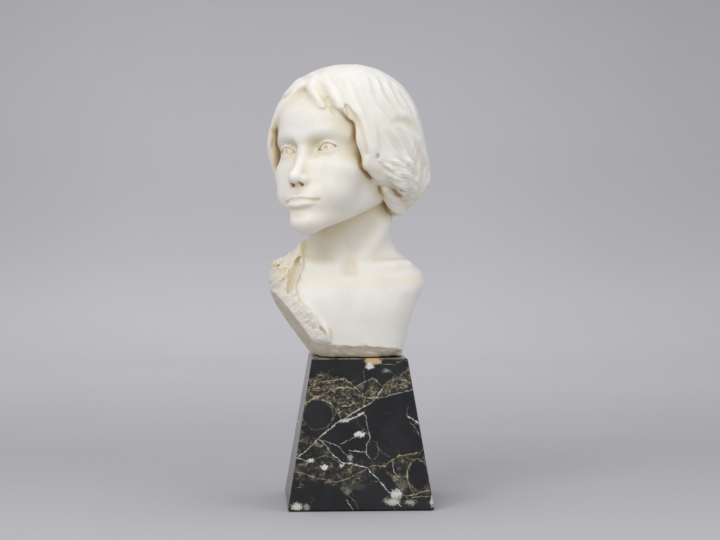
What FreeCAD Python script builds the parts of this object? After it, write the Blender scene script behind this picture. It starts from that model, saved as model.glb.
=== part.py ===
import FreeCAD, Part
import math
import os
import Sketcher

# A small carved marble bust turned on a tapered stone plinth, held by one central rod.
# Millimetres, +Z up, the origin at the centre of the felt's underside on the rod's axis.
# The bust's front faces -Y and the head looks towards -X.

V = FreeCAD.Vector
doc = FreeCAD.newDocument("bust_on_plinth")
os.makedirs("parts", exist_ok=True)

# ------------------------------------------------------------------ driving dimensions
sheet = doc.addObject("Spreadsheet::Sheet", "Dims")
CELLS = [
    ("bust_height", "298", "height of the carved block, underside to crown"),
    ("plinth_bottom", "145.5", "side of the plinth's square foot"),
    ("plinth_top", "96", "side of the plinth's square top"),
    ("plinth_height", "149", "height of the stone block"),
    ("plinth_arris", "1.2", "flat ground along each edge of the block"),
    ("felt_thick", "1", "felt sheet"),
    ("felt_inset", "5", "felt's margin inside the foot"),
    ("felt_corner", "6", "felt's rounded corners"),
    ("rod_diameter", "10", "M10 studding"),
    ("rod_into_bust", "78", "length of rod set in the bust"),
    ("rod_tail", "3.6", "rod left proud of the thin nut"),
    ("rod_lead", "1", "chamfer on the rod's ends"),
    ("bore_diameter", "11", "clearance bore through the block"),
    ("counterbore_diameter", "42", "pocket in the foot for washer and nuts"),
    ("counterbore_depth", "35", "depth of that pocket"),
    ("socket_diameter", "15", "hole drilled in the bust"),
    ("socket_depth", "82", "depth of that hole"),
    ("disc_diameter", "84", "bedding disc between the stones"),
    ("disc_thick", "1", "its thickness"),
    ("disc_bore", "15.6", "its hole"),
    ("washer_diameter", "34", "large flat washer"),
    ("washer_thick", "3", "its thickness"),
    ("washer_bore", "10.5", "its hole"),
    ("nut_flats", "17", "across flats of both nuts"),
    ("nut_thick", "8.4", "full nut"),
    ("thin_nut_thick", "5", "thin nut"),
    ("nut_bore", "10.2", "hole of both nuts"),
]
for i, (alias, value, note) in enumerate(CELLS):
    row = i + 1
    sheet.set("A%d" % row, alias)
    sheet.set("B%d" % row, value)
    sheet.set("C%d" % row, note)
    sheet.setAlias("B%d" % row, alias)
doc.recompute()


def dim(name):
    return float(getattr(sheet, name))


def expr(text):
    """Sheet names in a formula are written with a leading $."""
    out = text
    for alias, _, _ in sorted(CELLS, key=lambda c: -len(c[0])):
        out = out.replace("$" + alias, "Dims." + alias)
    return out


def bind(obj, prop, text):
    obj.setExpression(prop, expr(text))


def plane_of(body, role):
    for feature in body.Origin.OriginFeatures:
        if feature.Role == role:
            return feature
    raise RuntimeError("no origin plane " + role)


def new_body(name):
    body = doc.addObject("PartDesign::Body", name)
    body.Label = name
    return body


def new_sketch(body, name, role, lift=None):
    sketch = body.newObject("Sketcher::SketchObject", name)
    sketch.AttachmentSupport = [(plane_of(body, role), "")]
    sketch.MapMode = "FlatFace"
    if lift is not None:
        bind(sketch, ".AttachmentOffset.Base.z", lift)
    return sketch


def circle(sketch, diameter):
    g = sketch.addGeometry(Part.Circle(V(0, 0, 0), V(0, 0, 1), 5.0), False)
    sketch.addConstraint(Sketcher.Constraint("Coincident", g, 3, -1, 1))
    c = sketch.addConstraint(Sketcher.Constraint("Diameter", g, 10.0))
    bind(sketch, "Constraints[%d]" % c, diameter)


def square(sketch, side):
    """A square centred on the origin, symmetric about both axes."""
    h = 20.0
    pts = [V(-h, -h, 0), V(h, -h, 0), V(h, h, 0), V(-h, h, 0)]
    for i in range(4):
        sketch.addGeometry(Part.LineSegment(pts[i], pts[(i + 1) % 4]), False)
    for i in range(4):
        sketch.addConstraint(Sketcher.Constraint("Coincident", i, 2, (i + 1) % 4, 1))
    sketch.addConstraint(Sketcher.Constraint("Horizontal", 0))
    sketch.addConstraint(Sketcher.Constraint("Horizontal", 2))
    sketch.addConstraint(Sketcher.Constraint("Vertical", 1))
    sketch.addConstraint(Sketcher.Constraint("Vertical", 3))
    sketch.addConstraint(Sketcher.Constraint("Symmetric", 0, 1, 1, 2, -1, 1))
    c = sketch.addConstraint(Sketcher.Constraint("DistanceX", 0, 1, 0, 2, 2 * h))
    bind(sketch, "Constraints[%d]" % c, side)
    c = sketch.addConstraint(Sketcher.Constraint("DistanceY", 1, 1, 1, 2, 2 * h))
    bind(sketch, "Constraints[%d]" % c, side)


def hexagon(sketch, flats):
    r = 10.0
    ring = sketch.addGeometry(Part.Circle(V(0, 0, 0), V(0, 0, 1), r), False)
    sketch.toggleConstruction(ring)
    sketch.addConstraint(Sketcher.Constraint("Coincident", ring, 3, -1, 1))
    c = sketch.addConstraint(Sketcher.Constraint("Diameter", ring, 2 * r))
    bind(sketch, "Constraints[%d]" % c, "%s / cos(30)" % flats)
    pts = [V(r * math.cos(math.radians(60 * i)), r * math.sin(math.radians(60 * i)), 0) for i in range(6)]
    side = []
    for i in range(6):
        side.append(sketch.addGeometry(Part.LineSegment(pts[i], pts[(i + 1) % 6]), False))
    for i in range(6):
        sketch.addConstraint(Sketcher.Constraint("Coincident", side[i], 2, side[(i + 1) % 6], 1))
        sketch.addConstraint(Sketcher.Constraint("PointOnObject", side[i], 1, ring))
    for i in range(1, 6):
        sketch.addConstraint(Sketcher.Constraint("Equal", side[0], side[i]))
    sketch.addConstraint(Sketcher.Constraint("Horizontal", side[1]))


def pad(body, sketch, name, length):
    feature = body.newObject("PartDesign::Pad", name)
    feature.Profile = sketch
    bind(feature, "Length", length)
    sketch.Visibility = False
    return feature


def pocket(body, sketch, name, length=None):
    feature = body.newObject("PartDesign::Pocket", name)
    feature.Profile = sketch
    if length is None:
        feature.Type = 1
        feature.Midplane = True
    else:
        bind(feature, "Length", length)
    sketch.Visibility = False
    return feature


def drilled(body, name, role, lift, diameter, length, reverse=True):
    """A round pocket cut from the sketch plane upwards; the volume must drop."""
    before = body.Tip.Shape.Volume
    sketch = new_sketch(body, name + "_sketch", role, lift)
    circle(sketch, diameter)
    cut = body.newObject("PartDesign::Pocket", name)
    cut.Profile = sketch
    cut.Reversed = reverse
    bind(cut, "Length", length)
    sketch.Visibility = False
    doc.recompute()
    if not cut.Shape.Volume < before - 1.0:
        raise RuntimeError(name + " removed nothing %s %s %s %s %s" % (cut.State, cut.Length, before, cut.Shape.Volume, sketch.Placement))
    return cut


def circular_edges(shape, z, radius, tol=0.05):
    names = []
    for i, edge in enumerate(shape.Edges):
        curve = edge.Curve
        if isinstance(curve, Part.Circle) and abs(curve.Radius - radius) < tol and abs(curve.Center.z - z) < tol:
            names.append("Edge%d" % (i + 1))
    return names


# ------------------------------------------------------------------ plinth
plinth = new_body("plinth")
foot = new_sketch(plinth, "plinth_foot", "XY_Plane")
square(foot, "$plinth_bottom")
taper = pad(plinth, foot, "plinth_taper", "$plinth_height")
bind(taper, "TaperAngle", "-atan(($plinth_bottom - $plinth_top) / (2 * $plinth_height))")
doc.recompute()
top_side = max(e.Length for e in taper.Shape.Edges
               if abs(e.BoundBox.ZMin - dim("plinth_height")) < 1e-4)
if abs(top_side - dim("plinth_top")) > 0.01:
    raise RuntimeError("the block tapers the wrong way: top side %.3f" % top_side)

arris = plinth.newObject("PartDesign::Chamfer", "plinth_arrises")
arris.Base = (taper, ["Edge%d" % (i + 1) for i in range(len(taper.Shape.Edges))])
bind(arris, "Size", "$plinth_arris")
doc.recompute()
drilled(plinth, "plinth_counterbore", "XY_Plane", None, "$counterbore_diameter", "$counterbore_depth")
drilled(plinth, "plinth_bore", "XY_Plane", "$counterbore_depth - 1", "$bore_diameter", "$plinth_height - $counterbore_depth + 4")
# countersunk lip at the top of the bore and at the mouth of the pocket
doc.recompute()
lips = circular_edges(plinth.Tip.Shape, dim("plinth_height"), dim("bore_diameter") / 2)
lips += circular_edges(plinth.Tip.Shape, 0.0, dim("counterbore_diameter") / 2)
lip = plinth.newObject("PartDesign::Chamfer", "plinth_lips")
lip.Base = (plinth.Tip if plinth.Tip is not lip else plinth.getObject("plinth_bore"), lips)
lip.Size = 0.8
bind(plinth, ".Placement.Base.z", "$felt_thick")

# ------------------------------------------------------------------ felt
felt = new_body("base_felt")
sheet_sketch = new_sketch(felt, "felt_outline", "XY_Plane")
square(sheet_sketch, "$plinth_bottom - 2 * $felt_inset")
felt_pad = pad(felt, sheet_sketch, "felt_sheet", "$felt_thick")
doc.recompute()
corner_edges = []
for i, edge in enumerate(felt_pad.Shape.Edges):
    a, b = edge.Vertexes[0].Point, edge.Vertexes[-1].Point
    if abs(a.x - b.x) < 1e-6 and abs(a.y - b.y) < 1e-6:
        corner_edges.append("Edge%d" % (i + 1))
felt_round = felt.newObject("PartDesign::Fillet", "felt_corners")
felt_round.Base = (felt_pad, corner_edges)
bind(felt_round, "Radius", "$felt_corner")

# ------------------------------------------------------------------ round and hexagonal hardware
LEVEL_TOP = "$felt_thick + $plinth_height"
LEVEL_SEAT = "$felt_thick + $counterbore_depth"


def ring_part(name, outer, hole, thick, level):
    body = new_body(name)
    face = new_sketch(body, name + "_face", "XY_Plane")
    circle(face, outer)
    pad(body, face, name + "_blank", thick)
    doc.recompute()
    drilled(body, name + "_hole", "XY_Plane", None, hole, thick)
    bind(body, ".Placement.Base.z", level)
    return body


bedding = ring_part("bedding_washer", "$disc_diameter", "$disc_bore", "$disc_thick", LEVEL_TOP)
washer = ring_part("clamp_washer", "$washer_diameter", "$washer_bore", "$washer_thick",
                   LEVEL_SEAT + " - $washer_thick")
doc.recompute()
rim = washer.newObject("PartDesign::Chamfer", "clamp_washer_rim")
rim.Base = (washer.getObject("clamp_washer_hole"),
            circular_edges(washer.getObject("clamp_washer_hole").Shape, 0.0, dim("washer_diameter") / 2))
rim.Size = 0.6


def hex_nut(name, thick, level):
    body = new_body(name)
    face = new_sketch(body, name + "_face", "XY_Plane")
    hexagon(face, "$nut_flats")
    pad(body, face, name + "_blank", thick)
    doc.recompute()
    drilled(body, name + "_hole", "XY_Plane", None, "$nut_bore", thick)
    # corners turned off at 30 degrees on both faces
    half = dim("nut_flats") / 2.0
    corner = half / math.cos(math.radians(30))
    turn = new_sketch(body, name + "_turning", "XZ_Plane")
    t = dim("nut_thick") if name == "clamp_nut" else dim("thin_nut_thick")
    for base, sign in ((0.0, 1.0), (t, -1.0)):
        fall = sign * (corner + 1.0 - half * 0.96) * math.tan(math.radians(30))
        pts = [V(half * 0.96, base, 0), V(corner + 1.0, base + fall, 0), V(corner + 1.0, base, 0)]
        first = None
        for i in range(3):
            g = turn.addGeometry(Part.LineSegment(pts[i], pts[(i + 1) % 3]), False)
            first = g if first is None else first
        for i in range(3):
            turn.addConstraint(Sketcher.Constraint("Coincident", first + i, 2, first + (i + 1) % 3, 1))
    doc.recompute()
    before = body.Tip.Shape.Volume
    groove = body.newObject("PartDesign::Groove", name + "_corners")
    groove.Profile = turn
    groove.ReferenceAxis = (turn, ["V_Axis"])
    groove.Angle = 360
    turn.Visibility = False
    doc.recompute()
    if not groove.Shape.Volume < before - 0.5:
        raise RuntimeError(name + " corners not turned")
    bind(body, ".Placement.Base.z", level)
    return body


nut = hex_nut("clamp_nut", "$nut_thick", LEVEL_SEAT + " - $washer_thick - $nut_thick")
thin = hex_nut("lock_nut", "$thin_nut_thick", LEVEL_SEAT + " - $washer_thick - $nut_thick - $thin_nut_thick")

ROD_LOW = LEVEL_SEAT + " - $washer_thick - $nut_thick - $thin_nut_thick - $rod_tail"
ROD_LONG = ("$plinth_height - $counterbore_depth + $washer_thick + $nut_thick + $thin_nut_thick"
            " + $rod_tail + $disc_thick + $rod_into_bust")
rod = new_body("fixing_rod")
rod_face = new_sketch(rod, "rod_face", "XY_Plane")
circle(rod_face, "$rod_diameter")
rod_pad = pad(rod, rod_face, "rod_bar", ROD_LONG)
doc.recompute()
ends = rod.newObject("PartDesign::Chamfer", "rod_ends")
ends.Base = (rod_pad, ["Edge%d" % (i + 1) for i, e in enumerate(rod_pad.Shape.Edges) if isinstance(e.Curve, Part.Circle)])
bind(ends, "Size", "$rod_lead")
bind(rod, ".Placement.Base.z", ROD_LOW)

# setting compound: a plug as deep as the socket with the rod's hole in it
grout = new_body("rod_grout")
plug = new_sketch(grout, "grout_face", "XY_Plane")
circle(plug, "$socket_diameter")
pad(grout, plug, "grout_plug", "$socket_depth")
doc.recompute()
drilled(grout, "grout_hole", "XY_Plane", None, "$rod_diameter", "$rod_into_bust - $rod_lead")
cone = new_sketch(grout, "grout_end", "XZ_Plane")
r0 = dim("rod_diameter") / 2.0
z1 = dim("rod_into_bust")
lead = dim("rod_lead")
pts = [V(0, z1 - lead, 0), V(r0, z1 - lead, 0), V(r0 - lead, z1, 0), V(0, z1, 0)]
for i in range(4):
    cone.addGeometry(Part.LineSegment(pts[i], pts[(i + 1) % 4]), False)
for i in range(4):
    cone.addConstraint(Sketcher.Constraint("Coincident", i, 2, (i + 1) % 4, 1))
tip = grout.newObject("PartDesign::Groove", "grout_hole_end")
tip.Profile = cone
tip.ReferenceAxis = (cone, ["V_Axis"])
tip.Angle = 360
cone.Visibility = False
bind(grout, ".Placement.Base.z", LEVEL_TOP + " + $disc_thick")

# ------------------------------------------------------------------ the carved block
# Two nets of control points in twentieths of a millimetre: each line is one level, read round the
# figure. The first net is the head with its cap of hair, the second the neck, chest and shoulders.
HEAD_NET = """
-212,-201,5977 -212,-201,5977 -212,-201,5977 -212,-201,5977 -212,-201,5977 -212,-201,5977 -212,-201,5977 -212,-201,5977 -212,-201,5977 -212,-201,5977 -212,-201,5977 -212,-201,5977 -212,-201,5977 -212,-201,5977 -212,-201,5977 -212,-201,5977 -212,-201,5977 -212,-201,5977 -212,-201,5977 -212,-201,5977 -212,-201,5977 -212,-201,5977 -212,-201,5977 -212,-201,5977 -212,-201,5977 -212,-201,5977 -212,-201,5977 -212,-201,5977 -212,-201,5977 -212,-201,5977 -212,-201,5977 -212,-201,5977 -212,-201,5977 -212,-201,5977 -212,-201,5977 -212,-201,5977 -212,-201,5977 -212,-201,5977 -212,-201,5977 -212,-201,5977 -212,-201,5977 -212,-201,5977 -212,-201,5977 -212,-201,5977 -212,-201,5977 -212,-201,5977 -212,-201,5977 -212,-201,5977 -212,-201,5977 -212,-201,5977 -212,-201,5977 -212,-201,5977 -212,-201,5977 -212,-201,5977 -212,-201,5977 -212,-201,5977 -212,-201,5977 -212,-201,5977 -212,-201,5977 -212,-201,5977 -212,-201,5977 -212,-201,5977 -212,-201,5977 -212,-201,5977 -212,-201,5977 -212,-201,5977 -212,-201,5977 -212,-201,5977 -212,-201,5977 -212,-201,5977 -212,-201,5977 -212,-201,5977 -212,-201,5977 -212,-201,5977 -212,-201,5977 -212,-201,5977
-190,-219,5981 -188,-217,5982 -186,-214,5983 -185,-210,5985 -184,-207,5986 -184,-203,5988 -183,-200,5989 -183,-196,5989 -184,-193,5990 -185,-190,5991 -186,-186,5991 -188,-183,5991 -190,-181,5993 -192,-178,5991 -195,-176,5992 -198,-174,5991 -201,-173,5991 -204,-172,5990 -208,-171,5989 -211,-171,5988 -214,-171,5987 -218,-172,5985 -221,-173,5984 -224,-174,5983 -227,-176,5981 -230,-178,5980 -233,-180,5978 -235,-183,5977 -237,-185,5975 -238,-188,5974 -239,-191,5973 -240,-194,5972 -241,-196,5971 -241,-199,5970 -241,-201,5969 -241,-203,5968 -241,-205,5968 -241,-207,5967 -241,-209,5967 -240,-211,5967 -240,-212,5966 -239,-214,5966 -239,-215,5966 -238,-216,5966 -237,-218,5966 -236,-219,5965 -236,-220,5965 -235,-221,5965 -234,-222,5965 -233,-223,5965 -232,-224,5965 -231,-225,5965 -230,-225,5965 -229,-226,5966 -228,-227,5966 -227,-228,5966 -226,-228,5966 -225,-229,5966 -224,-229,5967 -222,-230,5967 -221,-230,5967 -220,-231,5968 -218,-231,5968 -217,-231,5968 -215,-231,5969 -213,-231,5969 -212,-231,5970 -210,-231,5971 -208,-231,5971 -206,-230,5972 -204,-230,5973 -201,-229,5974 -199,-227,5975 -197,-226,5977 -194,-224,5978 -192,-222,5979
-145,-256,5984 -140,-248,5988 -135,-239,5992 -131,-229,5995 -128,-219,5998 -127,-209,6001 -126,-198,6004 -128,-188,6007 -129,-178,6009 -132,-168,6009 -137,-159,6012 -142,-150,6013 -147,-142,6010 -155,-135,6014 -162,-128,6010 -171,-123,6011 -179,-119,6008 -189,-116,6007 -199,-113,6004 -209,-113,6001 -219,-113,5998 -229,-114,5995 -238,-117,5991 -248,-121,5988 -257,-126,5984 -265,-132,5980 -273,-139,5976 -280,-146,5972 -285,-154,5968 -290,-162,5965 -294,-170,5961 -297,-179,5959 -299,-186,5956 -300,-194,5954 -301,-201,5952 -301,-207,5950 -300,-214,5949 -300,-219,5947 -299,-225,5946 -297,-230,5945 -296,-235,5944 -294,-239,5944 -293,-244,5943 -291,-248,5943 -288,-251,5943 -286,-255,5942 -284,-258,5942 -281,-262,5942 -279,-265,5942 -276,-268,5942 -273,-270,5942 -271,-273,5942 -268,-275,5943 -264,-278,5943 -261,-280,5943 -258,-282,5944 -254,-284,5944 -251,-285,5945 -247,-287,5946 -243,-288,5947 -239,-290,5947 -235,-291,5948 -231,-292,5949 -226,-292,5951 -221,-293,5952 -216,-293,5954 -210,-293,5955 -205,-292,5957 -199,-291,5959 -193,-289,5962 -186,-287,5964 -179,-284,5967 -172,-281,5970 -165,-276,5973 -158,-270,5977 -152,-264,5980
-78,-312,5991 -67,-295,5998 -58,-276,6005 -52,-256,6013 -47,-236,6020 -45,-216,6026 -45,-195,6032 -46,-175,6035 -51,-155,6039 -58,-137,6044 -65,-118,6045 -75,-102,6045 -88,-87,6049 -100,-72,6044 -116,-61,6047 -131,-50,6042 -149,-42,6040 -167,-35,6036 -186,-31,6031 -205,-29,6026 -225,-29,6020 -244,-31,6013 -263,-36,6006 -282,-43,5998 -300,-52,5990 -317,-63,5982 -333,-76,5974 -347,-91,5966 -359,-106,5958 -370,-122,5951 -378,-139,5944 -384,-155,5938 -389,-171,5932 -392,-186,5928 -394,-201,5923 -395,-214,5920 -394,-227,5916 -393,-239,5914 -391,-251,5911 -389,-261,5909 -386,-271,5908 -383,-281,5906 -379,-290,5905 -376,-298,5904 -371,-306,5903 -367,-314,5903 -362,-321,5902 -357,-328,5902 -352,-334,5902 -346,-340,5902 -340,-346,5903 -334,-351,5903 -328,-357,5903 -322,-361,5904 -315,-366,5905 -308,-370,5906 -300,-374,5907 -293,-378,5909 -285,-381,5910 -277,-384,5912 -268,-386,5914 -259,-388,5916 -250,-390,5918 -240,-391,5921 -230,-392,5924 -220,-392,5927 -208,-391,5931 -197,-389,5934 -184,-387,5939 -172,-383,5944 -158,-378,5949 -145,-372,5955 -131,-363,5961 -117,-353,5968 -103,-341,5975 -90,-328,5983
-9,-368,5996 5,-341,6008 17,-312,6020 27,-284,6029 33,-253,6039 36,-223,6047 35,-192,6055 30,-163,6064 24,-134,6069 15,-106,6071 2,-81,6076 -13,-57,6080 -29,-34,6074 -51,-15,6082 -71,4,6073 -95,18,6074 -120,31,6067 -146,41,6063 -173,48,6055 -202,51,6048 -230,52,6039 -259,49,6029 -288,43,6019 -316,33,6008 -343,21,5996 -369,5,5984 -394,-14,5972 -416,-35,5960 -435,-57,5948 -452,-81,5937 -465,-106,5927 -476,-131,5917 -484,-155,5909 -489,-178,5901 -493,-200,5895 -494,-221,5889 -494,-241,5884 -493,-260,5879 -491,-278,5875 -488,-295,5872 -484,-311,5869 -479,-325,5867 -474,-340,5865 -468,-353,5864 -461,-365,5863 -454,-377,5862 -447,-389,5861 -439,-399,5861 -431,-410,5861 -422,-419,5861 -413,-428,5861 -404,-437,5862 -394,-445,5863 -384,-452,5864 -373,-460,5865 -362,-466,5867 -351,-472,5869 -339,-478,5871 -326,-482,5873 -313,-487,5876 -300,-491,5879 -286,-494,5882 -271,-496,5886 -256,-498,5890 -240,-498,5895 -224,-498,5900 -206,-496,5905 -188,-493,5912 -169,-488,5918 -149,-482,5926 -129,-473,5934 -108,-463,5943 -87,-449,5952 -66,-433,5963 -46,-414,5974 -27,-392,5985
60,-425,6003 80,-389,6017 96,-351,6031 105,-310,6048 111,-269,6061 113,-229,6073 111,-189,6082 108,-151,6088 97,-113,6095 82,-78,6106 68,-44,6105 48,-13,6104 22,15,6118 1,43,6099 -31,64,6111 -59,85,6098 -92,100,6098 -126,114,6088 -162,123,6080 -198,128,6070 -236,130,6058 -274,127,6046 -312,120,6032 -350,109,6017 -386,93,6002 -422,73,5986 -455,50,5970 -486,23,5953 -513,-7,5937 -536,-39,5922 -556,-72,5908 -572,-105,5894 -584,-138,5883 -593,-169,5872 -599,-200,5863 -602,-229,5855 -603,-257,5848 -602,-283,5842 -599,-308,5836 -595,-331,5832 -590,-353,5828 -584,-374,5825 -576,-394,5822 -569,-413,5820 -560,-430,5818 -550,-447,5817 -540,-463,5816 -529,-478,5816 -518,-492,5815 -506,-506,5816 -493,-519,5816 -480,-531,5817 -466,-542,5818 -452,-553,5820 -437,-562,5822 -422,-571,5824 -406,-580,5827 -389,-587,5830 -372,-594,5833 -353,-600,5837 -335,-605,5841 -315,-608,5846 -294,-611,5851 -273,-613,5857 -251,-613,5863 -228,-612,5870 -204,-609,5878 -179,-605,5886 -153,-598,5895 -126,-588,5906 -98,-575,5917 -70,-560,5929 -41,-540,5943 -13,-517,5957 13,-490,5972 38,-459,5987
132,-484,6009 153,-436,6030 169,-386,6049 185,-338,6061 191,-287,6077 193,-237,6090 189,-187,6103 177,-139,6118 166,-94,6130 154,-50,6120 126,-10,6137 103,28,6146 83,66,6106 38,91,6167 17,127,6103 -29,144,6145 -63,170,6109 -108,183,6115 -150,196,6104 -195,203,6091 -241,206,6078 -288,204,6062 -335,196,6045 -383,184,6027 -429,166,6008 -474,142,5988 -517,114,5967 -557,81,5947 -593,45,5927 -624,5,5907 -651,-36,5889 -673,-78,5872 -690,-119,5857 -702,-160,5843 -711,-199,5831 -716,-237,5821 -719,-273,5811 -719,-307,5803 -717,-340,5795 -712,-371,5789 -706,-400,5783 -699,-427,5779 -690,-454,5775 -680,-478,5773 -668,-502,5771 -656,-524,5769 -643,-545,5768 -629,-565,5767 -614,-584,5766 -598,-602,5767 -582,-619,5768 -564,-634,5769 -546,-649,5771 -528,-663,5773 -508,-676,5775 -488,-688,5778 -466,-699,5781 -444,-708,5786 -421,-716,5791 -397,-724,5795 -373,-730,5800 -347,-735,5806 -320,-739,5813 -292,-740,5821 -263,-739,5830 -233,-737,5839 -201,-732,5850 -169,-724,5861 -135,-714,5873 -100,-700,5887 -65,-683,5901 -29,-661,5917 7,-635,5934 41,-604,5952 75,-568,5971 105,-528,5990
205,-543,6017 232,-487,6036 254,-428,6055 259,-362,6086 266,-301,6103 264,-242,6122 260,-183,6132 256,-129,6140 241,-72,6128 203,-28,6192 233,36,6039 155,65,6179 173,134,6020 97,151,6132 67,196,6087 18,221,6094 -38,237,6132 -80,270,6069 -143,259,6153 -190,282,6087 -247,278,6108 -301,281,6073 -359,271,6062 -415,259,6035 -472,238,6015 -527,212,5990 -580,180,5966 -630,142,5940 -676,99,5914 -717,52,5890 -752,2,5867 -781,-49,5845 -804,-100,5826 -822,-150,5808 -835,-199,5793 -843,-246,5780 -847,-291,5768 -848,-334,5758 -845,-375,5750 -840,-414,5743 -833,-450,5737 -824,-485,5732 -814,-519,5727 -802,-551,5722 -789,-581,5719 -774,-610,5716 -758,-636,5714 -740,-661,5714 -721,-685,5714 -701,-708,5714 -681,-730,5714 -659,-750,5715 -636,-769,5717 -612,-786,5721 -587,-802,5724 -561,-817,5729 -534,-830,5733 -506,-843,5737 -477,-854,5743 -446,-862,5750 -415,-869,5758 -382,-873,5766 -348,-877,5775 -312,-878,5784 -276,-877,5794 -238,-874,5805 -198,-867,5817 -158,-857,5830 -116,-843,5845 -73,-824,5862 -29,-801,5880 15,-772,5900 58,-738,5922 100,-697,5944 139,-651,5968 175,-600,5991
282,-607,6021 305,-533,6055 321,-458,6083 343,-393,6093 352,-320,6105 344,-251,6139 352,-182,6120 294,-118,6212 345,-54,6092 292,3,6145 308,73,6061 281,134,6019 218,179,6085 214,255,5944 110,260,6102 92,334,5959 -10,313,6123 -46,372,6003 -132,338,6141 -184,379,6045 -254,341,6145 -315,361,6072 -382,343,6082 -448,334,6041 -515,310,6024 -581,284,5990 -646,247,5962 -706,204,5933 -761,154,5907 -810,99,5882 -853,41,5858 -888,-18,5835 -918,-78,5813 -941,-138,5792 -959,-197,5772 -972,-254,5752 -981,-309,5735 -985,-362,5718 -986,-413,5704 -983,-462,5692 -977,-508,5681 -967,-552,5674 -954,-593,5668 -939,-631,5665 -922,-668,5663 -903,-703,5662 -884,-737,5659 -864,-769,5656 -841,-800,5656 -817,-828,5657 -791,-854,5659 -763,-878,5662 -735,-901,5665 -706,-923,5667 -675,-944,5670 -643,-962,5674 -609,-978,5679 -574,-991,5687 -538,-1003,5695 -500,-1014,5702 -462,-1023,5709 -421,-1030,5717 -379,-1034,5727 -336,-1034,5740 -290,-1030,5754 -244,-1022,5771 -195,-1010,5790 -146,-994,5811 -96,-973,5832 -45,-947,5855 7,-916,5878 58,-879,5902 109,-837,5926 158,-788,5950 205,-733,5973 245,-672,6000
348,-658,6052 388,-588,6060 424,-511,6068 410,-412,6134 422,-333,6144 398,-250,6192 420,-182,6161 452,-110,6089 396,-36,6151 456,46,5992 366,106,6099 424,215,5887 284,233,6077 311,354,5866 186,350,6024 151,443,5901 47,424,6022 -19,481,5959 -109,450,6056 -183,479,6015 -260,439,6095 -334,449,6057 -402,409,6108 -482,412,6045 -558,382,6032 -635,355,5993 -707,311,5972 -775,263,5945 -837,205,5925 -891,144,5902 -939,78,5881 -980,11,5858 -1015,-56,5836 -1043,-124,5814 -1066,-190,5791 -1084,-256,5769 -1098,-320,5746 -1107,-382,5724 -1113,-443,5703 -1115,-502,5682 -1113,-559,5662 -1108,-614,5643 -1100,-667,5626 -1089,-719,5612 -1073,-767,5601 -1053,-811,5594 -1028,-851,5594 -1000,-888,5596 -972,-923,5597 -943,-958,5596 -914,-992,5594 -882,-1023,5594 -847,-1052,5598 -811,-1076,5604 -772,-1099,5611 -733,-1120,5619 -693,-1140,5624 -652,-1161,5628 -608,-1177,5634 -561,-1186,5647 -513,-1191,5664 -462,-1191,5684 -410,-1187,5707 -357,-1179,5730 -303,-1167,5755 -248,-1152,5781 -193,-1132,5807 -136,-1109,5833 -79,-1081,5860 -20,-1049,5886 38,-1011,5912 96,-968,5937 153,-918,5962 209,-864,5984 260,-801,6008 309,-735,6027
413,-710,6085 439,-611,6122 439,-510,6175 504,-448,6117 491,-350,6162 527,-271,6121 489,-181,6175 520,-98,6111 512,-18,6106 587,91,5929 478,156,6040 524,278,5865 407,328,5959 366,414,5903 309,500,5837 185,510,5943 132,599,5828 -3,563,5973 -74,608,5913 -185,582,5988 -266,569,6005 -357,541,6041 -424,484,6111 -515,485,6058 -597,451,6048 -683,420,6014 -762,371,5997 -835,316,5977 -900,252,5961 -959,184,5943 -1010,112,5926 -1055,39,5907 -1092,-35,5886 -1124,-109,5864 -1151,-182,5841 -1173,-253,5817 -1190,-324,5793 -1204,-393,5769 -1214,-462,5743 -1220,-529,5718 -1224,-595,5692 -1224,-660,5666 -1221,-724,5641 -1214,-786,5618 -1203,-846,5596 -1189,-905,5576 -1175,-965,5550 -1162,-1028,5519 -1144,-1088,5491 -1119,-1144,5470 -1088,-1193,5459 -1050,-1235,5455 -1007,-1270,5459 -959,-1298,5470 -907,-1318,5490 -850,-1329,5518 -791,-1333,5553 -730,-1330,5591 -672,-1329,5623 -614,-1330,5650 -555,-1326,5678 -496,-1319,5707 -436,-1307,5738 -375,-1292,5769 -314,-1273,5800 -252,-1251,5831 -190,-1225,5861 -128,-1196,5890 -65,-1163,5918 -1,-1125,5946 63,-1083,5972 126,-1034,5997 189,-982,6019 249,-921,6041 309,-858,6057 360,-782,6078
449,-730,6160 525,-675,6115 675,-656,5968 785,-582,5871 866,-482,5797 875,-348,5800 887,-228,5780 834,-83,5823 576,4,6135 750,135,5845 615,222,5957 640,347,5826 540,435,5852 456,502,5866 414,640,5735 253,617,5893 195,751,5738 49,714,5864 -56,750,5842 -175,718,5911 -278,694,5950 -379,654,5994 -460,586,6071 -546,554,6076 -634,514,6074 -726,479,6044 -807,422,6037 -884,362,6022 -951,291,6015 -1011,217,6002 -1063,140,5990 -1109,62,5974 -1149,-16,5957 -1183,-94,5937 -1212,-171,5916 -1236,-247,5893 -1259,-323,5866 -1278,-398,5837 -1292,-473,5809 -1302,-546,5782 -1308,-618,5757 -1310,-689,5730 -1312,-761,5700 -1313,-834,5667 -1306,-904,5639 -1301,-977,5604 -1298,-1055,5563 -1285,-1127,5531 -1263,-1194,5508 -1232,-1252,5494 -1194,-1303,5488 -1151,-1348,5488 -1102,-1388,5492 -1050,-1421,5502 -993,-1448,5516 -932,-1465,5538 -866,-1471,5569 -796,-1466,5609 -724,-1451,5657 -656,-1438,5698 -589,-1428,5733 -521,-1410,5772 -455,-1391,5808 -388,-1372,5840 -322,-1350,5872 -255,-1324,5903 -188,-1292,5936 -121,-1256,5970 -55,-1217,6001 13,-1176,6027 80,-1130,6053 148,-1081,6074 214,-1023,6096 282,-964,6109 342,-892,6130 408,-825,6130
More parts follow.
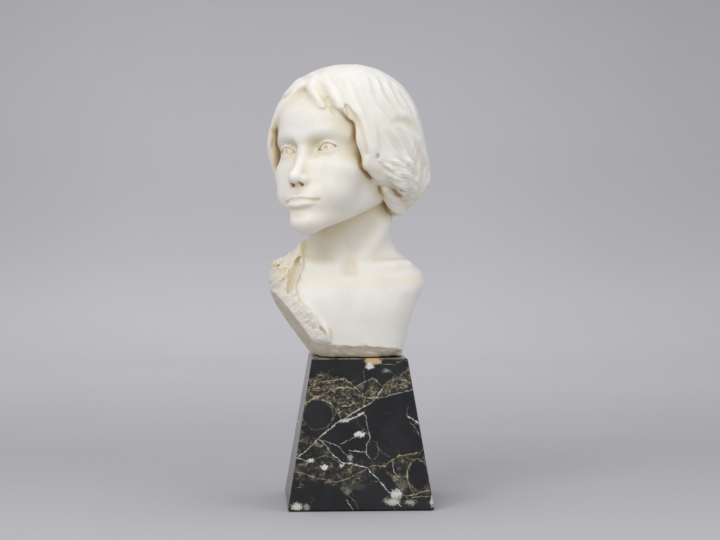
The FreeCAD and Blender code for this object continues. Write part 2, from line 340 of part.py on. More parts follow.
524,-798,6162 681,-786,6036 730,-670,6044 802,-572,6005 857,-462,5975 915,-339,5917 903,-213,5929 970,-73,5816 780,39,5996 836,174,5874 777,290,5868 725,413,5834 635,507,5843 548,604,5826 471,717,5764 323,740,5839 228,833,5776 95,863,5791 -38,866,5826 -165,882,5819 -291,820,5906 -402,781,5942 -501,705,6015 -588,642,6060 -657,557,6130 -763,534,6078 -845,465,6087 -921,399,6079 -988,322,6079 -1048,245,6072 -1100,163,6065 -1146,82,6054 -1186,1,6040 -1220,-80,6024 -1250,-160,6005 -1279,-239,5980 -1311,-319,5947 -1338,-400,5913 -1357,-480,5882 -1369,-557,5856 -1373,-633,5834 -1373,-706,5814 -1369,-778,5793 -1368,-853,5766 -1368,-931,5733 -1378,-1020,5682 -1380,-1108,5634 -1366,-1186,5602 -1340,-1254,5582 -1308,-1318,5568 -1270,-1376,5559 -1224,-1426,5557 -1172,-1469,5562 -1114,-1503,5574 -1051,-1528,5592 -985,-1546,5615 -915,-1556,5643 -840,-1551,5684 -760,-1527,5739 -680,-1495,5796 -608,-1476,5836 -537,-1461,5869 -468,-1448,5896 -399,-1432,5922 -329,-1411,5950 -258,-1382,5982 -187,-1344,6017 -117,-1299,6055 -48,-1250,6091 21,-1202,6121 92,-1158,6141 161,-1103,6165 235,-1052,6175 298,-982,6198 377,-927,6190 424,-832,6224
636,-895,6133 693,-777,6145 803,-708,6075 881,-597,6035 948,-480,5989 976,-343,5973 1023,-210,5915 984,-61,5936 932,68,5949 926,211,5895 869,337,5884 804,469,5857 701,566,5872 624,686,5827 517,787,5805 373,829,5850 259,913,5810 122,959,5808 -22,965,5836 -159,1000,5808 -300,944,5878 -428,907,5904 -539,828,5972 -650,766,5997 -690,611,6157 -800,587,6110 -866,492,6157 -954,435,6133 -1013,345,6151 -1073,267,6145 -1124,181,6145 -1171,99,6134 -1212,15,6123 -1249,-67,6107 -1280,-149,6090 -1318,-231,6059 -1359,-316,6020 -1397,-402,5979 -1423,-488,5946 -1436,-570,5921 -1438,-648,5903 -1433,-723,5889 -1422,-794,5878 -1409,-865,5866 -1396,-935,5851 -1389,-1012,5826 -1408,-1114,5766 -1417,-1215,5709 -1407,-1303,5671 -1377,-1376,5651 -1335,-1436,5645 -1285,-1488,5645 -1230,-1533,5650 -1170,-1571,5660 -1104,-1600,5676 -1030,-1612,5705 -945,-1601,5753 -854,-1567,5817 -765,-1523,5883 -692,-1513,5915 -622,-1511,5937 -552,-1508,5957 -482,-1503,5976 -409,-1493,5996 -335,-1473,6020 -260,-1442,6051 -185,-1396,6089 -112,-1339,6133 -42,-1278,6176 29,-1223,6208 99,-1172,6231 174,-1124,6245 242,-1059,6267 320,-1007,6267 382,-924,6290 461,-870,6267
667,-906,6207 798,-854,6136 844,-713,6149 892,-592,6141 951,-466,6110 981,-331,6087 1022,-197,6044 1041,-50,5995 1044,94,5952 999,245,5935 948,380,5912 870,518,5895 759,620,5910 686,756,5853 552,843,5863 412,900,5884 290,991,5844 148,1051,5826 -8,1052,5862 -156,1097,5824 -304,1045,5885 -455,1019,5891 -564,923,5974 -716,896,5945 -757,724,6101 -868,663,6099 -900,534,6191 -963,447,6218 -1032,368,6217 -1091,282,6221 -1146,199,6213 -1193,113,6208 -1237,29,6195 -1273,-56,6183 -1308,-139,6165 -1350,-224,6135 -1404,-312,6089 -1453,-405,6041 -1486,-496,6005 -1502,-583,5980 -1504,-665,5965 -1494,-741,5956 -1478,-813,5951 -1457,-882,5947 -1438,-951,5939 -1419,-1021,5927 -1394,-1087,5919 -1393,-1176,5883 -1374,-1253,5861 -1354,-1332,5836 -1325,-1406,5816 -1282,-1466,5809 -1227,-1511,5814 -1161,-1540,5831 -1085,-1552,5861 -1007,-1554,5894 -930,-1554,5926 -848,-1536,5968 -780,-1546,5985 -709,-1550,6005 -639,-1554,6021 -568,-1560,6033 -495,-1561,6047 -420,-1554,6063 -342,-1535,6085 -262,-1500,6116 -184,-1447,6157 -108,-1375,6207 -36,-1302,6254 35,-1240,6287 108,-1191,6307 182,-1134,6325 254,-1075,6339 333,-1014,6345 383,-923,6371 585,-1007,6209
718,-942,6253 748,-799,6286 857,-715,6233 934,-601,6197 1044,-489,6122 1093,-345,6087 1117,-193,6056 1111,-38,6040 1104,117,6006 1066,272,5980 1004,417,5963 916,553,5955 811,672,5951 726,804,5910 579,889,5925 443,956,5934 317,1064,5882 163,1107,5888 7,1144,5881 -153,1167,5873 -312,1146,5892 -467,1096,5926 -605,1043,5946 -732,947,6003 -853,875,6013 -892,699,6155 -1020,652,6109 -956,444,6311 -1076,406,6246 -1105,294,6288 -1165,216,6279 -1212,125,6274 -1257,41,6264 -1296,-46,6251 -1329,-130,6238 -1377,-216,6206 -1441,-308,6157 -1501,-406,6106 -1540,-501,6069 -1558,-592,6044 -1560,-677,6031 -1549,-756,6024 -1528,-829,6023 -1502,-898,6024 -1479,-967,6020 -1462,-1041,6008 -1451,-1122,5986 -1420,-1188,5979 -1374,-1239,5986 -1325,-1287,5994 -1284,-1343,5992 -1240,-1398,5988 -1188,-1441,5993 -1126,-1472,6006 -1064,-1501,6018 -1008,-1540,6019 -949,-1576,6021 -878,-1591,6039 -800,-1585,6068 -725,-1585,6089 -654,-1594,6101 -582,-1606,6109 -507,-1611,6118 -429,-1606,6133 -347,-1586,6154 -264,-1548,6185 -182,-1488,6225 -105,-1404,6279 -31,-1321,6328 38,-1252,6364 117,-1206,6376 185,-1141,6401 277,-1103,6392 312,-981,6451 496,-1073,6312 616,-1027,6275
685,-904,6367 834,-861,6291 899,-726,6285 1054,-651,6191 1113,-494,6169 1153,-348,6141 1162,-184,6125 1161,-27,6099 1152,136,6065 1112,294,6041 1055,451,6014 955,584,6016 859,718,5996 754,841,5976 607,934,5983 470,1008,5985 342,1130,5925 175,1157,5948 19,1216,5921 -151,1229,5923 -318,1222,5928 -476,1167,5964 -643,1149,5944 -750,1002,6048 -921,982,5996 -939,763,6166 -1093,729,6107 -1070,530,6253 -1098,425,6301 -1215,350,6257 -1155,216,6363 -1243,144,6325 -1270,49,6331 -1317,-35,6315 -1352,-123,6302 -1405,-210,6270 -1472,-304,6223 -1539,-404,6173 -1582,-504,6136 -1602,-598,6113 -1605,-686,6100 -1591,-766,6097 -1570,-842,6096 -1537,-908,6103 -1518,-982,6096 -1482,-1045,6100 -1434,-1095,6114 -1465,-1215,6054 -1441,-1295,6037 -1418,-1375,6018 -1375,-1439,6012 -1326,-1494,6013 -1268,-1542,6018 -1205,-1578,6028 -1135,-1607,6043 -1054,-1612,6072 -973,-1617,6099 -870,-1560,6164 -810,-1597,6161 -741,-1620,6166 -666,-1623,6182 -594,-1644,6184 -516,-1649,6194 -436,-1645,6206 -351,-1624,6226 -266,-1583,6256 -181,-1518,6296 -102,-1428,6348 -26,-1342,6394 44,-1267,6430 124,-1221,6442 191,-1147,6467 281,-1105,6463 341,-1024,6483 536,-1121,6353 630,-1027,6353
877,-1080,6279 979,-954,6264 1076,-825,6234 1172,-687,6198 1186,-509,6204 1222,-351,6181 1234,-180,6160 1217,-14,6148 1199,154,6121 1155,316,6099 1099,480,6070 992,614,6074 903,761,6043 774,874,6043 637,977,6036 492,1057,6037 366,1188,5974 185,1208,6003 30,1274,5972 -151,1288,5974 -319,1268,5990 -489,1241,5997 -664,1220,5981 -779,1069,6077 -959,1053,6024 -1003,843,6163 -1127,773,6150 -1197,631,6199 -1166,466,6310 -1280,389,6276 -1293,264,6317 -1231,145,6403 -1296,62,6383 -1334,-27,6375 -1379,-115,6358 -1431,-205,6330 -1498,-300,6289 -1563,-400,6244 -1609,-502,6210 -1633,-598,6187 -1636,-689,6175 -1623,-771,6172 -1598,-846,6175 -1565,-915,6181 -1534,-982,6185 -1514,-1058,6176 -1495,-1136,6163 -1459,-1200,6165 -1433,-1273,6154 -1393,-1337,6151 -1349,-1395,6151 -1301,-1451,6150 -1246,-1497,6155 -1182,-1532,6167 -1117,-1564,6176 -1048,-1589,6189 -971,-1599,6209 -902,-1622,6217 -824,-1624,6239 -748,-1627,6256 -676,-1646,6261 -602,-1664,6265 -523,-1674,6272 -441,-1670,6284 -354,-1647,6303 -267,-1603,6331 -180,-1534,6370 -99,-1447,6416 -23,-1359,6457 51,-1288,6488 128,-1224,6507 200,-1166,6523 307,-1152,6498 395,-1116,6485 561,-1130,6417 583,-980,6466
933,-1117,6329 966,-932,6361 1147,-862,6274 1160,-667,6297 1278,-535,6231 1263,-343,6243 1299,-179,6206 1273,1,6197 1255,171,6168 1198,340,6155 1139,505,6127 1027,645,6129 938,796,6099 797,908,6103 659,1010,6098 519,1113,6078 384,1232,6032 198,1263,6050 38,1322,6028 -150,1341,6027 -321,1310,6050 -500,1307,6037 -679,1272,6033 -803,1128,6114 -990,1109,6066 -1053,910,6180 -1167,817,6187 -1275,700,6201 -1272,531,6289 -1311,408,6324 -1395,310,6310 -1378,179,6363 -1282,66,6456 -1359,-17,6426 -1400,-108,6413 -1461,-199,6383 -1522,-296,6350 -1581,-396,6315 -1625,-497,6285 -1649,-595,6265 -1653,-686,6254 -1641,-770,6252 -1616,-846,6255 -1580,-914,6263 -1544,-979,6270 -1514,-1048,6270 -1491,-1121,6264 -1474,-1202,6248 -1447,-1277,6238 -1425,-1359,6224 -1381,-1422,6219 -1337,-1485,6217 -1279,-1533,6222 -1210,-1563,6235 -1140,-1593,6250 -1057,-1597,6274 -981,-1608,6293 -900,-1606,6317 -824,-1614,6332 -752,-1629,6341 -681,-1652,6345 -607,-1674,6346 -527,-1684,6352 -443,-1679,6364 -356,-1656,6382 -267,-1611,6409 -180,-1546,6442 -97,-1464,6480 -18,-1384,6514 56,-1303,6545 136,-1249,6560 206,-1162,6584 321,-1198,6538 473,-1215,6484 522,-1086,6517 747,-1154,6396
940,-1108,6405 1107,-1037,6341 1185,-862,6337 1205,-684,6347 1320,-534,6291 1314,-347,6292 1354,-172,6255 1324,11,6246 1313,191,6214 1239,362,6208 1173,529,6185 1064,676,6181 968,827,6155 820,941,6160 677,1039,6160 541,1159,6128 399,1272,6090 209,1311,6103 44,1366,6085 -148,1386,6083 -323,1355,6105 -510,1364,6083 -691,1312,6092 -820,1173,6164 -1018,1162,6111 -1088,960,6216 -1207,861,6225 -1324,748,6232 -1367,590,6286 -1355,436,6359 -1450,335,6344 -1460,209,6377 -1465,94,6401 -1345,-15,6497 -1445,-99,6452 -1481,-196,6440 -1552,-291,6405 -1596,-392,6382 -1636,-491,6358 -1655,-588,6344 -1659,-679,6335 -1646,-763,6333 -1620,-839,6337 -1585,-907,6345 -1543,-969,6355 -1507,-1033,6360 -1479,-1103,6357 -1446,-1167,6358 -1421,-1242,6350 -1367,-1288,6358 -1360,-1387,6334 -1277,-1401,6359 -1225,-1446,6364 -1191,-1525,6350 -1096,-1510,6383 -1040,-1554,6384 -963,-1563,6401 -894,-1583,6410 -821,-1596,6422 -752,-1619,6427 -682,-1648,6427 -608,-1671,6429 -528,-1681,6434 -444,-1677,6445 -357,-1653,6461 -267,-1615,6482 -181,-1552,6511 -93,-1490,6536 -18,-1393,6575 70,-1345,6586 124,-1204,6640 236,-1250,6597 397,-1337,6524 474,-1214,6551 636,-1242,6485 898,-1308,6367
986,-1144,6452 1104,-1020,6430 1181,-853,6418 1225,-684,6414 1356,-537,6352 1362,-346,6346 1391,-166,6315 1383,23,6293 1354,208,6269 1280,383,6261 1200,550,6246 1098,704,6235 994,856,6213 846,975,6213 691,1065,6221 556,1192,6186 411,1306,6152 219,1351,6158 49,1402,6146 -147,1428,6139 -326,1397,6159 -516,1404,6141 -702,1356,6146 -832,1203,6221 -1030,1192,6174 -1118,1004,6257 -1223,885,6283 -1371,793,6267 -1421,629,6318 -1421,472,6380 -1468,346,6401 -1521,233,6405 -1514,108,6441 -1483,0,6476 -1414,-96,6531 -1532,-189,6477 -1566,-289,6466 -1623,-388,6439 -1644,-486,6428 -1661,-581,6417 -1658,-670,6413 -1644,-753,6413 -1617,-828,6419 -1581,-896,6427 -1540,-958,6436 -1499,-1018,6444 -1463,-1080,6448 -1432,-1147,6445 -1401,-1212,6442 -1404,-1318,6415 -1296,-1307,6457 -1296,-1411,6427 -1237,-1459,6432 -1138,-1435,6471 -1125,-1548,6440 -1024,-1520,6476 -956,-1538,6488 -884,-1554,6500 -817,-1578,6505 -750,-1607,6507 -681,-1635,6508 -607,-1657,6510 -528,-1670,6514 -444,-1667,6523 -357,-1651,6535 -268,-1616,6552 -179,-1571,6571 -93,-1501,6597 -8,-1430,6619 67,-1334,6653 144,-1267,6665 296,-1406,6586 406,-1331,6592 517,-1296,6572 709,-1319,6508 858,-1256,6476
1006,-1155,6515 1112,-1017,6497 1216,-866,6474 1234,-678,6482 1388,-540,6413 1392,-342,6406 1430,-159,6372 1409,33,6356 1395,224,6324 1297,396,6328 1234,573,6300 1121,727,6294 1018,882,6271 872,1009,6266 705,1092,6279 567,1218,6248 421,1338,6212 225,1380,6220 54,1434,6206 -145,1459,6202 -329,1442,6211 -518,1420,6213 -714,1405,6196 -842,1225,6282 -1033,1212,6243 -1148,1043,6301 -1224,897,6350 -1398,818,6321 -1456,663,6361 -1492,506,6403 -1476,360,6459 -1568,247,6446 -1554,126,6481 -1632,14,6463 -1503,-92,6543 -1523,-183,6545 -1607,-286,6510 -1634,-385,6501 -1664,-483,6488 -1666,-576,6486 -1661,-663,6485 -1640,-743,6489 -1611,-817,6495 -1573,-883,6504 -1534,-946,6513 -1493,-1005,6521 -1460,-1070,6522 -1415,-1123,6530 -1429,-1229,6503 -1432,-1340,6476 -1347,-1353,6503 -1340,-1458,6478 -1279,-1504,6485 -1181,-1493,6517 -1148,-1575,6501 -1041,-1544,6539 -945,-1510,6573 -883,-1543,6575 -814,-1563,6582 -748,-1592,6584 -678,-1619,6585 -605,-1642,6587 -527,-1658,6589 -445,-1660,6596 -357,-1653,6603 -270,-1622,6617 -177,-1591,6629 -94,-1509,6656 1,-1470,6665 56,-1291,6724 187,-1413,6663 303,-1398,6652 422,-1371,6635 560,-1354,6608 753,-1374,6548 879,-1268,6535
1030,-1171,6573 1141,-1026,6558 1215,-858,6546 1244,-675,6547 1410,-539,6477 1432,-340,6461 1439,-151,6442 1447,42,6411 1425,239,6383 1307,407,6395 1267,595,6355 1135,744,6357 1035,903,6332 897,1041,6318 718,1120,6334 574,1236,6312 430,1370,6270 231,1403,6283 56,1467,6264 -143,1475,6270 -333,1492,6258 -515,1415,6294 -725,1450,6247 -848,1243,6344 -1034,1221,6314 -1162,1071,6356 -1241,915,6405 -1374,810,6406 -1505,701,6397 -1517,524,6455 -1534,385,6489 -1550,250,6519 -1614,144,6513 -1661,21,6515 -1537,-86,6587 -1530,-178,6600 -1631,-282,6563 -1650,-382,6559 -1680,-480,6548 -1676,-572,6550 -1666,-657,6551 -1639,-735,6559 -1608,-808,6566 -1567,-872,6577 -1530,-936,6584 -1484,-991,6594 -1459,-1062,6593 -1406,-1107,6604 -1419,-1212,6582 -1486,-1383,6528 -1419,-1430,6535 -1403,-1524,6521 -1339,-1579,6527 -1242,-1571,6552 -1183,-1629,6556 -1035,-1524,6617 -938,-1490,6646 -883,-1534,6645 -809,-1545,6655 -746,-1579,6655 -676,-1604,6657 -604,-1632,6657 -527,-1649,6659 -445,-1660,6662 -359,-1653,6669 -269,-1638,6676 -180,-1589,6692 -86,-1549,6703 -8,-1428,6738 84,-1409,6734 209,-1480,6700 321,-1430,6697 438,-1405,6684 622,-1447,6632 788,-1409,6600 889,-1269,6601
1060,-1183,6632 1098,-989,6644 1248,-872,6601 1242,-663,6614 1418,-537,6546 1463,-335,6520 1447,-145,6510 1489,54,6465 1428,249,6455 1324,419,6456 1284,611,6417 1156,764,6415 1040,915,6399 922,1070,6372 730,1147,6390 581,1250,6376 438,1399,6328 237,1421,6346 58,1503,6319 -141,1475,6345 -338,1544,6304 -514,1414,6367 -728,1470,6313 -861,1280,6392 -1031,1218,6389 -1169,1096,6413 -1267,941,6453 -1349,802,6484 -1512,712,6461 -1545,547,6502 -1570,403,6534 -1564,260,6572 -1631,153,6568 -1706,32,6558 -1588,-81,6622 -1519,-172,6662 -1650,-277,6617 -1660,-378,6618 -1694,-476,6607 -1684,-567,6612 -1672,-652,6616 -1641,-729,6624 -1605,-799,6634 -1565,-864,6644 -1521,-922,6654 -1486,-987,6658 -1442,-1039,6667 -1424,-1117,6662 -1346,-1137,6683 -1370,-1255,6659 -1469,-1470,6592 -1403,-1524,6598 -1344,-1569,6605 -1282,-1629,6608 -1095,-1480,6684 -987,-1430,6716 -952,-1505,6704 -872,-1507,6719 -812,-1541,6719 -742,-1562,6724 -676,-1595,6724 -603,-1621,6725 -527,-1645,6725 -446,-1657,6727 -360,-1657,6731 -270,-1639,6738 -178,-1604,6748 -87,-1539,6765 -5,-1453,6785 113,-1538,6752 218,-1489,6755 338,-1478,6742 454,-1425,6735 622,-1438,6700 752,-1354,6688 935,-1317,6645
999,-1122,6723 1125,-1005,6697 1246,-860,6670 1251,-660,6675 1411,-527,6618 1485,-331,6581 1450,-138,6577 1518,65,6524 1417,254,6529 1346,434,6514 1289,621,6485 1185,790,6467 1031,918,6471 939,1090,6431 745,1178,6443 584,1259,6441 444,1426,6388 241,1433,6412 61,1539,6374 -140,1470,6418 -339,1575,6363 -518,1437,6423 -723,1464,6391 -878,1324,6436 -1023,1208,6463 -1180,1121,6467 -1281,958,6508 -1356,814,6540 -1494,707,6535 -1576,572,6548 -1584,411,6589 -1589,277,6619 -1648,158,6621 -1706,43,6620 -1662,-77,6652 -1512,-166,6718 -1647,-269,6677 -1663,-371,6678 -1698,-470,6669 -1688,-562,6674 -1674,-646,6679 -1640,-721,6689 -1604,-791,6698 -1560,-853,6709 -1521,-917,6716 -1476,-970,6726 -1449,-1041,6726 -1393,-1079,6739 -1394,-1180,6724 -1272,-1147,6763 -1411,-1398,6691 -1427,-1538,6665 -1362,-1591,6671 -1230,-1543,6709 -1022,-1356,6785 -1025,-1482,6758 -928,-1461,6781 -879,-1508,6778 -805,-1521,6787 -743,-1555,6787 -673,-1582,6789 -603,-1612,6789 -527,-1637,6789 -446,-1651,6791 -360,-1657,6793 -270,-1633,6801 -177,-1608,6807 -89,-1513,6829 3,-1497,6828 120,-1562,6805 230,-1522,6804 349,-1499,6794 476,-1463,6783 643,-1462,6753 758,-1357,6749 954,-1326,6707
1015,-1129,6779 1124,-996,6762 1235,-846,6739 1263,-659,6733 1406,-517,6686 1493,-326,6647 1460,-131,6640 1530,74,6590 1407,259,6599 1371,449,6570 1290,628,6552 1214,814,6520 1034,930,6533 945,1102,6495 761,1208,6495 588,1270,6503 450,1449,6448 243,1443,6476 63,1566,6433 -140,1478,6481 -338,1578,6435 -526,1480,6471 -715,1448,6470 -893,1365,6484 -1019,1206,6530 -1188,1140,6524 -1288,973,6564 -1376,835,6589 -1479,705,6603 -1603,593,6598 -1593,419,6645 -1608,289,6669 -1676,167,6670 -1705,52,6679 -1712,-71,6694 -1515,-161,6769 -1627,-260,6741 -1657,-363,6739 -1688,-461,6733 -1683,-553,6737 -1668,-637,6743 -1636,-713,6752 -1598,-781,6762 -1557,-845,6771 -1515,-905,6780 -1476,-965,6787 -1436,-1022,6793 -1401,-1083,6796 -1351,-1128,6806 -1331,-1203,6799 -1327,-1299,6791 -1356,-1444,6767 -1295,-1494,6772 -1160,-1433,6807 -1067,-1418,6823 -992,-1424,6838 -936,-1464,6838 -870,-1487,6845 -806,-1515,6847 -740,-1541,6850 -672,-1572,6851 -601,-1599,6852 -526,-1626,6852 -446,-1638,6854 -359,-1645,6856 -270,-1615,6864 -176,-1596,6868 -92,-1484,6890 4,-1500,6882 129,-1604,6853 239,-1537,6857 353,-1509,6850 500,-1496,6833 631,-1440,6822 775,-1367,6805 916,-1279,6788
1071,-1169,6825 1085,-960,6836 1227,-837,6803 1270,-655,6793 1413,-510,6749 1493,-319,6714 1472,-124,6702 1529,83,6658 1404,264,6665 1396,466,6627 1289,635,6617 1239,837,6577 1046,948,6591 945,1108,6562 778,1236,6550 590,1283,6564 454,1467,6511 245,1458,6536 65,1579,6498 -140,1507,6535 -335,1560,6513 -532,1522,6520 -711,1438,6542 -902,1396,6538 -1016,1208,6594 -1196,1157,6582 -1292,985,6622 -1395,856,6639 -1483,714,6660 -1610,604,6656 -1627,438,6690 -1608,296,6726 -1713,180,6716 -1703,58,6739 -1749,-64,6741 -1530,-157,6815 -1592,-250,6807 -1644,-353,6799 -1664,-449,6799 -1668,-541,6801 -1651,-624,6808 -1623,-700,6816 -1586,-768,6825 -1546,-832,6834 -1505,-893,6842 -1465,-950,6849 -1428,-1009,6854 -1390,-1066,6860 -1356,-1128,6861 -1301,-1165,6872 -1325,-1289,6854 -1314,-1388,6847 -1256,-1435,6852 -1158,-1425,6869 -1044,-1376,6895 -996,-1423,6894 -929,-1444,6901 -866,-1470,6905 -801,-1495,6909 -736,-1524,6911 -668,-1553,6913 -598,-1579,6914 -523,-1604,6915 -443,-1613,6917 -357,-1621,6919 -270,-1586,6927 -176,-1571,6929 -95,-1448,6949 8,-1526,6932 134,-1609,6911 244,-1549,6912 364,-1529,6904 491,-1465,6899 615,-1416,6887 830,-1427,6850 888,-1245,6859
1106,-1194,6881 1049,-923,6903 1245,-844,6861 1260,-641,6856 1436,-512,6807 1488,-308,6781 1480,-119,6765 1523,93,6727 1403,268,6730 1412,480,6687 1288,641,6683 1246,848,6642 1059,965,6649 946,1117,6626 790,1257,6608 592,1295,6624 459,1481,6574 247,1475,6595 66,1586,6565 -140,1542,6587 -334,1548,6585 -535,1548,6578 -709,1438,6607 -907,1414,6597 -1020,1220,6651 -1195,1163,6644 -1303,1002,6676 -1398,865,6697 -1492,726,6715 -1604,609,6719 -1669,460,6735 -1618,304,6778 -1740,192,6768 -1717,65,6793 -1765,-56,6796 -1591,-156,6851 -1542,-240,6872 -1631,-342,6858 -1628,-435,6865 -1645,-526,6865 -1625,-608,6872 -1603,-684,6879 -1569,-753,6887 -1530,-816,6896 -1489,-875,6904 -1451,-934,6910 -1417,-994,6916 -1374,-1047,6921 -1333,-1099,6927 -1309,-1168,6926 -1296,-1252,6924 -1288,-1350,6918 -1232,-1396,6923 -1134,-1382,6939 -1051,-1380,6949 -979,-1390,6959 -920,-1420,6962 -860,-1452,6966 -794,-1473,6970 -729,-1499,6973 -663,-1529,6974 -593,-1554,6975 -518,-1575,6977 -439,-1581,6980 -354,-1587,6981 -269,-1548,6988 -176,-1542,6989 -98,-1412,7005 6,-1517,6987 142,-1638,6965 246,-1552,6969 373,-1541,6960 494,-1473,6954 661,-1478,6933 806,-1387,6922 872,-1223,6922
1053,-1141,6957 1063,-929,6957 1230,-828,6926 1267,-640,6913 1464,-511,6866 1465,-296,6851 1486,-114,6827 1516,101,6795 1411,275,6790 1428,494,6749 1288,647,6746 1255,862,6705 1071,981,6708 947,1127,6689 799,1275,6668 597,1312,6682 463,1495,6638 247,1487,6657 68,1594,6630 -139,1577,6641 -333,1545,6651 -536,1566,6639 -710,1446,6669 -907,1424,6661 -1024,1231,6708 -1191,1167,6707 -1316,1023,6729 -1400,872,6755 -1496,735,6772 -1601,615,6779 -1692,476,6789 -1653,319,6825 -1744,199,6826 -1746,74,6844 -1765,-49,6856 -1645,-153,6892 -1504,-232,6931 -1616,-332,6915 -1594,-421,6926 -1620,-511,6926 -1597,-591,6934 -1585,-669,6940 -1542,-734,6949 -1502,-794,6957 -1456,-849,6966 -1417,-905,6973 -1368,-951,6981 -1323,-997,6988 -1286,-1049,6992 -1289,-1141,6989 -1286,-1234,6985 -1260,-1310,6986 -1206,-1355,6991 -1127,-1365,6999 -1034,-1348,7012 -946,-1327,7023 -889,-1354,7028 -834,-1389,7029 -779,-1429,7031 -716,-1457,7033 -653,-1491,7034 -586,-1520,7036 -514,-1548,7037 -434,-1547,7039 -351,-1550,7041 -267,-1514,7046 -177,-1505,7047 -100,-1393,7056 16,-1580,7034 137,-1598,7029 257,-1593,7022 375,-1527,7019 500,-1486,7012 648,-1437,7000 749,-1316,6995 916,-1259,6973
999,-1094,7026 1099,-946,7009 1202,-806,6991 1298,-648,6968 1475,-503,6930 1431,-285,6920 1499,-107,6890 1488,106,6866 1431,285,6850 1423,501,6816 1311,664,6804 1243,863,6775 1093,1003,6765 949,1140,6752 809,1292,6730 600,1327,6741 468,1514,6700 247,1495,6720 71,1610,6693 -139,1604,6699 -334,1558,6713 -536,1573,6704 -712,1459,6729 -907,1431,6725 -1028,1244,6766 -1192,1173,6768 -1318,1033,6788 -1425,897,6805 -1492,738,6831 -1600,621,6838 -1698,488,6847 -1699,336,6873 -1751,208,6884 -1779,82,6896 -1754,-41,6916 -1715,-151,6935 -1479,-225,6984 -1602,-322,6971 -1570,-410,6984 -1597,-497,6985 -1579,-579,6993 -1562,-652,6998 -1543,-728,7004 -1529,-802,7009 -1482,-859,7018 -1421,-901,7027 -1349,-931,7038 -1277,-954,7048 -1243,-1003,7053 -1264,-1110,7049 -1277,-1218,7046 -1241,-1282,7049 -1188,-1324,7054 -1119,-1348,7060 -1015,-1312,7071 -916,-1271,7082 -862,-1296,7086 -825,-1364,7086 -781,-1427,7085 -727,-1481,7086 -662,-1514,7088 -585,-1515,7091 -508,-1514,7094 -432,-1525,7096 -349,-1514,7098 -266,-1494,7100 -178,-1465,7102 -99,-1401,7104 20,-1606,7090 137,-1584,7087 264,-1614,7079 376,-1520,7078 504,-1490,7070 650,-1430,7059 763,-1330,7051 904,-1233,7037
966,-1061,7088 1134,-962,7066 1174,-784,7054 1347,-661,7024 1448,-485,6999 1422,-280,6984 1496,-98,6955 1471,111,6933 1444,294,6912 1428,510,6881 1332,681,6864 1234,867,6843 1104,1016,6828 955,1155,6815 816,1307,6793 605,1344,6801 471,1528,6766 248,1506,6782 73,1629,6757 -138,1626,6761 -336,1579,6773 -536,1579,6769 -714,1475,6789 -907,1436,6789 -1027,1253,6825 -1199,1187,6827 -1309,1032,6851 -1444,921,6860 -1499,748,6887 -1589,621,6901 -1702,498,6907 -1730,350,6927 -1766,219,6941 -1809,89,6952 -1744,-32,6976 -1774,-149,6984 -1492,-221,7031 -1581,-313,7028 -1562,-401,7037 -1582,-487,7042 -1562,-565,7049 -1580,-654,7053 -1566,-733,7059 -1511,-787,7068 -1464,-841,7076 -1411,-889,7084 -1331,-911,7093 -1265,-938,7101 -1222,-979,7106 -1241,-1080,7107 -1272,-1205,7105 -1233,-1266,7109 -1181,-1308,7114 -1114,-1334,7120 -996,-1278,7129 -903,-1242,7135 -854,-1276,7138 -813,-1333,7140 -777,-1410,7142 -719,-1454,7144 -656,-1486,7145 -592,-1536,7147 -513,-1527,7150 -427,-1505,7151 -349,-1482,7154 -262,-1499,7153 -184,-1399,7157 -89,-1501,7151 25,-1625,7148 142,-1596,7145 269,-1625,7140 382,-1523,7136 497,-1473,7131 658,-1432,7120 739,-1294,7114 914,-1234,7096
955,-1042,7147 1148,-968,7127 1170,-773,7113 1376,-667,7087 1405,-463,7068 1429,-279,7047 1480,-85,7022 1456,111,7001 1466,309,6974 1411,510,6951 1360,703,6926 1230,872,6910 1120,1036,6891 956,1166,6880 825,1324,6858 610,1361,6863 475,1541,6832 250,1522,6844 75,1647,6822 -137,1638,6827 -337,1600,6834 -535,1582,6836 -716,1490,6851 -906,1440,6855 -1027,1262,6885 -1205,1201,6887 -1308,1038,6911 -1439,924,6923 -1522,770,6942 -1574,618,6963 -1696,505,6970 -1750,361,6985 -1780,230,7000 -1829,97,7012 -1748,-24,7035 -1801,-144,7043 -1525,-219,7077 -1555,-304,7083 -1568,-395,7090 -1563,-475,7098 -1573,-563,7104 -1555,-638,7111 -1517,-703,7119 -1512,-780,7125 -1428,-814,7134 -1405,-877,7139 -1306,-888,7148 -1273,-938,7153 -1211,-965,7159 -1236,-1068,7162 -1259,-1186,7166 -1226,-1251,7170 -1174,-1294,7175 -1104,-1312,7180 -992,-1266,7184 -896,-1223,7187 -858,-1280,7191 -802,-1302,7193 -773,-1399,7196 -705,-1406,7200 -656,-1481,7202 -578,-1478,7204 -506,-1487,7206 -429,-1512,7208 -347,-1456,7207 -262,-1499,7209 -186,-1363,7206 -81,-1591,7208 24,-1593,7208 146,-1625,7205 273,-1619,7202 381,-1521,7197 502,-1470,7190 652,-1419,7182 730,-1273,7172 912,-1228,7159
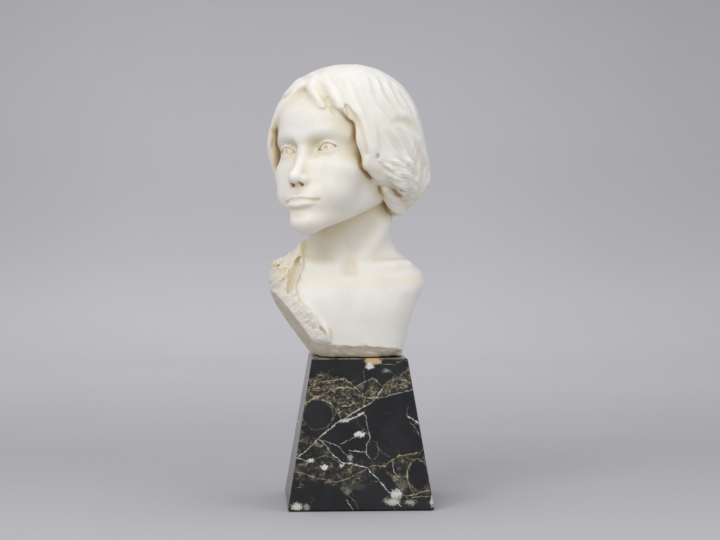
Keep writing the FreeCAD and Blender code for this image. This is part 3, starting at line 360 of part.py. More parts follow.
968,-1043,7206 1137,-957,7192 1194,-776,7173 1373,-658,7153 1378,-448,7133 1430,-274,7112 1459,-75,7089 1450,114,7068 1480,324,7040 1397,510,7021 1381,722,6993 1228,879,6979 1131,1052,6958 962,1181,6945 831,1338,6926 618,1384,6925 473,1545,6903 254,1539,6909 76,1668,6889 -136,1640,6896 -339,1625,6898 -533,1583,6904 -720,1507,6915 -901,1439,6923 -1031,1274,6946 -1199,1203,6953 -1330,1067,6969 -1431,924,6986 -1538,788,7002 -1575,624,7023 -1670,503,7035 -1763,374,7047 -1792,238,7062 -1841,107,7075 -1776,-18,7093 -1792,-136,7106 -1517,-212,7131 -1570,-301,7136 -1565,-389,7145 -1572,-472,7153 -1560,-552,7161 -1567,-636,7168 -1544,-709,7176 -1502,-769,7183 -1467,-830,7189 -1402,-870,7197 -1360,-920,7202 -1249,-915,7207 -1228,-972,7211 -1241,-1069,7218 -1256,-1176,7225 -1218,-1235,7231 -1167,-1277,7235 -1101,-1303,7239 -998,-1266,7240 -905,-1236,7240 -846,-1247,7243 -830,-1357,7250 -771,-1386,7254 -720,-1446,7257 -653,-1465,7260 -585,-1497,7262 -510,-1501,7264 -426,-1489,7264 -349,-1462,7263 -261,-1488,7264 -186,-1371,7258 -77,-1640,7271 26,-1580,7268 149,-1642,7269 277,-1610,7266 378,-1516,7258 512,-1473,7252 635,-1392,7244 740,-1275,7232 902,-1214,7222
990,-1053,7269 1122,-941,7256 1225,-785,7238 1354,-641,7221 1362,-437,7199 1420,-266,7179 1446,-65,7156 1434,117,7136 1486,335,7109 1390,513,7090 1373,727,7065 1242,893,7047 1131,1062,7028 972,1197,7014 836,1353,6996 628,1408,6991 478,1566,6972 252,1539,6978 78,1687,6959 -137,1637,6967 -340,1642,6966 -531,1579,6974 -723,1524,6981 -896,1435,6992 -1032,1284,7010 -1196,1206,7018 -1337,1083,7033 -1451,946,7048 -1534,794,7066 -1599,643,7083 -1636,495,7101 -1757,381,7112 -1801,247,7127 -1853,116,7141 -1803,-10,7156 -1803,-130,7169 -1516,-207,7182 -1588,-297,7191 -1593,-389,7201 -1587,-470,7210 -1577,-552,7219 -1554,-624,7227 -1539,-700,7236 -1507,-765,7243 -1450,-814,7249 -1405,-866,7254 -1312,-879,7257 -1289,-938,7261 -1269,-1003,7269 -1286,-1105,7279 -1266,-1181,7287 -1224,-1235,7293 -1172,-1278,7298 -1111,-1308,7301 -1032,-1313,7302 -934,-1277,7299 -867,-1285,7300 -805,-1297,7303 -773,-1385,7311 -713,-1419,7316 -655,-1465,7320 -583,-1484,7322 -507,-1483,7322 -430,-1496,7323 -349,-1482,7321 -264,-1490,7322 -183,-1418,7315 -75,-1666,7339 27,-1562,7329 152,-1658,7337 278,-1596,7330 375,-1510,7321 521,-1476,7317 616,-1361,7305 772,-1305,7297 879,-1185,7285
1004,-1062,7336 1117,-927,7322 1251,-793,7307 1330,-621,7288 1356,-431,7266 1399,-254,7247 1429,-59,7225 1426,124,7205 1467,339,7183 1411,527,7161 1352,730,7140 1245,897,7121 1133,1077,7101 970,1199,7087 841,1370,7069 641,1436,7061 483,1593,7045 252,1546,7048 77,1694,7034 -137,1634,7039 -340,1654,7038 -528,1573,7046 -723,1533,7051 -895,1436,7061 -1025,1281,7077 -1196,1214,7086 -1336,1090,7100 -1460,961,7115 -1541,806,7131 -1614,657,7148 -1636,501,7164 -1717,377,7180 -1807,257,7195 -1859,123,7210 -1825,0,7223 -1840,-124,7237 -1597,-208,7240 -1595,-294,7251 -1635,-390,7262 -1610,-472,7272 -1606,-554,7281 -1586,-632,7290 -1547,-697,7297 -1509,-760,7304 -1474,-821,7310 -1430,-875,7316 -1418,-949,7324 -1381,-1007,7331 -1350,-1068,7338 -1318,-1131,7347 -1288,-1197,7355 -1237,-1243,7360 -1185,-1286,7365 -1129,-1327,7369 -1058,-1344,7371 -990,-1363,7371 -924,-1382,7373 -859,-1407,7374 -784,-1405,7375 -723,-1439,7378 -655,-1460,7381 -586,-1486,7384 -514,-1511,7387 -433,-1516,7387 -352,-1504,7386 -265,-1517,7386 -181,-1439,7376 -79,-1608,7400 30,-1589,7396 153,-1645,7405 276,-1589,7398 378,-1506,7387 519,-1467,7384 615,-1352,7368 790,-1321,7367 858,-1153,7346
1009,-1060,7407 1124,-922,7391 1260,-790,7380 1310,-604,7357 1352,-425,7336 1384,-242,7316 1412,-53,7296 1421,134,7276 1437,338,7257 1428,541,7237 1332,730,7215 1246,904,7197 1124,1081,7178 968,1201,7163 835,1375,7147 638,1434,7137 486,1609,7123 254,1558,7121 73,1686,7113 -136,1636,7114 -340,1651,7114 -526,1570,7120 -720,1534,7125 -893,1441,7134 -1020,1280,7146 -1185,1208,7157 -1332,1095,7171 -1457,968,7185 -1548,818,7201 -1618,668,7217 -1654,515,7232 -1682,373,7247 -1784,262,7265 -1864,132,7283 -1825,9,7294 -1877,-117,7311 -1586,-201,7301 -1608,-288,7311 -1654,-388,7330 -1628,-469,7336 -1631,-556,7349 -1611,-634,7358 -1600,-714,7368 -1567,-783,7376 -1534,-849,7384 -1507,-918,7392 -1467,-978,7400 -1427,-1036,7406 -1383,-1090,7413 -1338,-1143,7419 -1294,-1196,7425 -1241,-1239,7430 -1188,-1283,7435 -1135,-1326,7440 -1074,-1360,7442 -1014,-1393,7446 -952,-1427,7449 -887,-1455,7453 -820,-1482,7454 -747,-1496,7455 -675,-1515,7457 -600,-1534,7459 -520,-1531,7457 -438,-1535,7457 -354,-1517,7452 -266,-1523,7454 -180,-1461,7441 -80,-1589,7466 31,-1591,7466 156,-1639,7476 270,-1570,7466 384,-1507,7457 507,-1441,7449 637,-1375,7441 781,-1302,7436 855,-1141,7412
999,-1044,7477 1142,-924,7468 1222,-762,7449 1305,-595,7430 1340,-413,7408 1378,-232,7388 1394,-47,7368 1421,144,7351 1399,336,7331 1432,551,7317 1320,733,7294 1241,909,7277 1109,1079,7258 964,1202,7242 823,1371,7228 634,1431,7216 480,1606,7207 258,1576,7198 68,1672,7195 -135,1633,7192 -339,1642,7193 -522,1561,7196 -715,1529,7202 -889,1443,7209 -1018,1283,7218 -1168,1192,7230 -1319,1090,7244 -1446,967,7259 -1544,824,7274 -1619,677,7290 -1660,525,7304 -1677,378,7317 -1739,260,7334 -1855,141,7359 -1821,16,7367 -1874,-106,7388 -1683,-202,7374 -1598,-282,7380 -1648,-377,7394 -1633,-464,7408 -1636,-549,7418 -1626,-633,7431 -1607,-709,7441 -1577,-780,7450 -1550,-851,7459 -1513,-914,7467 -1486,-983,7475 -1439,-1037,7482 -1392,-1090,7487 -1340,-1137,7492 -1290,-1184,7497 -1235,-1224,7501 -1182,-1268,7505 -1132,-1314,7511 -1076,-1355,7516 -1019,-1395,7521 -959,-1431,7525 -896,-1467,7529 -823,-1481,7530 -753,-1505,7531 -678,-1519,7531 -603,-1534,7532 -523,-1539,7531 -438,-1530,7526 -354,-1518,7524 -265,-1508,7519 -180,-1445,7505 -82,-1554,7530 33,-1604,7543 155,-1618,7549 265,-1549,7537 384,-1496,7529 507,-1437,7522 649,-1382,7518 753,-1260,7500 867,-1146,7485
1009,-1041,7556 1101,-888,7537 1185,-738,7518 1305,-586,7509 1321,-401,7482 1375,-222,7466 1372,-40,7443 1425,156,7431 1372,337,7408 1414,556,7400 1308,733,7376 1227,911,7359 1097,1076,7341 961,1209,7325 815,1369,7312 626,1428,7297 460,1567,7292 264,1599,7281 58,1639,7277 -133,1634,7274 -339,1625,7274 -517,1553,7275 -709,1515,7281 -882,1439,7288 -1020,1294,7294 -1148,1174,7304 -1301,1081,7319 -1426,959,7335 -1527,822,7350 -1615,684,7366 -1654,531,7379 -1676,387,7391 -1710,260,7406 -1822,149,7434 -1830,22,7448 -1837,-93,7462 -1759,-202,7462 -1516,-263,7429 -1672,-372,7474 -1600,-449,7471 -1642,-541,7495 -1614,-621,7503 -1610,-701,7518 -1575,-771,7525 -1549,-841,7535 -1515,-907,7543 -1479,-970,7552 -1434,-1025,7558 -1384,-1074,7562 -1334,-1122,7567 -1283,-1168,7571 -1229,-1210,7575 -1177,-1253,7580 -1125,-1297,7585 -1071,-1338,7590 -1014,-1378,7596 -956,-1418,7601 -892,-1450,7605 -824,-1474,7605 -752,-1495,7607 -678,-1509,7607 -602,-1525,7608 -521,-1524,7603 -438,-1522,7603 -352,-1491,7588 -266,-1486,7589 -179,-1439,7574 -81,-1558,7608 35,-1600,7622 151,-1595,7624 259,-1520,7608 381,-1483,7605 513,-1436,7601 636,-1354,7590 754,-1252,7575 865,-1137,7560
961,-992,7622 1048,-848,7600 1189,-732,7601 1281,-567,7587 1309,-391,7561 1362,-211,7546 1361,-31,7523 1410,163,7514 1373,347,7492 1373,552,7483 1306,738,7464 1206,911,7446 1087,1072,7428 955,1217,7413 798,1350,7400 634,1456,7387 439,1528,7376 265,1609,7371 53,1622,7363 -132,1628,7360 -338,1611,7359 -512,1539,7357 -701,1499,7364 -871,1427,7371 -1022,1308,7376 -1138,1168,7381 -1276,1064,7396 -1410,955,7414 -1509,819,7429 -1603,687,7447 -1639,534,7457 -1667,393,7469 -1692,264,7482 -1788,155,7512 -1827,31,7532 -1806,-83,7540 -1792,-192,7551 -1685,-281,7536 -1556,-344,7521 -1650,-448,7561 -1594,-521,7560 -1618,-610,7584 -1582,-682,7590 -1565,-755,7603 -1534,-824,7612 -1501,-888,7621 -1465,-951,7629 -1424,-1008,7636 -1378,-1060,7641 -1331,-1110,7647 -1282,-1158,7652 -1231,-1203,7657 -1178,-1246,7661 -1124,-1287,7666 -1069,-1327,7671 -1010,-1362,7674 -949,-1396,7678 -886,-1428,7682 -817,-1451,7684 -746,-1469,7682 -673,-1487,7683 -597,-1494,7680 -518,-1508,7682 -433,-1474,7663 -353,-1506,7677 -264,-1431,7647 -179,-1458,7655 -81,-1543,7686 36,-1599,7707 145,-1553,7697 254,-1499,7685 377,-1463,7683 505,-1411,7678 624,-1325,7665 736,-1222,7649 857,-1118,7637
900,-937,7679 1077,-858,7695 1168,-709,7681 1263,-553,7670 1288,-375,7642 1345,-200,7630 1347,-21,7607 1383,168,7599 1374,357,7584 1341,551,7569 1292,739,7556 1188,911,7536 1073,1067,7520 946,1222,7507 782,1334,7490 629,1462,7483 431,1513,7467 258,1600,7464 51,1610,7454 -135,1612,7449 -335,1603,7449 -508,1523,7443 -695,1493,7451 -860,1410,7456 -1018,1314,7463 -1138,1175,7466 -1255,1051,7476 -1395,952,7497 -1495,820,7512 -1584,686,7530 -1616,534,7538 -1648,396,7550 -1675,271,7562 -1768,159,7596 -1794,43,7614 -1815,-77,7633 -1736,-173,7624 -1856,-293,7673 -1704,-368,7642 -1561,-419,7617 -1646,-524,7661 -1579,-590,7655 -1592,-674,7679 -1555,-743,7686 -1532,-812,7698 -1497,-877,7707 -1461,-938,7715 -1419,-995,7722 -1376,-1049,7729 -1329,-1099,7735 -1280,-1146,7739 -1229,-1191,7744 -1177,-1234,7749 -1123,-1276,7754 -1066,-1313,7757 -1009,-1351,7762 -948,-1384,7766 -881,-1410,7766 -815,-1435,7767 -746,-1462,7771 -672,-1468,7766 -595,-1489,7769 -515,-1466,7752 -439,-1525,7776 -347,-1408,7722 -270,-1542,7772 -177,-1533,7770 -78,-1540,7773 36,-1596,7801 138,-1505,7770 251,-1484,7770 371,-1437,7764 498,-1391,7761 612,-1293,7742 696,-1165,7711 817,-1068,7703
949,-966,7791 1080,-847,7791 1142,-685,7763 1247,-538,7760 1265,-358,7727 1323,-190,7718 1333,-9,7697 1345,172,7685 1364,366,7680 1315,551,7662 1272,740,7653 1168,908,7632 1061,1068,7619 932,1219,7605 769,1327,7587 622,1461,7583 421,1499,7562 251,1588,7561 49,1598,7549 -137,1599,7544 -331,1588,7543 -505,1515,7535 -692,1499,7547 -849,1392,7545 -1008,1312,7555 -1136,1181,7558 -1246,1053,7564 -1377,947,7585 -1485,824,7603 -1554,680,7615 -1595,535,7624 -1622,400,7633 -1676,280,7654 -1730,166,7679 -1779,49,7706 -1767,-61,7715 -1775,-171,7731 -1712,-259,7728 -1798,-373,7774 -1630,-429,7726 -1577,-494,7726 -1608,-587,7759 -1563,-654,7760 -1548,-727,7776 -1519,-795,7787 -1485,-859,7796 -1447,-918,7803 -1408,-976,7812 -1363,-1028,7817 -1317,-1077,7823 -1269,-1125,7829 -1218,-1169,7833 -1165,-1210,7836 -1113,-1251,7841 -1059,-1293,7849 -999,-1325,7850 -938,-1357,7852 -878,-1391,7857 -811,-1418,7860 -738,-1426,7853 -668,-1453,7857 -591,-1450,7847 -517,-1489,7861 -424,-1398,7810 -359,-1523,7864 -270,-1564,7885 -176,-1449,7830 -76,-1598,7900 33,-1531,7874 131,-1487,7860 246,-1450,7854 364,-1414,7851 490,-1358,7846 585,-1249,7817 721,-1183,7816 814,-1056,7790
966,-966,7904 1044,-813,7874 1135,-672,7861 1222,-518,7851 1247,-344,7821 1296,-176,7809 1315,2,7793 1313,179,7777 1337,370,7778 1297,555,7763 1249,740,7755 1148,906,7735 1040,1060,7720 918,1217,7711 747,1304,7686 615,1462,7692 412,1488,7664 242,1570,7664 48,1590,7653 -140,1590,7646 -327,1569,7641 -506,1522,7638 -686,1491,7647 -841,1384,7642 -994,1301,7651 -1127,1180,7654 -1232,1049,7658 -1365,947,7680 -1465,821,7697 -1528,677,7706 -1571,536,7714 -1606,405,7725 -1669,290,7751 -1704,171,7771 -1739,60,7795 -1753,-53,7813 -1726,-153,7817 -1751,-257,7841 -1694,-339,7839 -1744,-444,7878 -1611,-497,7838 -1553,-556,7833 -1563,-641,7863 -1532,-709,7870 -1497,-772,7877 -1466,-836,7889 -1431,-895,7898 -1387,-948,7901 -1346,-1002,7910 -1300,-1051,7915 -1251,-1096,7918 -1202,-1140,7923 -1153,-1184,7931 -1100,-1223,7935 -1041,-1256,7934 -989,-1298,7943 -931,-1333,7949 -862,-1350,7943 -797,-1373,7941 -737,-1417,7954 -661,-1420,7948 -589,-1439,7950 -505,-1412,7925 -451,-1543,7988 -362,-1583,8006 -264,-1436,7926 -179,-1532,7974 -75,-1515,7971 24,-1502,7968 128,-1442,7944 235,-1414,7941 361,-1388,7945 463,-1300,7920 568,-1213,7899 714,-1165,7913 822,-1054,7894
914,-913,7979 1007,-780,7960 1110,-648,7957 1194,-497,7947 1223,-327,7918 1266,-162,7906 1292,14,7894 1286,187,7876 1303,374,7879 1266,555,7867 1208,732,7855 1121,898,7841 1015,1052,7827 891,1199,7817 728,1291,7792 588,1425,7795 406,1482,7775 227,1537,7767 44,1565,7758 -143,1572,7752 -323,1547,7745 -503,1517,7746 -674,1467,7749 -830,1371,7744 -972,1275,7747 -1108,1168,7753 -1218,1045,7757 -1348,945,7781 -1434,810,7792 -1498,672,7801 -1545,536,7809 -1588,411,7823 -1648,297,7851 -1676,179,7869 -1699,68,7888 -1713,-39,7908 -1712,-141,7921 -1700,-236,7935 -1681,-327,7941 -1650,-406,7950 -1682,-503,7985 -1576,-556,7952 -1497,-602,7932 -1479,-671,7949 -1464,-742,7970 -1425,-799,7973 -1388,-854,7980 -1355,-912,7994 -1311,-961,7996 -1267,-1009,8002 -1224,-1056,8011 -1175,-1098,8014 -1121,-1134,8013 -1072,-1174,8019 -1026,-1222,8034 -961,-1242,8025 -899,-1266,8021 -857,-1325,8044 -818,-1410,8085 -734,-1397,8065 -640,-1351,8021 -573,-1360,8015 -526,-1489,8086 -446,-1520,8101 -356,-1494,8080 -267,-1485,8068 -177,-1451,8050 -78,-1499,8079 18,-1433,8046 120,-1407,8039 223,-1361,8025 344,-1336,8031 429,-1228,7986 577,-1215,8014 690,-1121,7999 795,-1016,7982
875,-868,8063 987,-758,8064 1062,-612,8043 1166,-477,8052 1187,-306,8016 1234,-148,8008 1261,26,7998 1255,195,7981 1266,377,7984 1229,553,7973 1170,724,7962 1089,889,7952 981,1035,7936 865,1182,7930 703,1270,7902 565,1394,7904 393,1462,7889 215,1507,7876 38,1537,7868 -144,1542,7860 -320,1520,7853 -495,1492,7854 -662,1440,7855 -813,1346,7848 -952,1251,7848 -1083,1148,7854 -1200,1038,7862 -1324,937,7886 -1400,798,7890 -1466,668,7900 -1513,535,7908 -1560,415,7925 -1619,303,7954 -1645,187,7972 -1648,76,7982 -1668,-26,8004 -1669,-125,8021 -1671,-220,8037 -1649,-307,8047 -1614,-386,8046 -1608,-466,8070 -1611,-552,8096 -1553,-613,8085 -1453,-648,8047 -1389,-689,8033 -1374,-755,8056 -1343,-811,8066 -1296,-856,8062 -1263,-909,8077 -1221,-955,8083 -1173,-994,8081 -1129,-1037,8087 -1091,-1085,8103 -1037,-1118,8103 -971,-1132,8087 -933,-1184,8106 -913,-1275,8157 -866,-1332,8182 -784,-1324,8160 -683,-1257,8092 -632,-1302,8109 -592,-1423,8184 -517,-1444,8193 -438,-1458,8193 -352,-1452,8182 -264,-1391,8138 -178,-1442,8168 -82,-1430,8167 13,-1390,8143 111,-1356,8131 215,-1321,8121 316,-1261,8102 425,-1210,8093 565,-1182,8119 645,-1055,8070 779,-991,8084
841,-827,8157 940,-718,8156 1022,-581,8140 1126,-451,8155 1145,-284,8116 1194,-131,8113 1217,37,8102 1215,202,8089 1221,379,8093 1181,548,8081 1123,712,8070 1046,873,8062 936,1008,8043 832,1158,8045 681,1254,8020 531,1346,8009 376,1432,8005 200,1468,7987 30,1498,7979 -146,1502,7970 -316,1486,7964 -484,1449,7960 -648,1410,7966 -794,1316,7954 -930,1226,7955 -1055,1125,7958 -1181,1032,7975 -1289,919,7990 -1371,792,7998 -1426,657,8001 -1479,534,8013 -1529,417,8032 -1581,307,8060 -1594,192,8070 -1595,85,8077 -1615,-13,8102 -1626,-109,8124 -1615,-199,8137 -1610,-286,8154 -1567,-361,8149 -1533,-432,8148 -1509,-502,8161 -1510,-579,8190 -1495,-651,8208 -1413,-689,8176 -1308,-704,8123 -1277,-754,8135 -1261,-817,8161 -1212,-855,8153 -1173,-899,8159 -1140,-949,8177 -1093,-985,8178 -1031,-1004,8159 -990,-1043,8167 -981,-1130,8223 -959,-1211,8271 -899,-1239,8274 -823,-1235,8249 -741,-1215,8209 -688,-1249,8216 -649,-1343,8281 -580,-1366,8289 -506,-1381,8288 -429,-1393,8289 -343,-1347,8245 -265,-1357,8245 -177,-1387,8273 -88,-1357,8250 5,-1328,8234 98,-1297,8221 207,-1277,8225 295,-1204,8189 423,-1188,8213 523,-1107,8191 628,-1022,8172 750,-950,8184
806,-787,8258 884,-670,8239 991,-554,8251 1069,-417,8251 1098,-263,8219 1144,-112,8217 1164,48,8206 1166,209,8197 1166,377,8200 1122,539,8186 1065,694,8176 995,851,8172 886,978,8151 779,1111,8148 652,1226,8140 497,1297,8115 350,1383,8116 184,1420,8097 20,1452,8092 -148,1449,8078 -313,1447,8078 -472,1396,8064 -630,1367,8075 -773,1284,8065 -904,1196,8063 -1029,1103,8069 -1148,1010,8086 -1254,902,8100 -1324,773,8101 -1384,647,8106 -1436,529,8118 -1497,420,8147 -1523,306,8159 -1539,197,8170 -1551,96,8184 -1557,-1,8201 -1565,-92,8222 -1544,-178,8224 -1521,-256,8228 -1496,-331,8231 -1462,-397,8231 -1434,-462,8235 -1415,-527,8251 -1401,-592,8274 -1404,-666,8311 -1354,-716,8301 -1243,-720,8233 -1177,-743,8205 -1165,-803,8240 -1127,-845,8246 -1070,-869,8226 -1032,-907,8231 -1032,-988,8291 -1024,-1071,8349 -979,-1114,8364 -916,-1130,8355 -849,-1139,8334 -783,-1145,8313 -732,-1179,8322 -688,-1235,8360 -630,-1272,8380 -565,-1299,8387 -494,-1314,8389 -414,-1289,8354 -339,-1288,8342 -263,-1309,8359 -177,-1334,8381 -93,-1288,8343 -1,-1277,8340 87,-1236,8315 194,-1223,8327 276,-1147,8282 405,-1138,8317 489,-1046,8275 611,-988,8288 707,-895,8271
747,-731,8339 850,-636,8349 953,-521,8366 1001,-381,8340 1045,-240,8325 1086,-92,8321 1101,59,8309 1107,215,8305 1097,372,8302 1060,527,8293 1002,674,8281 931,819,8275 835,948,8262 719,1056,8244 608,1177,8249 462,1247,8225 320,1321,8221 165,1362,8206 8,1391,8199 -150,1391,8186 -308,1387,8186 -459,1346,8173 -608,1307,8178 -749,1245,8178 -873,1155,8171 -991,1068,8176 -1106,977,8192 -1199,869,8200 -1275,752,8205 -1332,633,8210 -1392,524,8229 -1442,416,8253 -1459,304,8257 -1486,204,8278 -1489,104,8285 -1489,13,8296 -1500,-74,8320 -1504,-157,8343 -1493,-236,8355 -1471,-308,8361 -1444,-376,8364 -1418,-440,8371 -1391,-501,8378 -1359,-558,8381 -1333,-615,8396 -1310,-672,8413 -1283,-728,8424 -1195,-741,8369 -1101,-740,8302 -1066,-778,8306 -1068,-850,8364 -1081,-940,8444 -1043,-986,8462 -988,-1011,8457 -934,-1036,8450 -872,-1048,8427 -812,-1060,8410 -764,-1092,8420 -721,-1138,8450 -671,-1178,8472 -612,-1206,8481 -546,-1217,8477 -472,-1201,8445 -403,-1201,8432 -334,-1221,8444 -261,-1259,8479 -178,-1244,8465 -98,-1214,8434 -10,-1206,8437 75,-1171,8413 178,-1162,8430 255,-1082,8373 379,-1078,8418 460,-987,8369 574,-932,8383 671,-843,8370
696,-680,8430 820,-601,8477 876,-471,8445 936,-348,8437 979,-212,8423 1019,-73,8424 1029,70,8408 1037,218,8408 1018,364,8399 985,511,8393 926,647,8379 861,782,8375 773,907,8366 662,1007,8345 554,1113,8346 423,1188,8331 286,1251,8321 143,1295,8311 -5,1320,8302 -153,1326,8293 -301,1315,8287 -445,1288,8283 -583,1240,8277 -718,1191,8285 -837,1105,8275 -948,1023,8279 -1056,937,8294 -1143,834,8300 -1218,726,8309 -1270,612,8309 -1336,514,8339 -1365,403,8344 -1389,301,8355 -1403,203,8364 -1407,111,8372 -1410,25,8384 -1415,-55,8405 -1422,-133,8432 -1411,-206,8444 -1392,-275,8451 -1363,-338,8451 -1331,-396,8448 -1304,-451,8452 -1295,-512,8480 -1283,-572,8505 -1255,-624,8515 -1208,-662,8505 -1185,-714,8522 -1149,-758,8525 -1105,-792,8520 -1076,-840,8542 -1019,-861,8525 -981,-898,8534 -940,-934,8539 -885,-952,8523 -834,-973,8516 -790,-1006,8527 -746,-1040,8542 -696,-1069,8552 -643,-1094,8561 -584,-1108,8557 -516,-1098,8524 -454,-1103,8511 -392,-1121,8519 -328,-1152,8549 -256,-1154,8548 -181,-1145,8535 -104,-1135,8526 -21,-1123,8522 61,-1099,8510 158,-1087,8525 234,-1018,8471 346,-1003,8507 429,-927,8469 526,-861,8465 625,-785,8463
652,-630,8536 740,-539,8550 803,-426,8532 860,-309,8526 905,-184,8519 938,-53,8516 946,81,8501 953,219,8503 930,353,8489 903,491,8489 844,615,8470 783,740,8468 703,858,8463 600,950,8442 497,1046,8441 377,1118,8428 250,1176,8419 117,1217,8409 -20,1241,8400 -157,1249,8393 -295,1239,8387 -429,1216,8384 -557,1169,8375 -684,1125,8384 -795,1047,8375 -899,970,8378 -1000,890,8392 -1081,793,8398 -1148,691,8401 -1204,589,8409 -1261,494,8434 -1284,389,8432 -1305,294,8440 -1320,204,8451 -1329,119,8463 -1329,38,8473 -1336,-37,8495 -1342,-109,8523 -1335,-178,8537 -1320,-243,8548 -1294,-303,8547 -1251,-353,8527 -1217,-402,8519 -1200,-454,8537 -1188,-507,8565 -1165,-555,8578 -1144,-605,8595 -1097,-636,8580 -1061,-672,8580 -1027,-710,8584 -990,-743,8585 -969,-791,8613 -932,-827,8623 -885,-849,8614 -843,-877,8615 -802,-908,8622 -756,-932,8625 -710,-957,8630 -663,-981,8637 -608,-994,8628 -549,-992,8600 -494,-1004,8594 -441,-1029,8612 -383,-1051,8632 -318,-1046,8615 -252,-1042,8602 -183,-1045,8606 -111,-1040,8603 -34,-1034,8606 45,-1014,8597 133,-998,8606 210,-946,8567 304,-913,8577 392,-857,8562 474,-786,8540 581,-729,8568
599,-575,8642 665,-479,8625 726,-378,8617 776,-268,8607 819,-154,8605 848,-32,8602 853,90,8585 860,218,8590 835,340,8572 810,466,8573 759,582,8561 695,691,8549 628,803,8554 532,887,8531 437,973,8530 328,1040,8519 212,1093,8510 90,1132,8501 -35,1154,8493 -161,1163,8487 -287,1153,8479 -411,1134,8479 -529,1090,8468 -646,1052,8480 -748,980,8468 -845,911,8473 -938,837,8486 -1013,747,8489 -1073,651,8490 -1131,562,8505 -1177,470,8521 -1197,373,8516 -1225,289,8534 -1246,207,8554 -1251,127,8563 -1253,52,8573 -1254,-18,8589 -1256,-84,8614 -1246,-148,8624 -1232,-207,8634 -1209,-262,8634 -1179,-312,8625 -1143,-357,8608 -1117,-401,8608 -1091,-443,8611 -1069,-486,8622 -1041,-524,8628 -1025,-569,8650 -999,-608,8662 -973,-646,8677 -944,-683,8690 -905,-709,8689 -869,-738,8692 -832,-767,8693 -794,-793,8697 -756,-821,8707 -716,-847,8713 -671,-866,8710 -620,-875,8692 -569,-881,8672 -522,-899,8676 -475,-922,8693 -424,-940,8704 -367,-939,8688 -309,-944,8683 -249,-948,8683 -185,-947,8681 -118,-944,8680 -48,-933,8676 25,-918,8672 102,-897,8668 183,-868,8665 266,-830,8659 350,-781,8652 432,-720,8640 516,-653,8641
523,-503,8710 585,-419,8700 641,-327,8693 684,-226,8681 722,-122,8679 750,-12,8680 753,99,8661 758,214,8667 735,325,8650 709,437,8650 669,546,8645 604,639,8625 545,740,8633 461,819,8615 373,894,8610 275,955,8602 171,1003,8593 61,1039,8586 -52,1060,8579 -166,1068,8573 -280,1060,8566 -392,1044,8566 -499,1006,8557 -605,971,8567 -697,905,8554 -788,846,8564 -871,777,8574 -937,693,8572 -994,609,8575 -1049,529,8594 -1085,442,8600 -1107,357,8598 -1136,281,8623 -1147,204,8630 -1151,131,8636 -1151,64,8644 -1147,0,8653 -1142,-59,8665 -1135,-116,8679 -1120,-168,8682 -1102,-218,8685 -1084,-265,8691 -1064,-309,8695 -1048,-352,8708 -1033,-395,8727 -1014,-435,8741 -994,-475,8755 -962,-507,8753 -933,-539,8757 -900,-567,8751 -864,-592,8742 -831,-618,8737 -798,-643,8737 -765,-668,8740 -733,-695,8751 -700,-720,8760 -663,-742,8765 -620,-755,8753 -578,-768,8743 -537,-786,8745 -492,-797,8740 -446,-806,8735 -399,-817,8737 -351,-831,8746 -299,-837,8747 -245,-840,8745 -187,-840,8745 -127,-838,8745 -63,-829,8742 4,-817,8742 75,-799,8740 148,-773,8738 223,-736,8729 298,-691,8719 372,-636,8709 451,-577,8715
445,-431,8777 500,-355,8768 550,-273,8762 589,-183,8752 617,-90,8740 645,8,8750 647,107,8730 647,208,8732 635,310,8729 598,402,8705 573,505,8725 514,587,8698 455,670,8697 387,748,8695 305,808,8680 221,866,8678 127,907,8668 31,940,8664 -69,958,8656 -170,966,8651 -272,962,8647 -371,945,8645 -467,915,8637 -561,883,8649 -643,824,8633 -725,775,8646 -798,710,8652 -856,635,8647 -912,564,8659 -958,491,8672 -989,412,8673 -1010,337,8675 -1035,269,8696 -1045,201,8704 -1050,136,8710 -1049,75,8715 -1046,19,8724 -1037,-34,8728 -1026,-84,8731 -1015,-131,8739 -1000,-175,8744 -983,-216,8746 -964,-255,8748 -945,-291,8753 -926,-326,8759 -903,-359,8761 -880,-390,8764 -859,-421,8770 -832,-447,8765 -807,-474,8767 -780,-500,8768 -754,-524,8774 -730,-550,8786 -702,-575,8795 -672,-596,8798 -640,-615,8800 -606,-632,8797 -572,-648,8796 -536,-663,8793 -498,-676,8793 -460,-689,8793 -421,-702,8799 -379,-714,8803 -335,-721,8804 -289,-729,8808 -241,-733,8812 -189,-733,8809 -135,-729,8807 -79,-720,8801 -19,-709,8799 44,-694,8802 109,-669,8794 175,-637,8787 243,-598,8783 311,-550,8777 378,-494,8775
358,-353,8826 410,-288,8827 452,-216,8819 487,-139,8813 510,-57,8800 530,27,8802 540,115,8801 528,200,8776 524,290,8795 497,374,8780 458,450,8761 425,536,8782 363,598,8751 308,669,8761 236,721,8746 163,771,8745 83,808,8738 -1,835,8732 -88,854,8729 -175,858,8719 -263,859,8724 -348,837,8707 -435,823,8724 -513,781,8708 -587,741,8709 -661,698,8726 -720,637,8720 -772,574,8717 -822,514,8732 -860,447,8738 -889,380,8742 -907,314,8741 -927,255,8759 -937,195,8768 -941,139,8773 -940,86,8778 -936,37,8784 -930,-9,8788 -922,-53,8795 -910,-93,8797 -898,-132,8801 -884,-168,8805 -868,-202,8809 -851,-234,8811 -834,-264,8815 -817,-294,8820 -797,-321,8822 -775,-346,8820 -754,-371,8825 -731,-394,8825 -708,-416,8826 -686,-438,8834 -662,-459,8839 -637,-479,8845 -612,-498,8849 -584,-515,8850 -555,-531,8852 -525,-544,8849 -494,-557,8847 -461,-569,8846 -428,-581,8848 -393,-589,8845 -356,-598,8847 -319,-606,8852 -278,-611,8852 -236,-615,8855 -192,-616,8857 -145,-614,8859 -95,-608,8857 -43,-596,8849 11,-582,8850 68,-563,8849 127,-536,8845 186,-501,8837 245,-459,8832 302,-409,8825
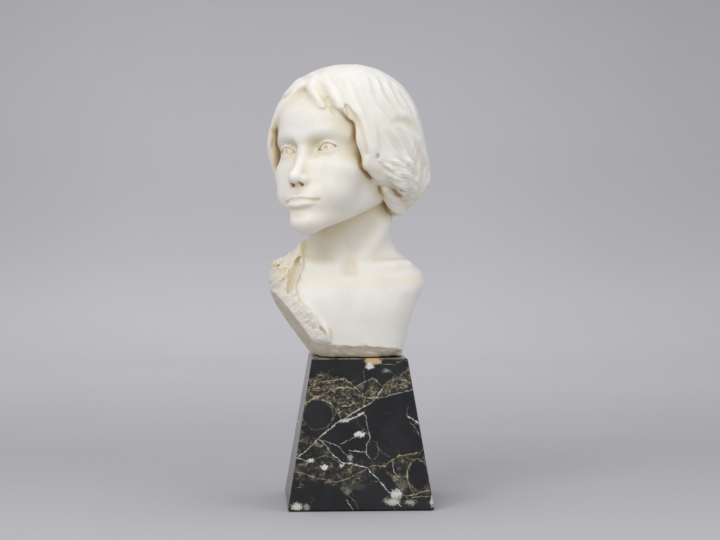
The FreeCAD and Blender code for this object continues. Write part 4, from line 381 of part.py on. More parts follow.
269,-274,8867 311,-219,8867 349,-159,8869 380,-94,8866 398,-24,8851 411,47,8845 421,121,8853 419,195,8848 399,264,8822 387,339,8840 356,407,8828 316,468,8814 277,533,8825 222,582,8808 168,633,8812 104,671,8803 37,704,8800 -34,728,8795 -106,742,8790 -180,749,8789 -254,744,8781 -327,735,8784 -398,713,8778 -465,683,8773 -531,655,8789 -587,608,8778 -638,558,8773 -687,511,8787 -728,458,8797 -760,402,8802 -781,344,8797 -799,289,8802 -815,239,8816 -824,189,8825 -827,141,8828 -826,96,8831 -822,55,8833 -817,16,8838 -809,-21,8840 -800,-55,8845 -789,-88,8848 -776,-118,8849 -762,-146,8850 -748,-173,8851 -733,-199,8854 -718,-223,8857 -701,-245,8859 -684,-268,8862 -666,-288,8861 -647,-307,8861 -629,-327,8867 -609,-345,8871 -589,-362,8876 -569,-379,8881 -546,-394,8882 -523,-408,8884 -499,-422,8884 -474,-434,8885 -448,-446,8884 -421,-456,8883 -393,-465,8883 -364,-474,8885 -333,-481,8885 -301,-486,8884 -267,-492,8889 -232,-494,8890 -194,-495,8893 -155,-493,8893 -113,-489,8896 -69,-481,8894 -23,-468,8890 25,-451,8889 75,-429,8887 125,-400,8884 175,-365,8878 223,-323,8873
178,-194,8908 212,-149,8902 239,-100,8894 267,-48,8905 285,8,8902 293,66,8887 295,124,8877 296,184,8886 289,245,8888 267,298,8867 247,355,8874 218,408,8871 180,454,8862 141,500,8865 94,536,8857 44,570,8857 -11,595,8853 -67,615,8849 -126,627,8846 -185,632,8842 -245,630,8841 -304,620,8837 -361,604,8834 -417,584,8840 -467,551,8829 -514,519,8833 -559,485,8844 -597,443,8848 -627,397,8845 -651,350,8840 -671,306,8846 -688,263,8856 -699,221,8863 -705,180,8866 -707,142,8870 -707,106,8873 -705,72,8878 -700,40,8879 -694,11,8882 -685,-17,8881 -676,-43,8881 -666,-68,8883 -656,-91,8885 -645,-113,8887 -633,-133,8890 -620,-153,8892 -607,-172,8892 -592,-189,8891 -578,-206,8894 -564,-222,8898 -548,-237,8901 -533,-252,8905 -516,-266,8908 -499,-278,8908 -481,-291,8911 -462,-302,8911 -443,-313,8911 -423,-323,8912 -402,-332,8912 -380,-341,8914 -357,-349,8914 -333,-355,8913 -309,-360,8912 -283,-365,8913 -255,-368,8908 -227,-370,8911 -197,-371,8912 -165,-370,8920 -131,-367,8921 -96,-360,8923 -58,-350,8921 -19,-337,8920 21,-319,8920 62,-296,8917 102,-267,8914 141,-233,8910
84,-113,8932 110,-79,8931 131,-42,8926 147,-2,8918 163,40,8927 173,85,8931 176,129,8925 171,173,8912 164,217,8911 154,262,8917 134,302,8907 112,341,8906 86,378,8906 54,410,8902 20,439,8900 -19,463,8896 -59,483,8894 -102,498,8892 -146,507,8889 -191,511,8888 -236,509,8885 -280,503,8885 -324,492,8884 -365,473,8879 -404,455,8885 -441,429,8885 -472,398,8881 -500,366,8879 -524,333,8882 -545,301,8892 -561,267,8897 -572,234,8901 -579,201,8903 -584,170,8906 -585,141,8906 -585,114,8906 -582,88,8905 -578,64,8905 -573,41,8905 -567,21,8907 -561,1,8909 -554,-18,8910 -546,-35,8911 -537,-51,8912 -528,-67,8913 -518,-82,8913 -508,-96,8915 -499,-109,8920 -488,-122,8923 -477,-134,8925 -465,-145,8927 -453,-156,8928 -440,-167,8928 -427,-176,8929 -413,-186,8929 -399,-194,8928 -385,-202,8931 -370,-210,8932 -354,-217,8933 -338,-224,8934 -320,-229,8932 -303,-235,8933 -284,-239,8931 -264,-242,8931 -244,-245,8931 -222,-246,8930 -199,-247,8933 -175,-245,8931 -150,-243,8934 -123,-238,8934 -95,-230,8936 -66,-220,8938 -35,-207,8942 -4,-190,8941 27,-168,8939 56,-143,8935
-12,-31,8951 5,-8,8947 20,17,8946 32,43,8944 39,71,8935 44,100,8934 47,131,8937 47,161,8942 42,191,8939 32,219,8932 21,247,8936 6,273,8933 -12,297,8930 -33,319,8930 -56,338,8927 -81,355,8928 -108,368,8928 -137,377,8923 -166,384,8924 -196,387,8921 -226,386,8920 -256,382,8918 -285,374,8917 -313,364,8919 -339,348,8916 -363,331,8916 -385,313,8920 -405,293,8924 -421,270,8925 -433,246,8922 -443,223,8922 -451,200,8921 -455,178,8920 -458,157,8919 -459,138,8920 -459,120,8920 -458,103,8923 -456,87,8924 -453,72,8927 -449,58,8928 -445,45,8928 -440,32,8930 -435,21,8931 -429,10,8933 -423,-1,8936 -417,-11,8939 -411,-20,8942 -404,-29,8942 -396,-37,8943 -389,-46,8943 -380,-53,8942 -372,-61,8941 -364,-68,8942 -355,-74,8941 -346,-80,8942 -336,-86,8945 -327,-92,8946 -316,-97,8945 -306,-102,8946 -295,-106,8945 -283,-110,8944 -271,-113,8943 -259,-116,8943 -246,-118,8942 -232,-120,8942 -217,-121,8945 -202,-121,8946 -186,-121,8948 -169,-118,8945 -151,-115,8944 -132,-110,8944 -113,-103,8945 -92,-94,8947 -71,-82,8951 -51,-68,8953 -30,-51,8953
-109,51,8955 -101,63,8958 -93,75,8958 -88,89,8957 -82,103,8960 -80,118,8958 -79,133,8953 -81,147,8947 -84,162,8948 -87,177,8952 -94,190,8948 -101,203,8948 -110,216,8949 -120,226,8948 -132,236,8949 -145,244,8946 -158,249,8937 -172,255,8941 -187,258,8942 -202,260,8944 -217,260,8944 -232,258,8943 -246,254,8942 -260,248,8939 -273,242,8940 -286,233,8940 -296,223,8937 -305,211,8934 -313,200,8934 -320,189,8937 -326,178,8938 -329,167,8939 -332,156,8941 -334,146,8944 -335,136,8946 -335,127,8947 -334,119,8947 -333,111,8948 -331,103,8948 -329,96,8949 -327,89,8951 -325,83,8952 -322,77,8953 -319,72,8954 -316,66,8953 -313,61,8952 -309,57,8950 -306,52,8950 -302,47,8950 -298,43,8949 -294,39,8949 -290,36,8949 -286,32,8948 -282,29,8950 -277,26,8951 -272,23,8951 -267,20,8951 -262,17,8953 -257,15,8952 -251,13,8952 -246,11,8952 -240,9,8952 -233,8,8951 -227,6,8951 -220,5,8949 -212,5,8947 -205,5,8947 -197,5,8947 -188,6,8950 -179,8,8949 -170,10,8950 -160,14,8950 -150,19,8951 -139,25,8950 -129,32,8951 -119,41,8954
-175,105,8947 -172,109,8947 -170,113,8947 -168,117,8948 -167,122,8946 -166,127,8948 -165,132,8950 -165,137,8952 -166,142,8951 -168,146,8947 -169,152,8950 -172,156,8949 -175,159,8947 -179,163,8947 -183,166,8944 -187,168,8942 -191,171,8944 -196,172,8944 -201,174,8945 -206,174,8945 -211,174,8946 -215,174,8947 -220,173,8948 -225,171,8950 -229,169,8949 -233,166,8950 -237,163,8951 -241,160,8953 -243,156,8954 -245,152,8952 -247,148,8952 -248,144,8952 -249,141,8951 -249,137,8950 -250,134,8950 -250,131,8949 -249,128,8950 -249,125,8950 -249,123,8950 -248,120,8950 -247,118,8949 -246,116,8949 -246,114,8948 -245,112,8947 -244,110,8947 -243,108,8947 -242,107,8948 -240,105,8947 -239,104,8947 -238,102,8947 -236,101,8947 -235,100,8947 -234,98,8947 -232,97,8947 -231,96,8947 -229,95,8948 -227,94,8948 -226,94,8948 -224,93,8949 -222,92,8949 -220,92,8949 -218,91,8950 -216,91,8950 -214,90,8950 -212,90,8950 -209,90,8951 -207,90,8950 -204,90,8950 -201,90,8948 -198,91,8949 -195,91,8947 -192,93,8947 -188,94,8947 -185,96,8947 -181,98,8948 -178,101,8947
-207,132,8946 -207,132,8946 -207,132,8946 -207,132,8946 -207,132,8946 -207,132,8946 -207,132,8946 -207,132,8946 -207,132,8946 -207,132,8946 -207,132,8946 -207,132,8946 -207,132,8946 -207,132,8946 -207,132,8946 -207,132,8946 -207,132,8946 -207,132,8946 -207,132,8946 -207,132,8946 -207,132,8946 -207,132,8946 -207,132,8946 -207,132,8946 -207,132,8946 -207,132,8946 -207,132,8946 -207,132,8946 -207,132,8946 -207,132,8946 -207,132,8946 -207,132,8946 -207,132,8946 -207,132,8946 -207,132,8946 -207,132,8946 -207,132,8946 -207,132,8946 -207,132,8946 -207,132,8946 -207,132,8946 -207,132,8946 -207,132,8946 -207,132,8946 -207,132,8946 -207,132,8946 -207,132,8946 -207,132,8946 -207,132,8946 -207,132,8946 -207,132,8946 -207,132,8946 -207,132,8946 -207,132,8946 -207,132,8946 -207,132,8946 -207,132,8946 -207,132,8946 -207,132,8946 -207,132,8946 -207,132,8946 -207,132,8946 -207,132,8946 -207,132,8946 -207,132,8946 -207,132,8946 -207,132,8946 -207,132,8946 -207,132,8946 -207,132,8946 -207,132,8946 -207,132,8946 -207,132,8946 -207,132,8946 -207,132,8946 -207,132,8946
"""
TORSO_NET = """
929,24,3020 925,150,3020 914,273,3020 887,397,3020 843,516,3020 776,624,3020 687,715,3020 582,784,3020 468,832,3020 352,862,3020 239,880,3020 130,890,3020 23,896,3020 -83,903,3020 -193,907,3020 -309,906,3020 -430,895,3020 -553,865,3020 -674,815,3020 -777,733,3020 -872,643,3020 -986,547,3020 -933,378,3020 -926,256,3020 -901,131,3020 -884,21,3020 -875,-93,3020 -849,-203,3020 -830,-319,3020 -819,-452,3020 -798,-598,3020 -766,-772,3020 -594,-789,3020 -473,-840,3020 -331,-846,3020 -207,-865,3020 -83,-869,3020 45,-894,3020 167,-869,3020 313,-893,3020 427,-826,3020 578,-809,3020 663,-691,3020 759,-601,3020 916,-540,3020 894,-358,3020 921,-235,3020 919,-97,3020
936,23,3072 935,149,3072 921,275,3072 894,400,3072 848,520,3072 779,630,3072 689,721,3072 582,791,3072 467,839,3072 350,870,3072 236,888,3072 125,898,3072 17,905,3072 -91,912,3072 -203,916,3072 -319,914,3072 -442,902,3072 -566,872,3072 -688,820,3072 -793,740,3072 -895,652,3072 -988,543,3072 -974,389,3072 -948,255,3072 -932,133,3072 -914,16,3072 -892,-96,3072 -883,-214,3072 -865,-334,3072 -852,-474,3072 -808,-602,3072 -783,-784,3072 -631,-834,3072 -492,-868,3072 -349,-878,3072 -217,-878,3072 -90,-894,3072 37,-908,3072 172,-917,3072 301,-888,3072 445,-878,3072 582,-829,3072 694,-736,3072 784,-630,3072 905,-538,3072 913,-375,3072 922,-237,3072 938,-106,3072
962,17,3176 960,148,3176 947,280,3176 918,410,3176 870,535,3176 798,648,3176 703,743,3176 592,815,3176 472,864,3176 351,896,3176 232,915,3176 117,926,3176 5,933,3176 -107,940,3176 -223,945,3176 -345,945,3176 -473,935,3176 -606,907,3176 -735,857,3176 -854,777,3176 -946,674,3176 -1074,576,3176 -1048,406,3176 -1029,265,3176 -1007,133,3176 -993,8,3176 -968,-112,3176 -955,-237,3176 -934,-365,3176 -901,-500,3176 -896,-668,3176 -856,-858,3176 -685,-899,3176 -550,-957,3176 -403,-1006,3176 -254,-999,3176 -112,-1042,3176 33,-1033,3176 184,-1053,3176 340,-1047,3176 510,-1038,3176 665,-975,3176 795,-870,3176 879,-721,3176 918,-556,3176 942,-401,3176 947,-252,3176 959,-116,3176
996,8,3331 994,147,3331 981,286,3331 952,424,3331 901,556,3331 824,675,3331 724,775,3331 606,851,3331 480,904,3331 352,938,3331 227,959,3331 105,971,3331 -13,979,3331 -132,987,3331 -255,993,3331 -385,994,3331 -523,986,3331 -668,962,3331 -810,912,3331 -947,833,3331 -1048,721,3331 -1179,611,3331 -1172,434,3331 -1139,276,3331 -1122,133,3331 -1096,-3,3331 -1082,-136,3331 -1058,-271,3331 -1035,-410,3331 -1019,-570,3331 -986,-736,3331 -971,-963,3331 -831,-1093,3331 -626,-1090,3331 -450,-1084,3331 -297,-1119,3331 -137,-1108,3331 16,-1124,3331 177,-1125,3331 339,-1109,3331 500,-1064,3331 652,-993,3331 784,-887,3331 881,-748,3331 942,-592,3331 970,-430,3331 983,-277,3331 991,-132,3331
1025,1,3487 1023,146,3487 1009,291,3487 976,435,3487 920,571,3487 838,694,3487 732,796,3487 609,873,3487 479,928,3487 347,964,3487 218,987,3487 92,1001,3487 -31,1010,3487 -155,1017,3487 -282,1024,3487 -418,1027,3487 -562,1021,3487 -717,1000,3487 -868,952,3487 -1024,878,3487 -1130,758,3487 -1271,642,3487 -1294,465,3487 -1252,288,3487 -1237,135,3487 -1209,-15,3487 -1188,-158,3487 -1166,-307,3487 -1144,-458,3487 -1120,-631,3487 -1085,-807,3487 -1065,-1059,3487 -874,-1129,3487 -687,-1180,3487 -469,-1095,3487 -316,-1114,3487 -158,-1126,3487 -3,-1132,3487 157,-1129,3487 321,-1119,3487 489,-1089,3487 652,-1027,3487 794,-926,3487 901,-788,3487 965,-625,3487 997,-457,3487 1010,-297,3487 1019,-146,3487
1060,-9,3643 1057,144,3643 1040,296,3643 1003,446,3643 941,587,3643 852,713,3643 739,816,3643 611,895,3643 476,951,3643 339,989,3643 206,1013,3643 76,1028,3643 -52,1038,3643 -180,1046,3643 -312,1053,3643 -453,1057,3643 -602,1051,3643 -764,1031,3643 -924,984,3643 -1089,910,3643 -1212,790,3643 -1353,666,3643 -1422,494,3643 -1361,297,3643 -1349,134,3643 -1320,-27,3643 -1302,-183,3643 -1273,-340,3643 -1253,-510,3643 -1217,-683,3643 -1209,-906,3643 -1118,-1105,3643 -883,-1120,3643 -719,-1195,3643 -497,-1124,3643 -346,-1152,3643 -179,-1141,3643 -25,-1171,3643 141,-1165,3643 308,-1154,3643 478,-1117,3643 643,-1055,3643 793,-957,3643 910,-823,3643 988,-662,3643 1029,-490,3643 1045,-322,3643 1054,-163,3643
1107,-16,3798 1103,146,3798 1083,306,3798 1041,462,3798 971,608,3798 874,737,3798 753,842,3798 618,921,3798 477,977,3798 336,1015,3798 198,1040,3798 64,1056,3798 -68,1066,3798 -200,1074,3798 -336,1081,3798 -481,1085,3798 -636,1079,3798 -803,1059,3798 -972,1013,3798 -1142,939,3798 -1282,820,3798 -1411,684,3798 -1532,524,3798 -1480,313,3798 -1467,137,3798 -1425,-36,3798 -1408,-205,3798 -1375,-370,3798 -1360,-560,3798 -1312,-733,3798 -1313,-994,3798 -1124,-1094,3798 -935,-1176,3798 -711,-1152,3798 -529,-1153,3798 -362,-1164,3798 -200,-1150,3798 -41,-1187,3798 127,-1186,3798 296,-1176,3798 472,-1145,3798 645,-1087,3798 804,-994,3798 934,-862,3798 1022,-699,3798 1070,-522,3798 1090,-346,3798 1101,-178,3798
1163,-31,3954 1158,142,3954 1135,313,3954 1087,478,3954 1008,631,3954 900,764,3954 769,871,3954 623,950,3954 474,1006,3954 326,1043,3954 182,1067,3954 43,1082,3954 -93,1092,3954 -230,1101,3954 -372,1108,3954 -521,1110,3954 -681,1103,3954 -850,1080,3954 -1026,1032,3954 -1195,953,3954 -1350,836,3954 -1469,691,3954 -1634,540,3954 -1601,321,3954 -1561,131,3954 -1554,-54,3954 -1518,-230,3954 -1500,-418,3954 -1454,-597,3954 -1449,-824,3954 -1376,-1031,3954 -1180,-1146,3954 -954,-1170,3954 -724,-1135,3954 -570,-1190,3954 -386,-1175,3954 -230,-1167,3954 -68,-1198,3954 101,-1211,3954 274,-1197,3954 452,-1172,3954 632,-1119,3954 804,-1035,3954 950,-910,3954 1057,-751,3954 1119,-569,3954 1144,-383,3954 1155,-204,3954
1221,-26,4110 1217,154,4110 1190,332,4110 1136,504,4110 1049,661,4110 931,795,4110 791,901,4110 639,979,4110 484,1033,4110 332,1069,4110 185,1092,4110 44,1107,4110 -95,1117,4110 -234,1125,4110 -378,1132,4110 -530,1134,4110 -691,1126,4110 -864,1103,4110 -1042,1056,4110 -1218,977,4110 -1374,859,4110 -1505,711,4110 -1638,552,4110 -1738,359,4110 -1696,143,4110 -1642,-51,4110 -1618,-243,4110 -1588,-438,4110 -1559,-640,4110 -1542,-879,4110 -1360,-1017,4110 -1152,-1098,4110 -913,-1098,4110 -747,-1156,4110 -562,-1167,4110 -394,-1174,4110 -229,-1150,4110 -72,-1189,4110 99,-1203,4110 272,-1194,4110 453,-1172,4110 637,-1124,4110 815,-1044,4110 972,-925,4110 1091,-768,4110 1164,-585,4110 1200,-395,4110 1213,-208,4110
1300,-19,4265 1294,171,4265 1264,358,4265 1201,537,4265 1103,699,4265 972,833,4265 821,937,4265 660,1012,4265 499,1063,4265 343,1097,4265 193,1119,4265 49,1133,4265 -91,1142,4265 -232,1151,4265 -377,1157,4265 -530,1157,4265 -694,1148,4265 -866,1123,4265 -1046,1075,4265 -1221,995,4265 -1382,878,4265 -1511,730,4265 -1666,572,4265 -1722,370,4265 -1784,165,4265 -1800,-50,4265 -1759,-264,4265 -1720,-469,4265 -1708,-711,4265 -1550,-877,4265 -1390,-1038,4265 -1085,-1017,4265 -930,-1106,4265 -728,-1124,4265 -563,-1155,4265 -388,-1156,4265 -229,-1149,4265 -68,-1177,4265 101,-1188,4265 274,-1180,4265 457,-1161,4265 647,-1124,4265 838,-1056,4265 1013,-947,4265 1150,-794,4265 1241,-610,4265 1278,-408,4265 1290,-210,4265
1369,-14,4421 1364,185,4421 1328,381,4421 1256,566,4421 1145,730,4421 1002,863,4421 839,964,4421 671,1035,4421 505,1083,4421 346,1115,4421 194,1135,4421 49,1148,4421 -92,1157,4421 -234,1165,4421 -379,1169,4421 -532,1168,4421 -695,1157,4421 -865,1129,4421 -1045,1080,4421 -1216,1000,4421 -1384,886,4421 -1500,733,4421 -1640,572,4421 -1728,381,4421 -1743,169,4421 -1762,-35,4421 -1788,-257,4421 -1753,-476,4421 -1617,-658,4421 -1485,-825,4421 -1252,-904,4421 -1095,-1007,4421 -890,-1046,4421 -723,-1091,4421 -548,-1108,4421 -385,-1117,4421 -226,-1100,4421 -73,-1131,4421 93,-1148,4421 264,-1145,4421 446,-1133,4421 633,-1096,4421 823,-1032,4421 1005,-934,4421 1163,-796,4421 1271,-617,4421 1338,-420,4421 1361,-215,4421
1383,-5,4577 1376,197,4577 1339,394,4577 1262,579,4577 1146,740,4577 999,871,4577 835,969,4577 666,1038,4577 501,1084,4577 343,1115,4577 193,1135,4577 50,1148,4577 -90,1158,4577 -231,1166,4577 -375,1171,4577 -527,1170,4577 -689,1160,4577 -859,1135,4577 -1040,1089,4577 -1215,1012,4577 -1388,902,4577 -1512,750,4577 -1666,593,4577 -1759,398,4577 -1820,186,4577 -1822,-29,4577 -1808,-258,4577 -1720,-447,4577 -1693,-695,4577 -1379,-744,4577 -1289,-924,4577 -1061,-968,4577 -865,-997,4577 -696,-1031,4577 -530,-1048,4577 -378,-1070,4577 -225,-1099,4577 -70,-1096,4577 85,-1084,4577 248,-1082,4577 420,-1068,4577 611,-1051,4577 812,-1008,4577 1010,-926,4577 1177,-794,4577 1306,-622,4577 1356,-414,4577 1370,-206,4577
1338,8,4732 1335,203,4732 1291,394,4732 1209,571,4732 1088,722,4732 942,843,4732 784,935,4732 624,1001,4732 468,1047,4732 319,1078,4732 177,1100,4732 39,1113,4732 -95,1122,4732 -229,1130,4732 -368,1135,4732 -513,1134,4732 -668,1125,4732 -834,1104,4732 -1009,1063,4732 -1190,997,4732 -1361,895,4732 -1516,761,4732 -1656,598,4732 -1743,404,4732 -1768,190,4732 -1784,-15,4732 -1750,-238,4732 -1694,-423,4732 -1669,-677,4732 -1260,-659,4732 -1138,-778,4732 -946,-821,4732 -789,-866,4732 -641,-906,4732 -492,-916,4732 -346,-911,4732 -209,-823,4732 -91,-892,4732 57,-951,4732 203,-947,4732 363,-946,4732 514,-896,4732 673,-841,4732 836,-769,4732 1013,-677,4732 1145,-538,4732 1278,-383,4732 1334,-190,4732
1150,29,4888 1129,200,4888 1089,362,4888 1009,511,4888 909,639,4888 791,747,4888 665,833,4888 535,901,4888 406,953,4888 279,993,4888 153,1022,4888 30,1042,4888 -94,1056,4888 -218,1065,4888 -347,1070,4888 -481,1068,4888 -625,1058,4888 -774,1034,4888 -936,995,4888 -1095,931,4888 -1268,846,4888 -1398,718,4888 -1620,603,4888 -1762,418,4888 -1806,207,4888 -1800,-14,4888 -1726,-216,4888 -1631,-411,4888 -1430,-540,4888 -1231,-629,4888 -1152,-782,4888 -897,-770,4888 -784,-849,4888 -599,-833,4888 -474,-860,4888 -325,-832,4888 -202,-759,4888 -89,-818,4888 52,-893,4888 189,-878,4888 347,-896,4888 508,-871,4888 689,-848,4888 863,-770,4888 965,-634,4888 1142,-521,4888 1119,-311,4888 1116,-138,4888
945,51,5043 937,193,5043 902,331,5043 847,459,5043 772,574,5043 683,675,5043 583,761,5043 477,832,5043 367,889,5043 255,934,5043 141,968,5043 26,992,5043 -89,1007,5043 -206,1014,5043 -325,1013,5043 -448,1001,5043 -572,978,5043 -699,941,5043 -825,887,5043 -949,817,5043 -1061,722,5043 -1171,621,5043 -1357,524,5043 -1412,359,5043 -1423,193,5043 -1470,21,5043 -1424,-148,5043 -1405,-320,5043 -1306,-472,5043 -1079,-528,5043 -890,-553,5043 -749,-589,5043 -635,-632,5043 -538,-697,5043 -430,-750,5043 -306,-747,5043 -192,-722,5043 -83,-742,5043 39,-775,5043 155,-741,5043 251,-669,5043 343,-603,5043 449,-554,5043 569,-505,5043 697,-440,5043 781,-334,5043 868,-223,5043 934,-93,5043
806,71,5199 798,194,5199 775,313,5199 733,427,5199 677,533,5199 608,629,5199 527,714,5199 437,786,5199 341,847,5199 239,895,5199 134,931,5199 26,956,5199 -83,969,5199 -194,973,5199 -305,966,5199 -417,946,5199 -527,914,5199 -636,869,5199 -737,809,5199 -837,736,5199 -917,646,5199 -1023,560,5199 -1102,451,5199 -1176,329,5199 -1253,196,5199 -1256,45,5199 -1293,-105,5199 -1243,-268,5199 -930,-282,5199 -822,-337,5199 -789,-453,5199 -714,-542,5199 -635,-631,5199 -525,-682,5199 -404,-691,5199 -283,-664,5199 -179,-642,5199 -79,-663,5199 34,-706,5199 158,-721,5199 276,-692,5199 376,-625,5199 458,-539,5199 535,-453,5199 615,-369,5199 704,-282,5199 764,-172,5199 793,-52,5199
722,81,5355 717,192,5355 697,302,5355 664,407,5355 617,506,5355 559,598,5355 489,682,5355 410,755,5355 322,817,5355 227,867,5355 127,905,5355 24,931,5355 -82,944,5355 -188,946,5355 -295,935,5355 -400,912,5355 -502,875,5355 -599,825,5355 -690,763,5355 -770,687,5355 -846,605,5355 -925,519,5355 -972,412,5355 -1035,308,5355 -1072,188,5355 -1106,64,5355 -1035,-62,5355 -877,-127,5355 -923,-260,5355 -902,-391,5355 -809,-472,5355 -723,-552,5355 -613,-604,5355 -498,-630,5355 -379,-624,5355 -275,-620,5355 -176,-628,5355 -76,-631,5355 26,-642,5355 142,-662,5355 261,-653,5355 370,-608,5355 463,-536,5355 538,-447,5355 598,-348,5355 640,-242,5355 685,-140,5355 717,-31,5355
706,86,5510 696,195,5510 674,301,5510 638,401,5510 591,496,5510 533,583,5510 464,662,5510 388,731,5510 303,790,5510 213,838,5510 118,875,5510 19,900,5510 -82,912,5510 -184,913,5510 -285,902,5510 -385,878,5510 -482,842,5510 -574,795,5510 -660,735,5510 -740,666,5510 -807,584,5510 -858,490,5510 -909,396,5510 -932,290,5510 -948,185,5510 -937,76,5510 -939,-27,5510 -987,-160,5510 -915,-260,5510 -852,-353,5510 -801,-460,5510 -706,-533,5510 -593,-573,5510 -475,-583,5510 -370,-593,5510 -272,-611,5510 -174,-622,5510 -74,-621,5510 25,-614,5510 129,-615,5510 247,-620,5510 369,-602,5510 480,-551,5510 565,-464,5510 616,-354,5510 652,-242,5510 678,-132,5510 698,-23,5510
699,92,5666 691,199,5666 666,303,5666 631,402,5666 583,495,5666 524,581,5666 457,657,5666 381,725,5666 298,782,5666 209,829,5666 115,864,5666 19,888,5666 -80,900,5666 -180,901,5666 -279,889,5666 -376,865,5666 -471,830,5666 -560,783,5666 -645,726,5666 -721,657,5666 -791,580,5666 -855,495,5666 -901,399,5666 -945,299,5666 -970,191,5666 -992,80,5666 -993,-39,5666 -948,-144,5666 -937,-264,5666 -884,-374,5666 -785,-447,5666 -678,-500,5666 -567,-532,5666 -465,-561,5666 -369,-591,5666 -271,-614,5666 -171,-623,5666 -71,-625,5666 29,-614,5666 128,-595,5666 233,-581,5666 350,-566,5666 463,-525,5666 558,-452,5666 631,-358,5666 675,-248,5666 697,-132,5666 702,-18,5666
711,96,5822 692,203,5822 669,308,5822 631,406,5822 582,498,5822 523,583,5822 455,659,5822 379,725,5822 297,781,5822 208,827,5822 115,862,5822 19,885,5822 -78,896,5822 -177,896,5822 -275,884,5822 -371,860,5822 -464,825,5822 -552,779,5822 -635,722,5822 -711,655,5822 -779,577,5822 -835,491,5822 -884,399,5822 -916,298,5822 -943,195,5822 -972,85,5822 -993,-31,5822 -1000,-158,5822 -939,-265,5822 -853,-351,5822 -759,-422,5822 -656,-473,5822 -561,-520,5822 -468,-566,5822 -370,-599,5822 -270,-619,5822 -169,-631,5822 -68,-632,5822 34,-623,5822 135,-603,5822 234,-570,5822 335,-535,5822 443,-496,5822 549,-439,5822 635,-356,5822 697,-253,5822 727,-137,5822 728,-18,5822
741,100,5977 703,209,5977 671,312,5977 637,412,5977 587,504,5977 529,589,5977 460,665,5977 384,732,5977 301,788,5977 212,834,5977 119,868,5977 22,891,5977 -76,902,5977 -174,901,5977 -272,888,5977 -368,864,5977 -460,828,5977 -548,781,5977 -630,724,5977 -705,656,5977 -773,580,5977 -832,495,5977 -879,402,5977 -918,304,5977 -972,202,5977 -1035,86,5977 -1049,-41,5977 -994,-155,5977 -923,-254,5977 -832,-335,5977 -735,-398,5977 -648,-461,5977 -560,-518,5977 -465,-562,5977 -368,-594,5977 -268,-617,5977 -167,-629,5977 -65,-631,5977 37,-621,5977 139,-601,5977 239,-570,5977 335,-525,5977 431,-474,5977 529,-416,5977 624,-343,5977 701,-251,5977 751,-141,5977 765,-20,5977
796,100,6133 752,218,6133 694,321,6133 649,419,6133 601,514,6133 541,600,6133 473,678,6133 395,746,6133 310,803,6133 220,850,6133 125,884,6133 27,907,6133 -73,918,6133 -172,916,6133 -271,902,6133 -368,876,6133 -461,839,6133 -549,790,6133 -630,731,6133 -705,663,6133 -771,585,6133 -827,498,6133 -874,406,6133 -907,306,6133 -941,204,6133 -986,94,6133 -1008,-28,6133 -977,-145,6133 -888,-234,6133 -798,-308,6133 -724,-385,6133 -644,-454,6133 -554,-509,6133 -461,-553,6133 -364,-587,6133 -265,-610,6133 -164,-622,6133 -63,-624,6133 40,-616,6133 141,-597,6133 242,-566,6133 340,-524,6133 431,-466,6133 519,-399,6133 608,-327,6133 693,-242,6133 761,-140,6133 797,-23,6133
824,104,6289 773,224,6289 708,328,6289 661,427,6289 613,523,6289 553,611,6289 484,690,6289 405,759,6289 319,817,6289 228,864,6289 131,899,6289 32,922,6289 -69,932,6289 -171,929,6289 -270,914,6289 -368,887,6289 -461,848,6289 -548,798,6289 -630,738,6289 -703,668,6289 -768,589,6289 -825,503,6289 -869,409,6289 -904,310,6289 -922,206,6289 -930,100,6289 -923,-8,6289 -890,-110,6289 -846,-208,6289 -789,-298,6289 -717,-376,6289 -635,-442,6289 -547,-497,6289 -455,-541,6289 -359,-575,6289 -261,-598,6289 -161,-611,6289 -60,-614,6289 41,-606,6289 142,-588,6289 243,-558,6289 340,-516,6289 434,-462,6289 519,-392,6289 596,-312,6289 675,-228,6289 755,-133,6289 818,-23,6289
758,112,6444 730,224,6444 698,329,6444 665,432,6444 617,528,6444 557,616,6444 487,695,6444 409,764,6444 322,823,6444 230,869,6444 134,904,6444 34,926,6444 -67,935,6444 -168,932,6444 -268,916,6444 -364,889,6444 -457,849,6444 -543,799,6444 -624,738,6444 -696,668,6444 -760,590,6444 -814,503,6444 -858,411,6444 -890,313,6444 -913,211,6444 -922,105,6444 -911,-1,6444 -885,-105,6444 -837,-201,6444 -775,-286,6444 -704,-362,6444 -624,-429,6444 -538,-483,6444 -447,-526,6444 -353,-560,6444 -256,-583,6444 -158,-596,6444 -59,-599,6444 42,-593,6444 142,-575,6444 241,-546,6444 339,-506,6444 431,-451,6444 519,-386,6444 594,-304,6444 658,-213,6444 722,-116,6444 760,-5,6444
718,117,6548 707,224,6548 686,329,6548 651,429,6548 604,524,6548 546,611,6548 478,689,6548 402,758,6548 318,816,6548 227,862,6548 132,897,6548 34,919,6548 -66,928,6548 -166,925,6548 -264,909,6548 -359,881,6548 -450,841,6548 -535,791,6548 -613,731,6548 -684,662,6548 -745,584,6548 -798,499,6548 -840,408,6548 -871,312,6548 -889,212,6548 -897,110,6548 -886,6,6548 -855,-92,6548 -811,-185,6548 -753,-269,6548 -683,-343,6548 -606,-406,6548 -522,-458,6548 -434,-500,6548 -343,-532,6548 -250,-554,6548 -155,-567,6548 -59,-570,6548 38,-564,6548 135,-547,6548 231,-520,6548 325,-481,6548 416,-430,6548 499,-365,6548 575,-288,6548 636,-198,6548 682,-99,6548 712,7,6548
